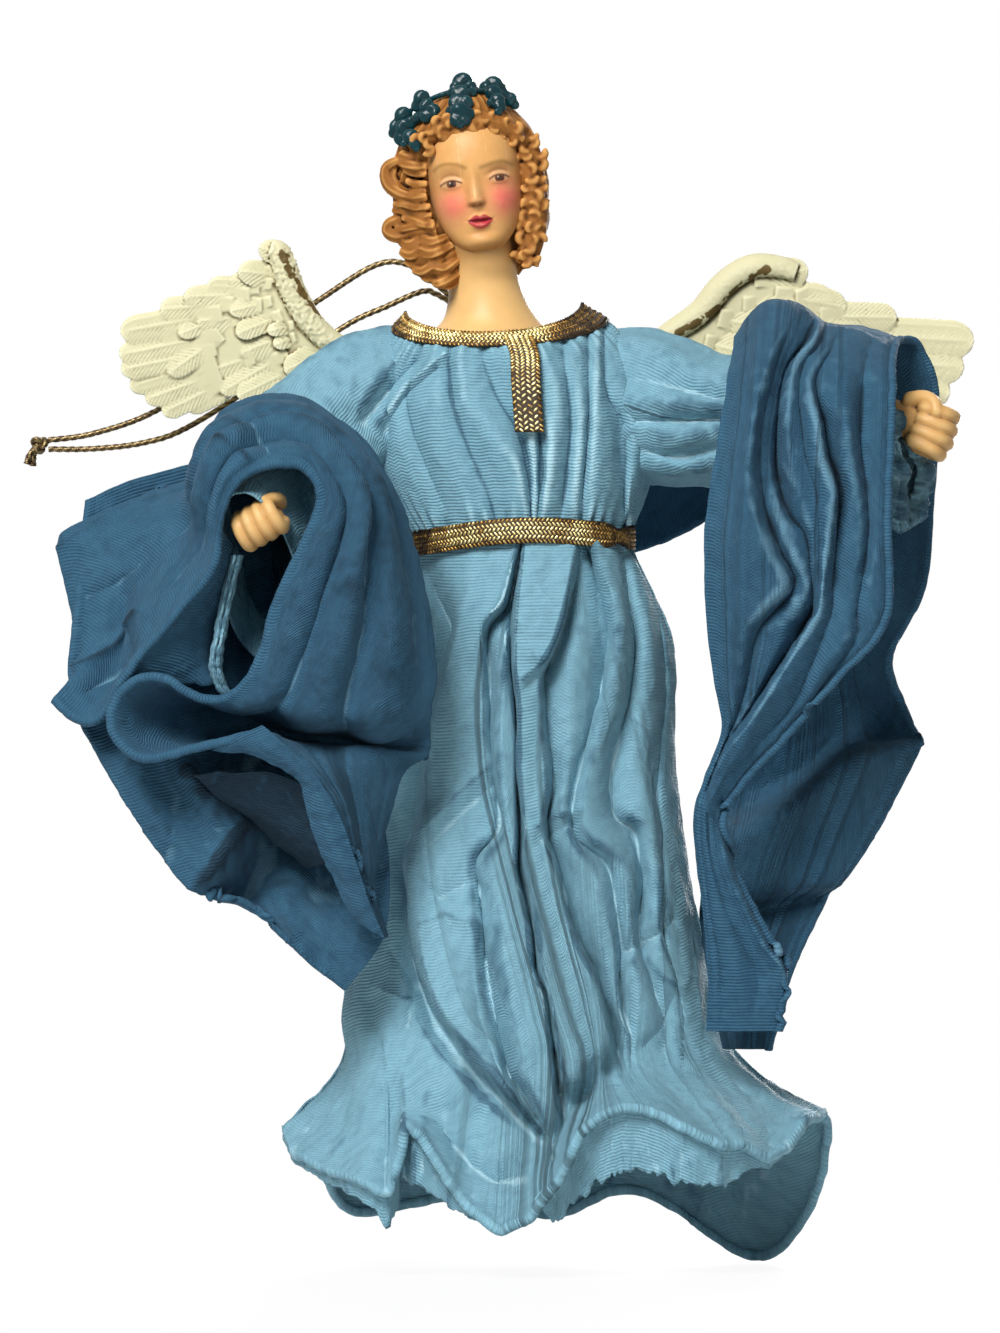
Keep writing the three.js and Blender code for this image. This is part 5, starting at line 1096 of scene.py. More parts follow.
# Stole over the right arm, up from the front end and down behind: places across, depths and heights
RIGHT_STOLE = [
    ((39.1, 42, 45, 48, 51, 54.2), (-20.5, -21.5, -22, -22, -21.5, -21), (49.5,) * 6),
    ((39.3, 42.5, 46, 49.5, 52.5, 55.7), (-23, -24.5, -25.5, -24, -23, -22.5), (62,) * 6),
    ((38, 40, 42, 44, 45.8, 48), (-26, -28, -29.5, -28, -26.5, -26), (78,) * 6),
    ((36.3, 37.5, 38.7, 39.8, 40.8, 42), (-30, -31.5, -32.5, -31.5, -30.5, -30), (93,) * 6),
    ((38, 39.8, 41.3, 42.7, 44, 45.4), (-32, -34, -35, -34, -33, -32.5), (101,) * 6),
    ((42, 45, 48, 50.5, 53, 55.7), (-34.5, -37, -38, -36.5, -36, -35.5), (112.5,) * 6),
    ((40.5, 45.5, 50.5, 55.5, 60.5, 65.2), (-36.5, -39.5, -41, -40, -39, -38.5), (123,) * 6),
    ((38.8, 46, 53.5, 61, 68.5, 75.8), (-39, -42.5, -43.5, -42, -41, -41), (136,) * 6),
    ((38.5, 46, 54, 61.5, 69, 76.2), (-41, -45, -44, -43, -41.5, -40.5), (155,) * 6),
    ((41.2, 47.5, 54.5, 62, 69.5, 76.8), (-38, -43, -41.5, -41, -39, -37), (172,) * 6),
    ((43.5, 49, 55.5, 62.5, 70, 77.4), (-31, -37, -36, -36, -34, -32), (186, 187, 187, 187, 187, 186)),
    ((45, 50, 57, 63.6, 70, 78), (-20, -24, -24, -24, -22, -19), (194, 199, 199.5, 196, 195.5, 192)),
    ((46.5, 51, 58, 64, 71, 80), (-10, -12, -11, -11, -10, -8), (196, 202.3, 202.3, 198, 197, 194)),
    ((47, 52, 59, 65.5, 73, 84), (0, -1, -1, -1, -2, -3), (193.5, 198.5, 198.5, 196, 195.5, 193)),
    ((47.5, 54, 61, 69, 78, 87.6), (1, 3.5, 2, 0.5, 0, -0.5), (176, 176, 177, 178, 180, 183)),
    ((49, 55, 62.5, 70.5, 79, 86.5), (-0.5, 2.5, 1, 0.5, 0, -0.5), (160,) * 6),
    ((50, 56, 63, 70.5, 77.5, 84.4), (-1, 2, 0, -3, -5, -6), (142,) * 6),
    ((49, 55, 61.5, 67.5, 73, 77.4), (4, 8, 8, 5, 1, -3), (126, 126, 127, 128, 128, 128)),
    ((43, 52, 60.5, 69, 75, 80), (13, 17, 17, 14, 8, 2), (104, 106, 109, 115, 117, 118)),
    ((40.5, 50.5, 60, 69, 77, 83.4), (11, 15, 15, 10, 3, -3), (95, 97, 102.5, 109.5, 111, 111)),
    ((39.5, 49.5, 59.5, 69, 77, 83.8), (-6, -9, -11, -11, -9, -5), (91, 93.5, 100, 107, 108.3, 108.5)),
    ((38.5, 46.5, 55, 63, 70.5, 75.6), (-8, -9, -10, -10, -9, -7), (82, 84, 88, 91, 92, 92.5)),
    ((38, 45, 52, 59, 65, 68.2), (-5, -6, -7, -8, -8, -7), (76, 77, 79, 80, 80.5, 81)),
    ((38, 44, 49.5, 54.5, 59, 63.1), (2, 3, 3, 2, 0, -2), (72, 72.5, 74, 75, 75.5, 76)),
    ((39.5, 43, 46.5, 50, 53, 56.4), (-6, -7, -8, -8, -8, -8), (61,) * 6),
    ((42.6, 44.5, 46.5, 48.5, 50.5, 52.2), (-11, -10.5, -11.5, -11.5, -11.5, -11.5), (45.5,) * 6),
]
RIGHT_STOLE_PLEATS = [
    [(200, 47, 0), (186, 44.5, 0), (172, 42.2, 0), (155, 39.6, 0), (136, 39.8, 0), (123, 41.5, 0),
     (112.5, 42.6, 0), (101, 38.6, 0), (93, 36.8, 0), (78, 38.6, 0), (62, 39.8, 0), (50, 39.6, 0)],
    [(202.5, 57.2, 0.8), (196.8, 54.7, 1.8), (190.6, 51.9, 2.4), (181.7, 49.2, 2.6), (172, 47.4, 2.4),
     (164.9, 46.9, 2.4), (157.8, 48.3, 2.4), (148.9, 51.5, 2.2), (142.3, 54.1, 1.8), (133.8, 46.4, 1.2),
     (123.4, 44.8, 0.8), (114.3, 43.3, 0.5), (104.4, 39.3, 0.2), (93.9, 37.2, 0.4), (78.7, 38.3, 0.6),
     (63.5, 40.4, 0.5), (50.2, 41, 0.2)],
    [(202.5, 59.1, 0.2), (196.8, 56.7, 0.4), (189.7, 53.6, -0.4), (180.8, 51.1, -0.6), (172, 49.9, -1),
     (164.9, 49.9, -1.4), (157.8, 51.1, -1.8), (149.8, 54.3, -2.4), (142.7, 57, -2.2),
     (133.8, 49.7, -2), (123.4, 47.4, -1.8), (114.3, 44.8, -1), (104.4, 39.8, -0.4), (93.9, 37.9, -0.2),
     (78.7, 39.3, -0.2), (63.5, 41.7, -0.2), (50.2, 42.1, 0)],
    [(202.1, 60, 0.2), (195.9, 57.9, -0.6), (188.8, 54.7, -1.6), (180.8, 52.6, -1.4), (172, 51.7, -1.6),
     (164.9, 52, -1.2), (156.9, 54.1, -0.2), (148.9, 57.2, 0.4), (141.8, 59.5, 0.2),
     (133.8, 54.5, -0.4), (124.3, 50.7, -0.8), (115, 45.9, -0.8), (105.3, 40.2, -0.6),
     (93.9, 38.5, 0.2), (78.7, 40, 0.4), (63.5, 42.7, 0.3), (50.2, 43.3, 0.1)],
    [(197.8, 61.6, -1.6), (192.8, 59.3, -3.4), (188.2, 55.8, -4.4), (182.6, 54.2, -4.6),
     (172, 53.3, -4.6), (164.9, 53.7, -4.4), (157.8, 55.8, -3.2), (153.2, 59.5, -1.6),
     (145.4, 60.5, -1.4), (138.3, 61.1, -2.2), (133.8, 59.1, -3), (125.4, 53.5, -3.2),
     (115.1, 46.9, -3), (106.5, 40.5, -2), (101.7, 37.6, -0.8), (94.9, 39.1, -0.2), (86.3, 39.8, -0.6),
     (75.9, 42.7, -0.9), (66.4, 47.1, -0.9), (59.7, 49.9, -0.4), (49.8, 47.8, 0)],
    [(198.9, 62.9, 2.6), (194.1, 61.3, 2.6), (190.4, 57.9, 2.2), (184.4, 56.5, 1.8), (176.4, 55.9, 1.5),
     (167.5, 56.8, 1.2), (159.6, 59.3, 1), (152.5, 61.1, 0.6), (145.4, 61.6, 0.4), (138.1, 61.5, 0.4),
     (134, 59.6, 0.8), (125.3, 54, 0.8), (114.9, 47.4, 0.8), (106.3, 40.9, 0.6), (101.5, 37.9, 0.4),
     (93.9, 40.4, 0.8), (85.4, 41.6, 0.9), (76.3, 45, 0.9), (66.9, 49.4, 0.8), (60.5, 53.1, 0.5),
     (49.8, 50.7, 0)],
    [(197.7, 63.9, -0.2), (193.2, 62.5, 0.2), (188.8, 59.1, 0.4), (182.6, 58.1, 0.2), (176.4, 58.6, 0),
     (169.3, 59.5, 0.2), (162.2, 61.6, 0.8), (155.1, 62.3, 1), (147.2, 62.2, 0.6), (137.9, 61.8, 1.2),
     (134.2, 59.9, 2), (125.2, 54.3, 2), (114.8, 47.6, 1.8), (106.2, 41.1, 1.2), (101.3, 38.1, 0.8),
     (93.4, 41, 1), (85.4, 42.1, 1.4), (76.5, 45.6, 1.6), (67.1, 50.2, 1.4), (60.7, 54.1, 0.8),
     (49.8, 52.1, 0)],
    [(196.8, 65.2, 0.4), (192.3, 63.6, 0.8), (186.8, 60.3, 1.4), (181.7, 60.5, 2.4), (176.4, 61.8, 3),
     (169.3, 62.7, 3.2), (163.1, 64.9, 3.2), (157.8, 64.5, 3), (150.7, 63.7, 2.6), (143.6, 62.8, 2.6),
     (137.8, 62.1, 3), (134.4, 60.4, 3.4), (125.1, 54.9, 3.4), (114.6, 48.2, 3), (106.1, 41.6, 2),
     (101.1, 38.7, 1.2), (93, 41.8, 1.8), (85.4, 42.9, 2.4), (76.6, 46.3, 2.6), (67.3, 51.1, 2.2),
     (61.2, 55.1, 1), (49.8, 53.7, 0)],
    [(195.9, 66.5, 0), (191.5, 64.7, -0.4), (186.1, 61.6, -0.6), (181.7, 61.8, -1.8),
     (176.4, 63.2, -2.8), (169.3, 64.3, -3), (163.1, 66.5, -2.6), (157.8, 66.2, -1.8),
     (150.7, 65.5, -1.2), (143.6, 65, -0.6), (137.4, 64.7, 0.6), (132.9, 63.1, 1.6), (125.3, 60.2, 1.2),
     (116.7, 55.9, 1), (108.2, 47.8, 0.8), (100.6, 42.1, 0.6), (93, 43.3, -0.6), (85.4, 44.4, -1.2),
     (77.2, 47.6, -1.6), (68.3, 52.2, -1.6), (62.6, 55.6, -0.6), (49.8, 54.5, 0)],
    [(195.9, 69.6, 0.4), (190.6, 66.9, 0.8), (185.2, 66.9, 1.6), (178.2, 67.6, 2.2), (172, 68.3, 2),
     (164.9, 69.4, 1.5), (157.8, 70.3, 1.2), (150.7, 70, 1), (143.6, 68.9, 0.9), (137.4, 67.8, 1.6),
     (131.9, 67, 2.4), (125.7, 63.1, 2.6), (118.6, 59.2, 2), (109.6, 51.2, 1.4), (99.8, 43.3, 1),
     (93, 44.2, 0.6), (85.4, 45.9, 0.6), (78.2, 49, 0.4), (69.2, 53, 0.2)],
    [(194.1, 73.6, -0.8), (187.9, 71.8, -1.2), (180.8, 71.2, -1.5), (172, 70.8, -1.5),
     (163.1, 72, -1.2), (154.2, 72.4, -0.9), (145.4, 71.5, -0.7), (137.4, 70, 0.2), (131.4, 69.7, 0.8),
     (124.8, 65, 0.8), (117.7, 60.2, 0.8), (108.2, 53.1, 0.7), (98.9, 43.8, 0.6)],
    [(192.8, 76.5, 0.8), (180.8, 76.4, 0.9), (167.5, 76, 0.9), (154.2, 75.1, 0.8), (143.6, 73.1, 0.8),
     (133.8, 72.6, 1), (127, 68.9, 1.2), (120.7, 62.6, 1.2), (111.2, 56.6, 1), (98.1, 44.5, 0.6)],
]
BACK_STOLE = [
    [(-76, -24, -38), (-76, -25, -29), (-75, -23, -21)],
    [(-63, -4, -39), (-61, 0, -29), (-59, 2, -19)],
    [(-46, 11, -38), (-45, 14, -28), (-44, 15, -18)],
    [(-26, 18.2, -36), (-26, 20.2, -27), (-26, 19.7, -18)],
    [(2, 20.2, -38), (2, 22.2, -29), (2, 21.2, -20)],
    [(27, 18.2, -32), (27, 20.2, -24), (27, 19.2, -16)],
    [(42, 12, -25), (42, 14.5, -18), (42, 14, -11)],
    [(54, 1, -22), (54, 2, -16), (54, 2, -10)],
]

drape = patch(LEFT_STOLE, 110, 520)
outward = grid_normals(drape)
outward *= -np.sign(outward[..., 1].mean())
length, share = np.meshgrid(np.linspace(0, 1, 520), np.linspace(0, 1, 110), indexing="ij")
height = 1.5 * pleats(length, share, LEFT_STOLE_PLEATS, 0.02, 0.08)
height += smooth(0.05, 0.12, share) * creases(drape[..., 0], drape[..., 2], LEFT_STOLE_CREASES)
drape = crumple(drape + outward * height[..., None], 8.0, 0.35, 53)
stole_left = cloth("stole_left_drape", drape, STOLE, "stole_cloth", ["stole_left"], hems=["left", "right"],
                   roll=0.8)
fall = patch(np.array(LEFT_FALL, float) + LEFT_WRIST, 130, 180)
folds = creases(fall[..., 0], fall[..., 2], LEFT_FALL_CREASES, 1.7)
fall[..., 1] -= smooth(1.0, 0.84, np.linspace(0, 1, 180))[:, None] * folds
fall = crumple(fall, 10.0, 0.7, 59)
left_fall = cloth("stole_left_fall", fall, STOLE, "stole_cloth", hems=["left", "end"], roll=0.7)
turned = crumple(patch(LEFT_LIP, 50, 120), 7.0, 0.5, 71)
left_lip = cloth("stole_left_lip", turned, STOLE, "stole_cloth")
turned = crumple(patch(LEFT_BAND, 40, 160), 6.0, 0.5, 73)
left_band = cloth("stole_left_band", turned, STOLE, "stole_cloth")
turned = crumple(patch(LEFT_LAYER, 60, 60), 8.0, 0.7, 79)
# The layer deep in the hollow is painted darker: painted shade.
left_layer = cloth("stole_left_layer", turned, STOLE, "stole_cloth", painted_shade=0.5)
strip = patch(np.array(RIGHT_STOLE, float).swapaxes(1, 2), 150, 600)
ahead = smooth(0.53, 0.44, np.linspace(0, 1, 600))[:, None]
strip[..., 1] -= ahead * 1.25 * pleats(strip[..., 2], strip[..., 0], RIGHT_STOLE_PLEATS)
strip = crumple(strip, 8.0, 0.35, 61)
stole_right = cloth("stole_right_drape", strip, STOLE, "stole_cloth", ["stole_right"], hems=["right"],
                    roll=0.7)
behind = crumple(patch(np.array(BACK_STOLE, float) + [0, 0, SHOULDER_Z], 40, 200), 9.0, 0.4, 67)
stole_back = cloth("stole_back_run", behind, STOLE, "stole_cloth", ["stole_back"], hems=["left", "right"],
                   roll=0.7)


# Gold braid: slanted loops of thread in six columns over a dark ground
BRAID_PITCH = 0.86
BRAID_COLUMNS = (-0.84, -0.5, -0.17, 0.17, 0.5, 0.84)
BRAID_LEAN = 50
LOOP_RADII = (0.29, 0.33, 0.64)
draw = np.random.default_rng(7)


def sample(grid, row, column):
    i, j = min(int(row), grid.shape[0] - 2), min(int(column), grid.shape[1] - 2)
    f, g = row - i, column - j
    near = (1 - g) * grid[i, j] + g * grid[i, j + 1]
    far = (1 - g) * grid[i + 1, j] + g * grid[i + 1, j + 1]
    return (1 - f) * near + f * far


def unit(vector):
    return vector / np.linalg.norm(vector)


def braid(loops, ground, core, bright):
    """Lays loops on a strip whose rows run along the braid.

    The core is a point behind it. The loops get painted shade outside the bright range of x and on the outer
    columns, and a painted highlight on their tops.
    """
    shape = ball((0, 0, 0), LOOP_RADII, 7, 8)[:, :, [2, 0, 1]]
    rows, columns = ground.shape[:2]
    n = grid_normals(ground)
    n *= np.sign(((ground - core) * n).sum(-1, keepdims=True))
    middle = ground[:, columns // 2]
    length = np.linalg.norm(np.diff(middle, axis=0), axis=1).sum()
    count = int(length / BRAID_PITCH)
    for i in range(count):
        for j, share in enumerate(BRAID_COLUMNS):
            row = (i + 0.5 * (j % 2)) / count * (rows - 1)
            column = (share + 1) / 2 * (columns - 1)
            up = unit(sample(n, row, column))
            k = min(int(row), rows - 2)
            ahead = unit(ground[k + 1, int(column)] - ground[k, int(column)])
            ahead = unit(ahead - up * (ahead @ up))
            aside = np.cross(up, ahead)
            lean = math.radians(BRAID_LEAN if j % 2 else -BRAID_LEAN) + 0.06 * draw.standard_normal()
            long = math.cos(lean) * ahead + math.sin(lean) * aside
            short = np.cross(up, long)
            turn = np.stack([long, short, up], 1)
            centre = sample(ground, row, column) + up * (0.22 + 0.03 * draw.standard_normal())
            # Painted shade on the loops outside the bright range of x and on the outer columns.
            beyond = max(bright[0] - centre[0], centre[0] - bright[1])
            braid_painted_shade = 0.9 * smooth(0, 7, beyond) + 0.45 * (abs(share) > 0.6)
            # Each loop is lighter on top, a painted highlight, and darker underneath, painted shade.
            loops.add(centre + shape @ turn.T, 1.6 * shape[..., 2] + 0.15 * draw.standard_normal() - braid_painted_shade)


COLLAR_FROM = 1 - BRAID_WIDTH / (NECKLINE_HEIGHT - WAIST_HEIGHT) / 0.9
COLLAR_POINTS = 240
collar_out = 1.2 + 3.7 * smooth(0.0, 0.7, np.sin(around(COLLAR_POINTS)))[None, :]
collar = bodice(COLLAR_POINTS, 7, collar_out, COLLAR_FROM, 1.0, 0.0).swapaxes(0, 1)
collar = np.concatenate([collar, collar[:1]])
TAIL_ROWS = [(0, -1.4, 0), (1.4, -2.6, -4), (1.6, -4.4, -10), (2.4, -5.6, -20.2)]
TAIL_COLUMNS = [(1, 0, 0), (4, 0, 0), (7, 0, 0)]
tail_top = sample(collar, COLLAR_POINTS // 2, 3.6)
tail = patch(np.array(TAIL_ROWS)[:, None] + np.array(TAIL_COLUMNS) + tail_top, 7, 30)
BELT_BULGE = [(0, 3.0), (0.17, 3.2), (0.33, 3.3), (0.5, 3.3), (0.67, 3.3), (0.83, 3.2), (1, 3.0)]


def belt_line(share, out):
    """One thread line of the belt, at a share of its width."""
    a = around(241, endpoint=True)
    across = np.cos(a)
    pinch = 1 - 0.45 * np.exp(-(((across - 0.87) / 0.07) ** 2))
    y = (WAIST[1] + out) * np.sin(a)
    z = WAIST_HEIGHT - 0.6 + 0.88 * BRAID_WIDTH * pinch * (share - 0.5) - 0.08 * y
    z = z + 0.5 * np.sin(3 * a) + 0.03 * WAIST[0] * across
    return np.stack([0.6 + (WAIST[0] + 0.4 * out) * across, y, z], -1)


belt = np.stack([belt_line(share, out) for share, out in BELT_BULGE], 1)


def ribbon(name, strips):
    ground = Parts()
    for strip in strips:
        ground.add(strip, 0.0, closed=False, capped=False)
    thicken(ground.build(name, BRAID_BACK, slot="gold_braid"), BRAID_GROUND)


ribbon("collar_braid_ground", [collar, tail])
ribbon("belt_braid_ground", [belt])
loops = Parts()
braid(loops, collar, np.array([-5.0, 2, 175]), (-21, 4))
braid(loops, tail, np.array([0.0, 10, 180]), (-30, 30))
loops.build("collar_braid_loops", GOLD, nodes=["collar_braid"], slot="gold_braid")
loops = Parts()
braid(loops, belt, np.array([0.5, 0, WAIST_HEIGHT]), (-14, 13))
loops.build("belt_braid_loops", GOLD, nodes=["belt_braid"], slot="gold_braid")

# Head: measured about the middle of the face, rolled with the right side up
FACE = np.array([-9.5, 0.0, 226.1])
ROLL = math.radians(7)


def from_face(points):
    p = np.asarray(points, float)
    x, y, z = p[..., 0], p[..., 1], p[..., 2]
    c, s = math.cos(ROLL), math.sin(ROLL)
    return np.stack([x * c - z * s, y, x * s + z * c], -1) + FACE


def profiles(table, at):
    """The smooth curves of a table whose first column is the height."""
    dense = along(table, np.linspace(0, 1, 400))
    return [np.interp(at, dense[:, 0], column) for column in dense[:, 1:].T]


# Height, half width, front and back
HEAD_ROWS = [
    (-12.8, 2.6, 8.4, -5.5), (-12.2, 3.9, 9.3, -3), (-11, 5.5, 10.1, 0), (-9, 7.1, 10.6, 3),
    (-6, 8.7, 11.0, 6.5), (-3, 9.5, 11.4, 8.5), (0, 9.9, 11.5, 10), (4, 10.2, 11.9, 11),
    (8, 10.1, 11.8, 11.2), (12, 9.3, 10.6, 10.4), (16, 7.4, 7.8, 8.2), (19, 4, 4, 4.6),
    (20.5, 0.4, 0.4, 0.6),
]
LEFT_EYE, RIGHT_EYE = (-4.83, 1.7), (5.4, 1.86)
BROWS = [[(-8.0, 5.2), (-6.8, 5.9), (-5.4, 6.1), (-3.2, 5.7), (-1.5, 4.8)],
         [(1.8, 4.5), (3.9, 5.15), (5.6, 5.4), (7.0, 5.2), (8.4, 4.4)]]
MOUTH = (0.4, -6.55)


def bump(x, z, at, wide, high):
    return np.exp(-((x - at[0]) / wide) ** 2 - ((z - at[1]) / high) ** 2)


def stroke(x, z, points, width):
    """How near each place is to a painted line."""
    dense = along(points, np.linspace(0, 1, 60))
    far = np.min((x[..., None] - dense[:, 0]) ** 2 + (z[..., None] - dense[:, 1]) ** 2, -1)
    return np.exp(-far / width**2)


def arc(x, z, at, rise, bend, thick, half):
    """How near each place is to a short bent line, such as a lid or a lip."""
    dx = x - at[0]
    return np.exp(-((z - (at[1] + rise + bend * dx**2)) / thick) ** 2) * np.exp(-((dx / half) ** 4))


def face_relief(x, z):
    out = np.zeros(x.shape)
    for eye in (LEFT_EYE, RIGHT_EYE):
        out -= 0.95 * bump(x, z, (eye[0], eye[1] + 0.6), 3.0, 1.9)
        out += 1.0 * bump(x, z, eye, 2.0, 1.2)
        out += 0.22 * arc(x, z, eye, 0.95, -0.11, 0.34, 2.4)
        out -= 0.16 * arc(x, z, eye, 1.75, -0.1, 0.32, 2.4)
        out += 0.12 * arc(x, z, eye, -0.85, 0.09, 0.3, 2.2)
    out += 0.32 * bump(x, z, (-4.8, 5.7), 3.6, 1.2) + 0.32 * bump(x, z, (5.4, 5.3), 3.6, 1.2)
    rise = smooth(5.2, -1.6, z)
    bridge = np.exp(-((x + 0.05) / (1.05 + 0.35 * rise)) ** 2) * smooth(6.2, 3.6, z) * smooth(-3.7, -2.5, z)
    out += (0.3 + 1.15 * rise) * bridge
    out += 0.55 * bump(x, z, (0.0, -1.9), 1.5, 1.2) * smooth(-3.8, -2.7, z)
    out += 0.5 * (bump(x, z, (-1.15, -2.5), 0.65, 0.7) + bump(x, z, (1.15, -2.5), 0.65, 0.7))
    out -= 0.2 * bump(x, z, (0.3, -4.5), 0.6, 0.7)
    bow = 0.5 + 0.25 * np.exp(-((np.abs(x - MOUTH[0]) - 0.9) / 0.6) ** 2)
    out += 0.7 * arc(x, z, MOUTH, bow, -0.06, 0.6, 2.3)
    out += 0.8 * arc(x, z, MOUTH, -1.0, 0.1, 0.75, 1.9)
    out -= 0.55 * arc(x, z, MOUTH, -0.05, 0.03, 0.24, 2.6)
    out -= 0.35 * bump(x, z, (MOUTH[0], -9.1), 2.6, 0.8)
    out += 0.9 * bump(x, z, (0.5, -10.9), 3.1, 1.7)
    out += 0.65 * bump(x, z, (-5.3, -2.8), 3.0, 3.0) + 0.65 * bump(x, z, (6.0, -2.4), 3.0, 3.0)
    return out


def face_paint(x, z, shade):
    colour = np.broadcast_to(srgb(214, 160, 96), (*x.shape, 3)).copy()

    def lay(share, *rgb):
        nonlocal colour
        colour = colour + np.clip(share, 0, 1)[..., None] * (srgb(*rgb) - colour)

    # Painted shade under the jaw, on the sides of the face, in the eye sockets and under the lower lip.
    lay(0.8 * smooth(-10.6, -13.2, z), 168, 114, 58)
    lay(0.75 * smooth(7.0, 10.2, np.abs(x - 0.3)), 178, 122, 66)
    for ex, ez in (LEFT_EYE, RIGHT_EYE):
        lay(0.55 * bump(x, z, (ex, ez + 0.5), 3.2, 2.3), 178, 118, 66)
    lay(0.4 * bump(x, z, (MOUTH[0], -9.2), 2.4, 0.8), 172, 114, 62)
    lay(0.9 * bump(x, z, (-4.9, -2.7), 3.5, 3.3), 230, 116, 100)
    lay(0.95 * bump(x, z, (6.1, -2.3), 3.4, 3.6), 228, 106, 98)
    # Painted highlight down the nose, painted shade on its sides, under it and in the nostrils.
    lay(0.25 * bump(x, z, (0.1, -0.9), 0.8, 2.4), 246, 214, 158)
    lay(0.55 * bump(x, z, (-1.6, -0.6), 0.7, 2.6) + 0.2 * bump(x, z, (1.7, -0.6), 0.7, 2.2), 188, 132, 74)
    lay(0.75 * bump(x, z, (0.0, -3.3), 1.15, 0.42), 150, 100, 52)
    lay(0.8 * (bump(x, z, (-0.65, -3.2), 0.45, 0.3) + bump(x, z, (0.85, -3.2), 0.45, 0.3)), 96, 54, 26)
    for (ex, ez), half in ((LEFT_EYE, 2.35), (RIGHT_EYE, 2.15)):
        t = np.clip((x - ex) / half, -1, 1)
        over = ez + 0.8 * (1 - t * t) + 0.05 * t
        under = ez - 0.68 * (1 - t * t) + 0.05 * t
        within = np.abs(x - ex) < half
        lid = 1 - 0.5 * t * t
        # Painted highlight on the upper lid and painted shade in its crease.
        lid_highlight = within * smooth(over, over + 0.3, z) * smooth(over + 1.5 * lid, over + 0.8, z)
        lay(0.24 * lid_highlight, 250, 224, 186)
        lay(0.4 * np.exp(-((z - over - 1.45 * lid) / 0.24) ** 2) * within, 190, 132, 80)
        opening = within * smooth(over + 0.1, over - 0.1, z) * smooth(under - 0.1, under + 0.1, z)
        lay(opening, 200, 152, 108)
        ring = np.hypot(x - ex - 0.1, z - ez - 0.08)
        lay(opening * smooth(1.12, 0.92, ring), 84, 36, 20)
        lay(opening * smooth(0.7, 0.5, ring), 36, 14, 10)
        lay(0.9 * np.exp(-((z - over) / 0.24) ** 2) * within, 74, 42, 24)
        lay(0.3 * np.exp(-((z - under) / 0.18) ** 2) * within, 160, 98, 62)
        # A painted catchlight: a highlight standing in for the eye's reflection.
        lay(0.8 * np.exp(-np.hypot(x - ex + 0.2, z - ez - 0.36) ** 2 / 0.025), 240, 220, 200)
    for brow in BROWS:
        lay(0.7 * stroke(x, z, brow, 0.42), 150, 108, 54)
    mx, mz = MOUTH
    t = np.clip((x - mx) / 2.7, -1, 1)
    bow = mz + 1.15 * (1 - t * t) ** 0.8 - 0.3 * np.exp(-((x - mx) / 0.4) ** 2)
    bow = bow + 0.2 * np.exp(-((np.abs(x - mx) - 1.0) / 0.55) ** 2)
    low = mz - 1.75 * (1 - t * t)
    lips = (np.abs(x - mx) < 2.7) * smooth(bow + 0.12, bow - 0.14, z) * smooth(low - 0.16, low + 0.16, z)
    lay(0.95 * lips, 186, 44, 62)
    lay(0.6 * lips * smooth(mz - 0.1, mz + 0.3, z), 142, 24, 44)
    lay(0.9 * lips * np.exp(-((z - (mz - 0.05 + 0.03 * (x - mx) ** 2)) / 0.24) ** 2), 108, 14, 32)
    # Painted highlight on the lower lip.
    lay(0.35 * lips * bump(x, z, (mx + 0.3, mz - 1.0), 0.9, 0.4), 226, 120, 120)
    return colour * (1 + 0.04 * shade[..., None])


rows = np.linspace(-12.8, 20.45, 250)[:, None]
FACE_TURN = 1.85
turn = np.concatenate([np.linspace(-FACE_TURN, FACE_TURN, 270),
                       np.linspace(FACE_TURN, 2 * math.pi - FACE_TURN, 52)[1:-1]])[None, :]
wide, fore, aft = profiles(HEAD_ROWS, rows)
middle, deep = (aft - fore) / 2, (aft + fore) / 2
x = wide * np.sign(np.sin(turn)) * np.abs(np.sin(turn)) ** 0.9 + 0.4
y = middle - deep * np.sign(np.cos(turn)) * np.abs(np.cos(turn)) ** 0.9
z = rows + 0 * turn
facing = smooth(0.1, 0.5, np.cos(turn))
skull = np.stack([x, y - facing * face_relief(x, z), z], -1)
tint = face_paint(x, z, noise(np.stack([x, y, z], -1) * 0.8, 3))
tint = tint + (1 - facing)[..., None] * (srgb(210, 164, 110) - tint)
# Neck: height, centre across, centre in depth, half width and half depth
NECK_ROWS = [(189, -5.5, 3.0, 21, 15.5), (193, -5.8, 2.8, 17.5, 14), (196, -6, 2.6, 13.5, 12),
             (199, -6, 2.3, 10.3, 9.6), (203, -6.8, 2.0, 8.4, 8.0), (207, -7.5, 1.6, 7.5, 7.3),
             (211, -7.4, 0.9, 6.8, 8.1), (215, -8.2, 0.4, 6.7, 9.2), (219, -8.8, 0.3, 6.4, 9.2)]
stem = along(NECK_ROWS, np.linspace(0, 1, 120))
a = np.linspace(0, 2 * math.pi, 120, endpoint=False)[None, :]
z, x, y, wide, deep = (column[:, None] for column in stem.T)
neck = np.stack([x + wide * np.cos(a), y + deep * np.sin(a), z + 0 * a], -1)
throat = np.broadcast_to(srgb(226, 182, 118), (*neck.shape[:2], 3)).copy()
# The neck is painted darker just under the chin: painted shade.
under_chin_shade = smooth(207, 214, neck[..., 2])[..., None] * 0.6
throat = throat + under_chin_shade * (srgb(176, 126, 70) - throat)
throat *= 1 + 0.05 * noise(neck * 0.3, 9)[..., None]
rows, columns = skull.shape[:2]
first_row, last_row = list(range(columns)), list(range(columns * (rows - 1), rows * columns))
faces = [*quads(rows, columns, True), last_row, first_row[::-1],
         *(quads(*neck.shape[:2], True) + rows * columns)]
points = np.concatenate([from_face(skull).reshape(-1, 3), neck.reshape(-1, 3)])
paint = np.concatenate([tint.reshape(-1, 3), throat.reshape(-1, 3)])
piece("head_painted", points, faces, SKIN, nodes=["head"], slot="skin_paint", paint=paint)

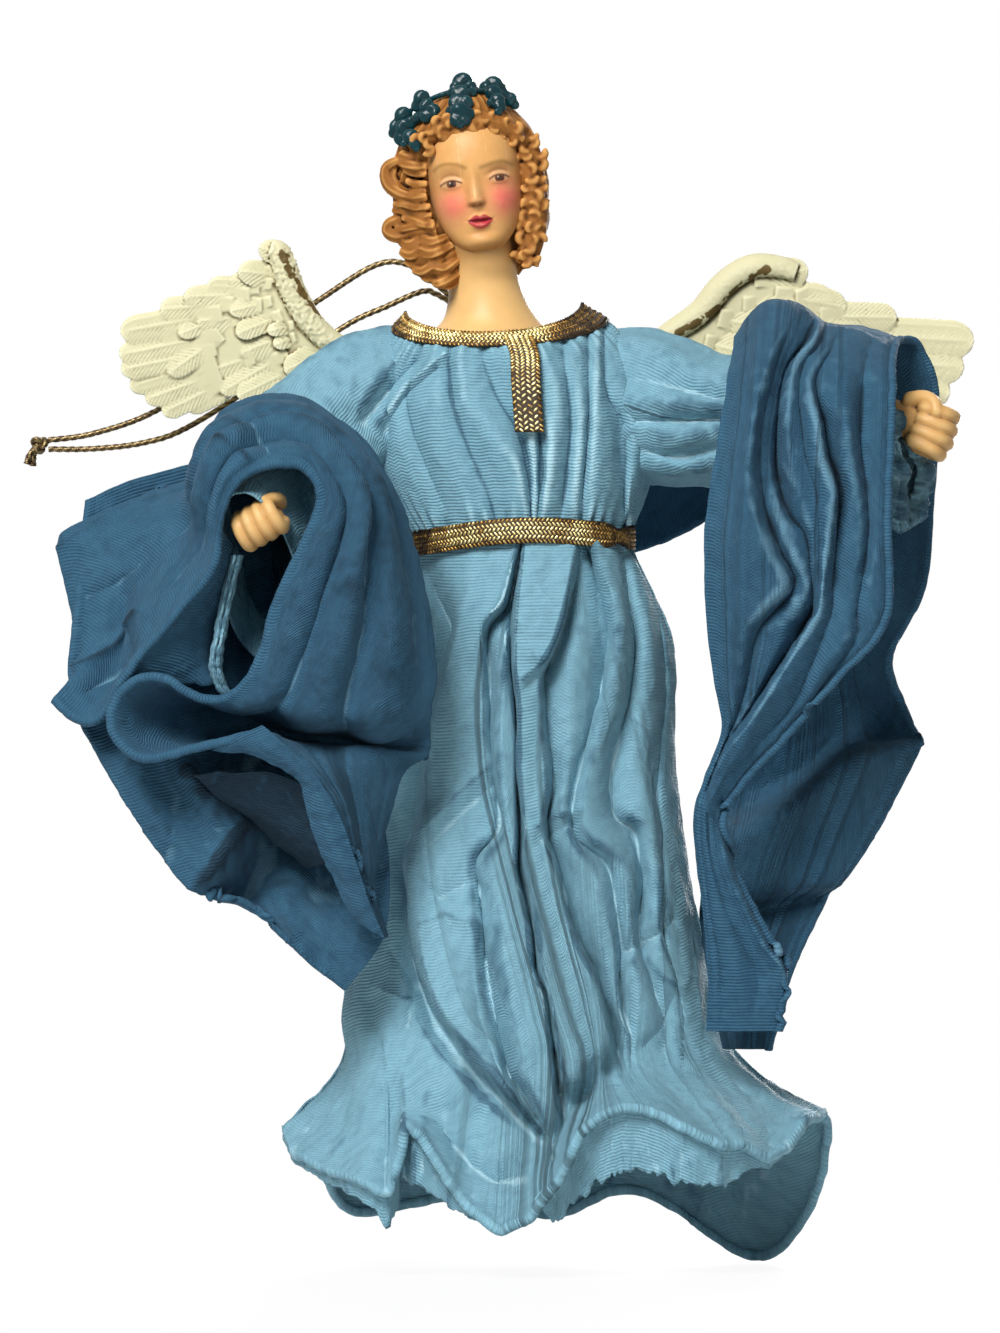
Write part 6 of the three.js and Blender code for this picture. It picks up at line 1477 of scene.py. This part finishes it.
# Hair: a wavy mass with grooved locks on the left, small curls on the right and over the brow
SIDE_LOCKS = [
    ([(-15.0, 8.5), (-17.5, 7.6), (-18.3, 5.7), (-17.8, 3.4), (-15.9, 1.4), (-13.1, 0.1), (-10.1, 0.0)],
     1.15),
    ([(-16.1, 7.2), (-16.7, 5.2), (-16.1, 3.2), (-14.0, 1.5), (-10.1, 1.2)], 0.75),
    ([(-15.4, 8.9), (-13.8, 7.5), (-11.6, 6.7), (-9.3, 6.4)], 1.1),
    ([(-14.7, 9.9), (-12.4, 8.6), (-9.6, 7.9)], 0.9),
    ([(-14.4, 6.3), (-12.4, 5.4), (-9.7, 4.7)], 0.7),
    ([(-14.2, 4.2), (-12.4, 3.1), (-9.7, 2.7)], 0.75),
    ([(-17.4, -0.7), (-15.3, -0.8), (-12.6, -1.9), (-9.6, -2.1)], 0.8),
    ([(-17.7, -1.8), (-15.1, -2.3), (-12.5, -3.7), (-9.5, -3.8)], 0.85),
    ([(-16.0, -3.6), (-13.3, -4.6), (-11.3, -5.7), (-9.3, -5.5)], 0.85),
    ([(-16.0, -3.7), (-18.4, -4.3), (-19.3, -5.7), (-18.4, -7.0), (-16.5, -7.6), (-13.6, -7.2),
      (-9.0, -7.4)], 1.15),
    ([(-17.6, -5.3), (-15.9, -5.9), (-13.1, -5.9), (-9.3, -6.3)], 0.9),
    ([(-16.9, -8.6), (-14.6, -9.4), (-12.2, -8.7), (-9.8, -9.6), (-6.5, -8.8)], 1.25),
    ([(-16.9, -10.4), (-15.0, -11.6), (-12.6, -11.0), (-10.2, -11.9), (-6.0, -10.6)], 1.3),
    ([(-16.2, -12.6), (-14.2, -13.6), (-11.8, -12.9), (-9.4, -13.8), (-5.5, -12.2)], 1.25),
    ([(-15.0, -14.6), (-12.8, -15.4), (-10.6, -14.8), (-8.4, -15.4), (-5.0, -13.6)], 1.2),
    ([(-13.2, -16.4), (-11.2, -17.0), (-9.2, -16.4), (-5.0, -15.0)], 1.1),
    ([(-11.0, -17.9), (-9.2, -18.3), (-5.4, -16.6)], 1.0),
    ([(-9.2, -18.8), (-7.6, -19.0), (-5.6, -17.8)], 0.8),
]
RIGHT_CURLS = [(11.6, 9.8), (12.4, 6), (12.3, 2), (12.4, -2), (12.0, -6), (11.2, -10), (9.9, -13.6),
               (8.6, -16.4)]
BROW_CURLS = [(10.8, 9.6), (8.4, 11.9), (5.1, 13.8), (1.8, 14.9), (-1.4, 15.0), (-4.6, 14.3), (-7.4, 12.9),
              (-9.6, 11.0)]
# Height, left side, right side and back of the mass, then height and front
HAIR_ROWS = [
    (-19, -8.2, 6.5, 6), (-16, -11.8, 9, 9.5), (-13.7, -13.4, 10.8, 11), (-8, -16.2, 13.3, 13),
    (-2.3, -15.6, 14.1, 13.6), (3.8, -16.4, 13.8, 14.4), (9, -14.4, 13.0, 14.2), (13, -13.2, 11.2, 13),
    (17, -10, 8.8, 10.4), (20, -6, 5.6, 6.6), (22, -1, 1, 1),
]
HAIR_FRONT = [(-19, 1), (-8, 2.5), (4, 4), (9, 7.2), (12.5, 10.6), (16, 9.4), (20, 6), (22, 0.8)]
BACK_LOCKS = 22


def on_brow(x, z, lift):
    """The front of the hair cap at a place in the front view."""
    reach = 1 - ((x + 0.8) / 15.5) ** 2 - ((z - 5) / 18.0) ** 2
    return 1.5 - 13.6 * math.sqrt(max(0.02, reach)) - lift


locks = Parts()
rows = np.linspace(-19, 21.9, 130)[:, None]
a = np.linspace(0, 2 * math.pi, 180, endpoint=False)[None, :]
left, right, behind = profiles(HAIR_ROWS, rows)
centre, half = (left + right) / 2, (right - left) / 2
fore = np.minimum(behind, profiles(HAIR_FRONT, rows)[0])
wave = 0.55 * np.sin(9 * a + 1.6 * np.sin(0.55 * rows))
wave = wave + 0.4 * np.sin(23 * a + 2.2 * np.sin(0.55 * rows + 0.6))
swell = 0.5 * np.sin(0.95 * rows + 2.0 * np.cos(2 * a))
out = (wave + swell) * smooth(22, 18, rows) * smooth(-19.5, -17, rows)
deep = np.where(np.sin(a) > 0, behind + out, fore + 0.6 * out)
mass = np.stack([centre + (half + out) * np.cos(a), deep * np.sin(a), rows + 0 * a], -1)
locks.add(from_face(mass), 0.75 * wave + 0.5 * swell)
for i, (path, radius) in enumerate(SIDE_LOCKS):
    line = along(path, np.linspace(0, 1, 44))
    depth = -5.6 + 0.5 * np.abs(-9.3 - line[:, 0]) + 0.7 * (i % 2) + 0.35 * np.sin(1.3 * line[:, 0] + i)
    spine = np.stack([line[:, 0], depth, line[:, 1]], -1)
    taper = np.sin(math.pi * np.linspace(0.06, 0.94, 44)) ** 0.35
    ring, groove = tube_grid(spine, radius * taper, 22, 6, 0.13, 0.15, 1.25)
    locks.add(from_face(ring), groove * 0.8 + 0.25)


def curl(x, y, z, size):
    """A short comma of hair, half sunk in the mass under it."""
    t = np.linspace(0, 1, 24)
    angle = scatter.uniform(0, 2 * math.pi) + scatter.choice([-1, 1]) * 3.3 * t
    r = size * (1 - 0.3 * t)
    path = np.stack([x + r * np.cos(angle), y + 0.35 - 0.25 * size * t, z + r * np.sin(angle)], -1)
    thick = 0.78 * size * np.sin(math.pi * np.linspace(0.1, 0.92, 24)) ** 0.5
    locks.add(from_face(tube_grid(path, thick, 16)[0]), 0.0)


def curly(line, radius, front, pitch, offsets, sizes):
    """A roll of hair along a line of the front view, set all over with curls."""
    count = int(np.linalg.norm(np.diff(np.asarray(line), axis=0), axis=1).sum() / pitch)
    dense = along(line, np.linspace(0, 1, 60))
    spine = np.stack([dense[:, 0], front(dense) + radius, dense[:, 1]], -1)
    thick = radius * np.sin(math.pi * np.linspace(0.12, 0.88, 60)) ** 0.3
    locks.add(from_face(tube_grid(spine, thick, 24)[0]), 0.0)
    spots = along(line, np.linspace(0, 1, count))
    for at, ahead in zip(spots, np.gradient(spots, axis=0)):
        ahead = unit(ahead)
        for offset in offsets:
            step = offset + 0.3 * scatter.standard_normal()
            spot = at + step * np.array([-ahead[1], ahead[0]]) + 0.3 * scatter.standard_normal() * ahead
            depth = front(at[None])[0] + radius - math.sqrt(max(0.2, radius ** 2 - step ** 2))
            curl(spot[0], depth, spot[1], scatter.uniform(*sizes))


scatter = np.random.default_rng(23)
curly(RIGHT_CURLS, 2.9, lambda at: np.full(len(at), -6.0), 1.9, (-1.9, -0.2, 1.6), (0.85, 1.3))
curly(BROW_CURLS, 2.1, lambda at: np.array([on_brow(x, z, 0.6) for x, z in at]), 1.7, (-1.1, 0.9),
      (0.85, 1.2))
down = np.linspace(20.5, -17, 60)
left, right, behind = profiles(HAIR_ROWS, down)
for i in range(BACK_LOCKS):
    side = 1.35 * (2 * i / (BACK_LOCKS - 1) - 1)
    sway = side + 0.09 * np.sin(0.62 * down + 0.9 * math.sin(1.9 * i))
    spine = np.stack([(-left if side < 0 else right) * np.sin(sway), behind * np.cos(sway), down], -1)
    thick = 1.75 * np.sin(math.pi * np.linspace(0.05, 0.95, 60)) ** 0.4
    ring, groove = tube_grid(spine, thick, 20, 6, 0.14, 0.12)
    locks.add(from_face(ring), groove * 0.8 + 0.15)
cast(locks.build("hair_locks", HAIR, nodes=["hair"], slot="hair_paint"), 0.24, 6)

# Wreath: glossy lobed leaves on short stems over the brow
LEAVES = [
    [(-8.7, 20.9, 1.58), (-7.8, 18.8, 1.48), (-9.8, 19.4, 1.23), (-6.6, 17.8, 1.34), (-8.2, 16.7, 1.27),
     (-10.0, 16.8, 1.06), (-13.0, 17.7, 1.69), (-14.7, 15.6, 1.41), (-13.0, 15.0, 1.76),
     (-11.5, 15.9, 1.23), (-15.6, 14.3, 0.98), (-14.0, 13.0, 1.48), (-12.0, 12.8, 1.58), (-11.3, 11.3, 1.2),
     (-11.1, 10.2, 0.7), (-13.6, 11.7, 0.77)],
    [(0.2, 23.0, 1.93), (-1.3, 22.1, 1.27), (1.7, 21.7, 1.34), (-2.0, 21.0, 1.13), (1.9, 20.6, 0.98),
     (-0.5, 20.4, 1.76), (-1.6, 18.8, 1.55), (0.2, 18.4, 1.55), (-2.9, 17.0, 1.13), (-1.0, 16.5, 1.93),
     (0.7, 16.0, 1.2), (-2.0, 15.1, 1.34), (-0.3, 14.9, 1.2), (-1.3, 13.8, 0.7)],
    [(6.6, 21.6, 1.83), (5.0, 21.3, 1.34), (7.9, 20.9, 1.2), (6.4, 19.9, 1.62), (8.4, 19.3, 1.27),
     (9.7, 18.4, 1.34), (10.6, 17.1, 0.91), (6.9, 18.1, 1.55), (5.6, 18.0, 0.84), (7.4, 16.9, 1.2),
     (6.9, 15.8, 0.84)],
]
STEMS = [[(-7.4, 20.2), (-4.8, 20.9), (-1.6, 21.4)], [(-10.0, 16.8), (-8.2, 16.9), (-6.0, 17.0)],
         [(1.9, 21.3), (3.6, 20.8), (5.1, 20.9)]]
leaves = Parts()
for i, group in enumerate(LEAVES):
    for j, (x, z, r) in enumerate(group):
        lobe = ball((0, 0, 0), (1.2, 0.55, 1.2), 16, 22) * r
        ripple = 0.1 * r * np.sin(3.2 * lobe[..., 0] / r + j) * np.cos(2.6 * lobe[..., 2] / r + i)
        lobe[..., 1] += ripple
        leaves.add(from_face(lobe + [x, on_brow(x, z, 0.45 * r + 0.5), z]), 1.2 * ripple / r - 0.15)
for stem_path in STEMS:
    line = along(stem_path, np.linspace(0, 1, 20))
    spine = np.array([(x, on_brow(x, z, 0.8), z) for x, z in line])
    ring, groove = tube_grid(spine, 0.62, 12, 3, 0.1, 0.4)
    leaves.add(from_face(ring), 0.3 * groove - 0.2)
cast(leaves.build("wreath_leaves", LEAF, nodes=["leaf_wreath"], slot="leaf_gloss"), 0.22, 12)

# Wings: broad barbed feathers cast in one with a rough leading edge; base x and z, tip x and z, width
WING_Y = 17.0
STAIN_WIDTH = 0.75
LEFT_WING = [
    [(-63.3, 200.8, -84.8, 196.8, 6.6), (-64.1, 196.2, -85.1, 192.0, 5.4),
     (-64.5, 193.2, -84.7, 188.8, 5.2), (-64.5, 190.7, -82.8, 185.2, 5.2),
     (-63.7, 188.2, -79.5, 182.5, 5.2), (-62.9, 186.1, -75.9, 179.7, 5.0),
     (-60.7, 185.2, -70.5, 180.4, 4.4), (-60.7, 202.9, -76.4, 201.7, 5.4),
     (-57.4, 204.9, -71.3, 204.4, 5.0), (-55.3, 206.2, -66.4, 206.7, 4.8),
     (-52.7, 207.0, -61.4, 208.0, 4.4), (-59.1, 200.0, -68.3, 199.2, 6.0),
     (-54.8, 202.5, -63.3, 202.5, 5.6), (-56.5, 191.6, -65.0, 189.0, 6.0),
     (-50.6, 195.8, -59.1, 192.4, 6.0)],
    [(-63.3, 196.2, -74.6, 188.0, 5.2), (-65.0, 199.2, -72.4, 196.4, 3.8),
     (-51.5, 208.9, -59.8, 209.9, 6.0), (-49.0, 212.9, -55.4, 214.9, 5.4),
     (-49.4, 192.4, -63.3, 184.0, 4.4), (-52.7, 203.4, -61.6, 201.3, 4.0)],
    [(-50.6, 200.4, -60.2, 196.4, 4.6), (-47.7, 195.8, -52.3, 194.1, 3.6),
     (-48.1, 189.0, -59.9, 183.1, 4.4), (-46.0, 185.7, -54.0, 183.1, 4.6),
     (-40.5, 192.8, -50.0, 188.6, 6.0), (-48.1, 198.3, -53.6, 197.0, 3.2)],
]
RIGHT_WING = [
    [(49.8, 208.0, 61.3, 210.1, 6.9), (54.3, 204.7, 69.3, 202.1, 6.9), (63.9, 200.2, 80.1, 200.0, 6.6),
     (65.4, 196.5, 96.5, 195.0, 8.8), (65.4, 192.0, 94.4, 189.3, 8.6), (63.9, 188.0, 91.4, 183.9, 8.6),
     (58.7, 203.5, 66.9, 203.5, 8.2), (61.0, 197.6, 72.8, 197.6, 9.2), (60.0, 186.0, 86.0, 180.6, 8.0),
     (54.0, 185.0, 78.0, 179.6, 8.0), (48.0, 186.0, 70.0, 180.5, 8.0)],
    [(47.6, 202.8, 58.7, 202.4, 5.8), (55.0, 198.3, 69.9, 195.4, 7.4)],
    [(42.4, 199.8, 55.0, 197.2, 7.2), (53.5, 195.4, 66.9, 192.4, 7.4), (39.4, 194.6, 49.8, 192.0, 6.5),
     (49.8, 190.5, 62.5, 186.8, 7.4)],
]
LEFT_EDGE = [(-34.5, 192.6), (-39.4, 194.6), (-43.6, 198.2), (-46.7, 202.8), (-48.9, 207.6), (-50.1, 211.6),
             (-51.2, 213.9), (-53.0, 214.6)]
RIGHT_EDGE = [(26.8, 193.4), (32.2, 197.0), (38.2, 201.2), (42.2, 206.0), (46.0, 209.2), (50.0, 211.0),
              (55.0, 210.8), (58.7, 209.6)]
LEFT_STAIN = [(-50.4, 213.7), (-48.7, 209.9), (-46.4, 205.5), (-43.4, 202.1), (-39.6, 198.9),
              (-35.4, 196.0)]
RIGHT_STAIN = [(32.0, 195.7), (40.2, 200.4), (45.4, 205.0), (49.8, 208.6), (52.4, 210.1)]
LEFT_WEB = [[(-37, 187), (-38, 194)], [(-45, 184), (-45, 202)], [(-52, 184), (-50, 211)],
            [(-60, 184), (-57, 209)], [(-68, 185), (-64, 204)], [(-77, 188), (-75, 199)]]
RIGHT_WEB = [[(28, 186), (28, 194)], [(38, 184), (38, 200)], [(50, 183), (48, 208)], [(62, 182), (60, 205)],
             [(75, 184), (73, 200)], [(86, 188), (85, 196)]]


def feather(into, base_x, base_z, tip_x, tip_z, width, y, lift, face):
    """A closed blade that rises out of the wing to a round tip, its lower edge over the next one."""
    base, tip = np.array([base_x, base_z]), np.array([tip_x, tip_z])
    length = np.linalg.norm(tip - base)
    ahead = (tip - base) / length
    aside = np.array([-ahead[1], ahead[0]])
    s = np.linspace(0, 1, 80)[:, None]
    w = np.concatenate([np.linspace(-1, 1, 31), np.linspace(1, -1, 7)[1:-1]])[None, :]
    front = np.concatenate([np.ones(31), np.zeros(5)])[None, :]
    round_from = max(0.25, 1 - 0.62 * width / length)
    end = np.clip((s - round_from) / (1 - round_from), 0, 1)
    half = width / 2 * (0.72 + 0.28 * smooth(0, 0.35, s)) * np.sqrt(np.maximum(0.0004, 1 - end**2.1))
    barb = np.sin(2 * math.pi * (s * length - 1.1 * np.abs(w) * half) / 1.02 + 0.8 * np.sin(7 * s))
    half = half * (1 + 0.03 * barb * smooth(0.8, 1, np.abs(w)))
    quill = np.exp(-((w / 0.12) ** 2)) * smooth(1.0, 0.85, s)
    dome = 0.07 * width * (1 - w * w) - 0.3 * aside[1] * w
    face_up = dome + 0.22 * quill + 0.17 * barb * (1 - quill) * smooth(1.0, 0.9, np.abs(w))
    height = np.where(front > 0.5, face_up, -1.0)
    height = height + lift * smooth(0.05, 0.8, s) - 0.5 * smooth(0.4, 0.0, s)
    spot = base + (s * length)[..., None] * ahead + (w * half)[..., None] * aside
    into.add(np.stack([spot[..., 0], y - face * height + 0 * spot[..., 0], spot[..., 1]], -1), 0.0)


def stain(made, line):
    """Leaves brown wash along a line on the front of a cast piece."""
    count = len(made.data.vertices)
    points = np.zeros(count * 3)
    made.data.vertices.foreach_get("co", points)
    points = points.reshape(-1, 3) / MM + EYE
    value = np.zeros(count)
    made.data.attributes["cavity"].data.foreach_get("value", value)
    dense = along(line, np.linspace(0, 1, 80))
    far = np.min(np.hypot(points[:, :1] - dense[:, 0], points[:, 2:] - dense[:, 1]), 1)
    patchy = smooth(-0.5, 0.35, noise(points * 0.45, 15) + 0.5 * noise(points * 1.3, 16))
    ahead = smooth(WING_Y + 0.5, WING_Y - 0.5, points[:, 1])
    value -= 0.75 * np.exp(-((far / STAIN_WIDTH) ** 2)) * patchy * ahead
    made.data.attributes["cavity"].data.foreach_set("value", value.astype(np.float32))


def wing(name, layers, edge, web, rough, line, nodes):
    vanes = Parts()
    for face, first in ((1, WING_Y + 0.9), (-1, WING_Y + 1.5)):
        for i, layer in enumerate(layers):
            for j, row in enumerate(layer):
                feather(vanes, *row, first, 0.7 * i + 0.16 * (j % 3), face)
    flat = patch([[(x, WING_Y + 1.2, z) for x, z in row] for row in web], 30, 60)
    vanes.add(np.concatenate([flat - [0, 0.8, 0], flat[:, ::-1] + [0, 0.8, 0]], 1), 0.0)
    core = along([(x, WING_Y + 0.4, z) for x, z in edge], np.linspace(0, 1, 170))
    ring, _ = tube_grid(core, 1.95 * np.sin(math.pi * np.linspace(0.15, 0.85, 170)) ** 0.4, 60, flat=1.45)
    lumps = noise(ring * 1.1, 13) + 0.8 * noise(ring * 2.1, 14)
    margin = smooth(0.6, 1.6, ring[..., 2] - core[:, None, 2])
    ring = core[:, None] + (ring - core[:, None]) * (1 + rough * ((1 - margin) * lumps)[..., None])
    vanes.add(ring, 0.0)
    made = vanes.build(name, WING, nodes=nodes, slot="wing_paint")
    cast(made, 0.22, 2)
    stain(made, line)


wing("left_wing_feathers", LEFT_WING, LEFT_EDGE, LEFT_WEB, 0.16, LEFT_STAIN, ["left_wing"])
wing("right_wing_feathers", RIGHT_WING, RIGHT_EDGE, RIGHT_WEB, 0.05, RIGHT_STAIN, ["right_wing"])


# Hands: closed fists with the fingers curled over the palm
def fist(name, wrist, ahead, across, size, nodes):
    ahead, across = unit(np.array(ahead, float)), unit(np.array(across, float))
    across = unit(across - ahead * (across @ ahead))
    inward = np.cross(ahead, across)
    basis = np.stack([ahead, across, inward])
    flesh = Parts()

    def put(form):
        flesh.add(wrist + size * (form - wrist), 0.0)

    def limb(points, radius, count=24):
        path = wrist + along(points, np.linspace(0, 1, count)) @ basis
        put(tube_grid(path, radius, 16)[0])
        put(ball(path[0], [np.atleast_1d(radius)[0]] * 3))
        put(ball(path[-1], [np.atleast_1d(radius)[-1]] * 3))

    limb([(-8, 0, 0), (-2, 0, 0), (3, 0, 0)], np.linspace(3.1, 3.4, 24))
    put(wrist + (ball((0, 0, 0), (4.4, 4.9, 3.6), 16, 24) + [4.6, 0, -0.6]) @ basis)
    limb([(0.5, 3.9, 0.8), (3.2, 5.1, 1.8), (5.8, 4.8, 2.9), (7.2, 3.4, 3.4)], np.linspace(1.8, 1.35, 24))
    for i in range(4):
        r = (i - 1.5) * 2.45
        bend = 9.6 - 0.5 * abs(i - 1.3)
        limb([(4, r, -2.6), (bend - 1, 1.04 * r, -2.9), (bend + 0.5, 1.04 * r, -0.6), (bend - 0.4, r, 2.2),
              (5.2, 0.95 * r, 3.0), (3.9, 0.9 * r, 1.4)], np.linspace(1.62, 1.45, 30), 30)
    cast(flesh.build(name, HAND, nodes=nodes, slot="skin_paint"), 0.24, 9)


fist("left_fist", LEFT_WRIST, (-0.15, -1, -0.2), (0.85, 0, 0.5), 1.0, ["left_hand"])
fist("right_fist", RIGHT_WRIST + [-1, 0, -2.2], (1, -0.4, -0.38), (0.36, 0.05, 1), 1.08, ["right_hand"])

# White stage and floor
AMBIENT = 0.13
FLOOR_HALF = 0.5
FLOOR_GAP = 0.0012
FLOOR_GLOW = 0.93
FLOOR_FADE = (0.22, 0.5)
WHITE = (1, 1, 1, 1)
world = bpy.data.worlds.new("studio")
bpy.context.scene.world = world
world.use_nodes = True
tree = world.node_tree
tree.nodes.clear()
rays = tree.nodes.new("ShaderNodeLightPath").outputs
seen = rays["Is Camera Ray"]
for kind in ("Is Transmission Ray", "Is Glossy Ray"):
    either = tree.nodes.new("ShaderNodeMath")
    either.operation = "MAXIMUM"
    tree.links.new(seen, either.inputs[0])
    tree.links.new(rays[kind], either.inputs[1])
    seen = either.outputs[0]
ambient = tree.nodes.new("ShaderNodeBackground")
ambient.inputs["Strength"].default_value = AMBIENT
backdrop = tree.nodes.new("ShaderNodeBackground")
backdrop.inputs["Color"].default_value = WHITE
choose = tree.nodes.new("ShaderNodeMixShader")
sky = tree.nodes.new("ShaderNodeOutputWorld")
for socket, value in zip(choose.inputs, (seen, ambient.outputs[0], backdrop.outputs[0])):
    tree.links.new(value, socket)
tree.links.new(choose.outputs[0], sky.inputs["Surface"])

paper = Shader("paper")
glow = paper.node("ShaderNodeEmission")
glow.inputs["Color"].default_value = WHITE
bright = paper.math("MULTIPLY", paper.node("ShaderNodeLightPath").outputs["Is Camera Ray"], FLOOR_GLOW)
away = paper.node("ShaderNodeVectorMath", operation="LENGTH")
paper.link(paper.object_space(), away.inputs[0])
fade = paper.node("ShaderNodeMapRange", interpolation_type="SMOOTHSTEP")
fade.inputs["From Min"].default_value, fade.inputs["From Max"].default_value = FLOOR_FADE
paper.link(away.outputs["Value"], fade.inputs["Value"])
clear = paper.node("ShaderNodeBsdfTransparent")
lit = paper.node("ShaderNodeMixShader")
faded = paper.node("ShaderNodeMixShader")
for socket, value in zip(lit.inputs, (bright, paper.surface.outputs[0], glow.outputs[0])):
    paper.link(value, socket)
for socket, value in zip(faded.inputs, (fade.outputs["Result"], lit.outputs[0], clear.outputs[0])):
    paper.link(value, socket)
paper.link(faded.outputs[0], paper.tree.nodes["Material Output"].inputs["Surface"])
floor_mesh = bpy.data.meshes.new("floor")
corners = [(x * FLOOR_HALF, y * FLOOR_HALF, 0) for x, y in ((-1, -1), (1, -1), (1, 1), (-1, 1))]
floor_mesh.from_pydata(corners, [], [(0, 1, 2, 3)])
floor_mesh.materials.append(paper.material)
floor = bpy.data.objects.new("floor", floor_mesh)
floor.location = (0.01, -0.03, -EYE[2] * MM - FLOOR_GAP)
bpy.context.collection.objects.link(floor)
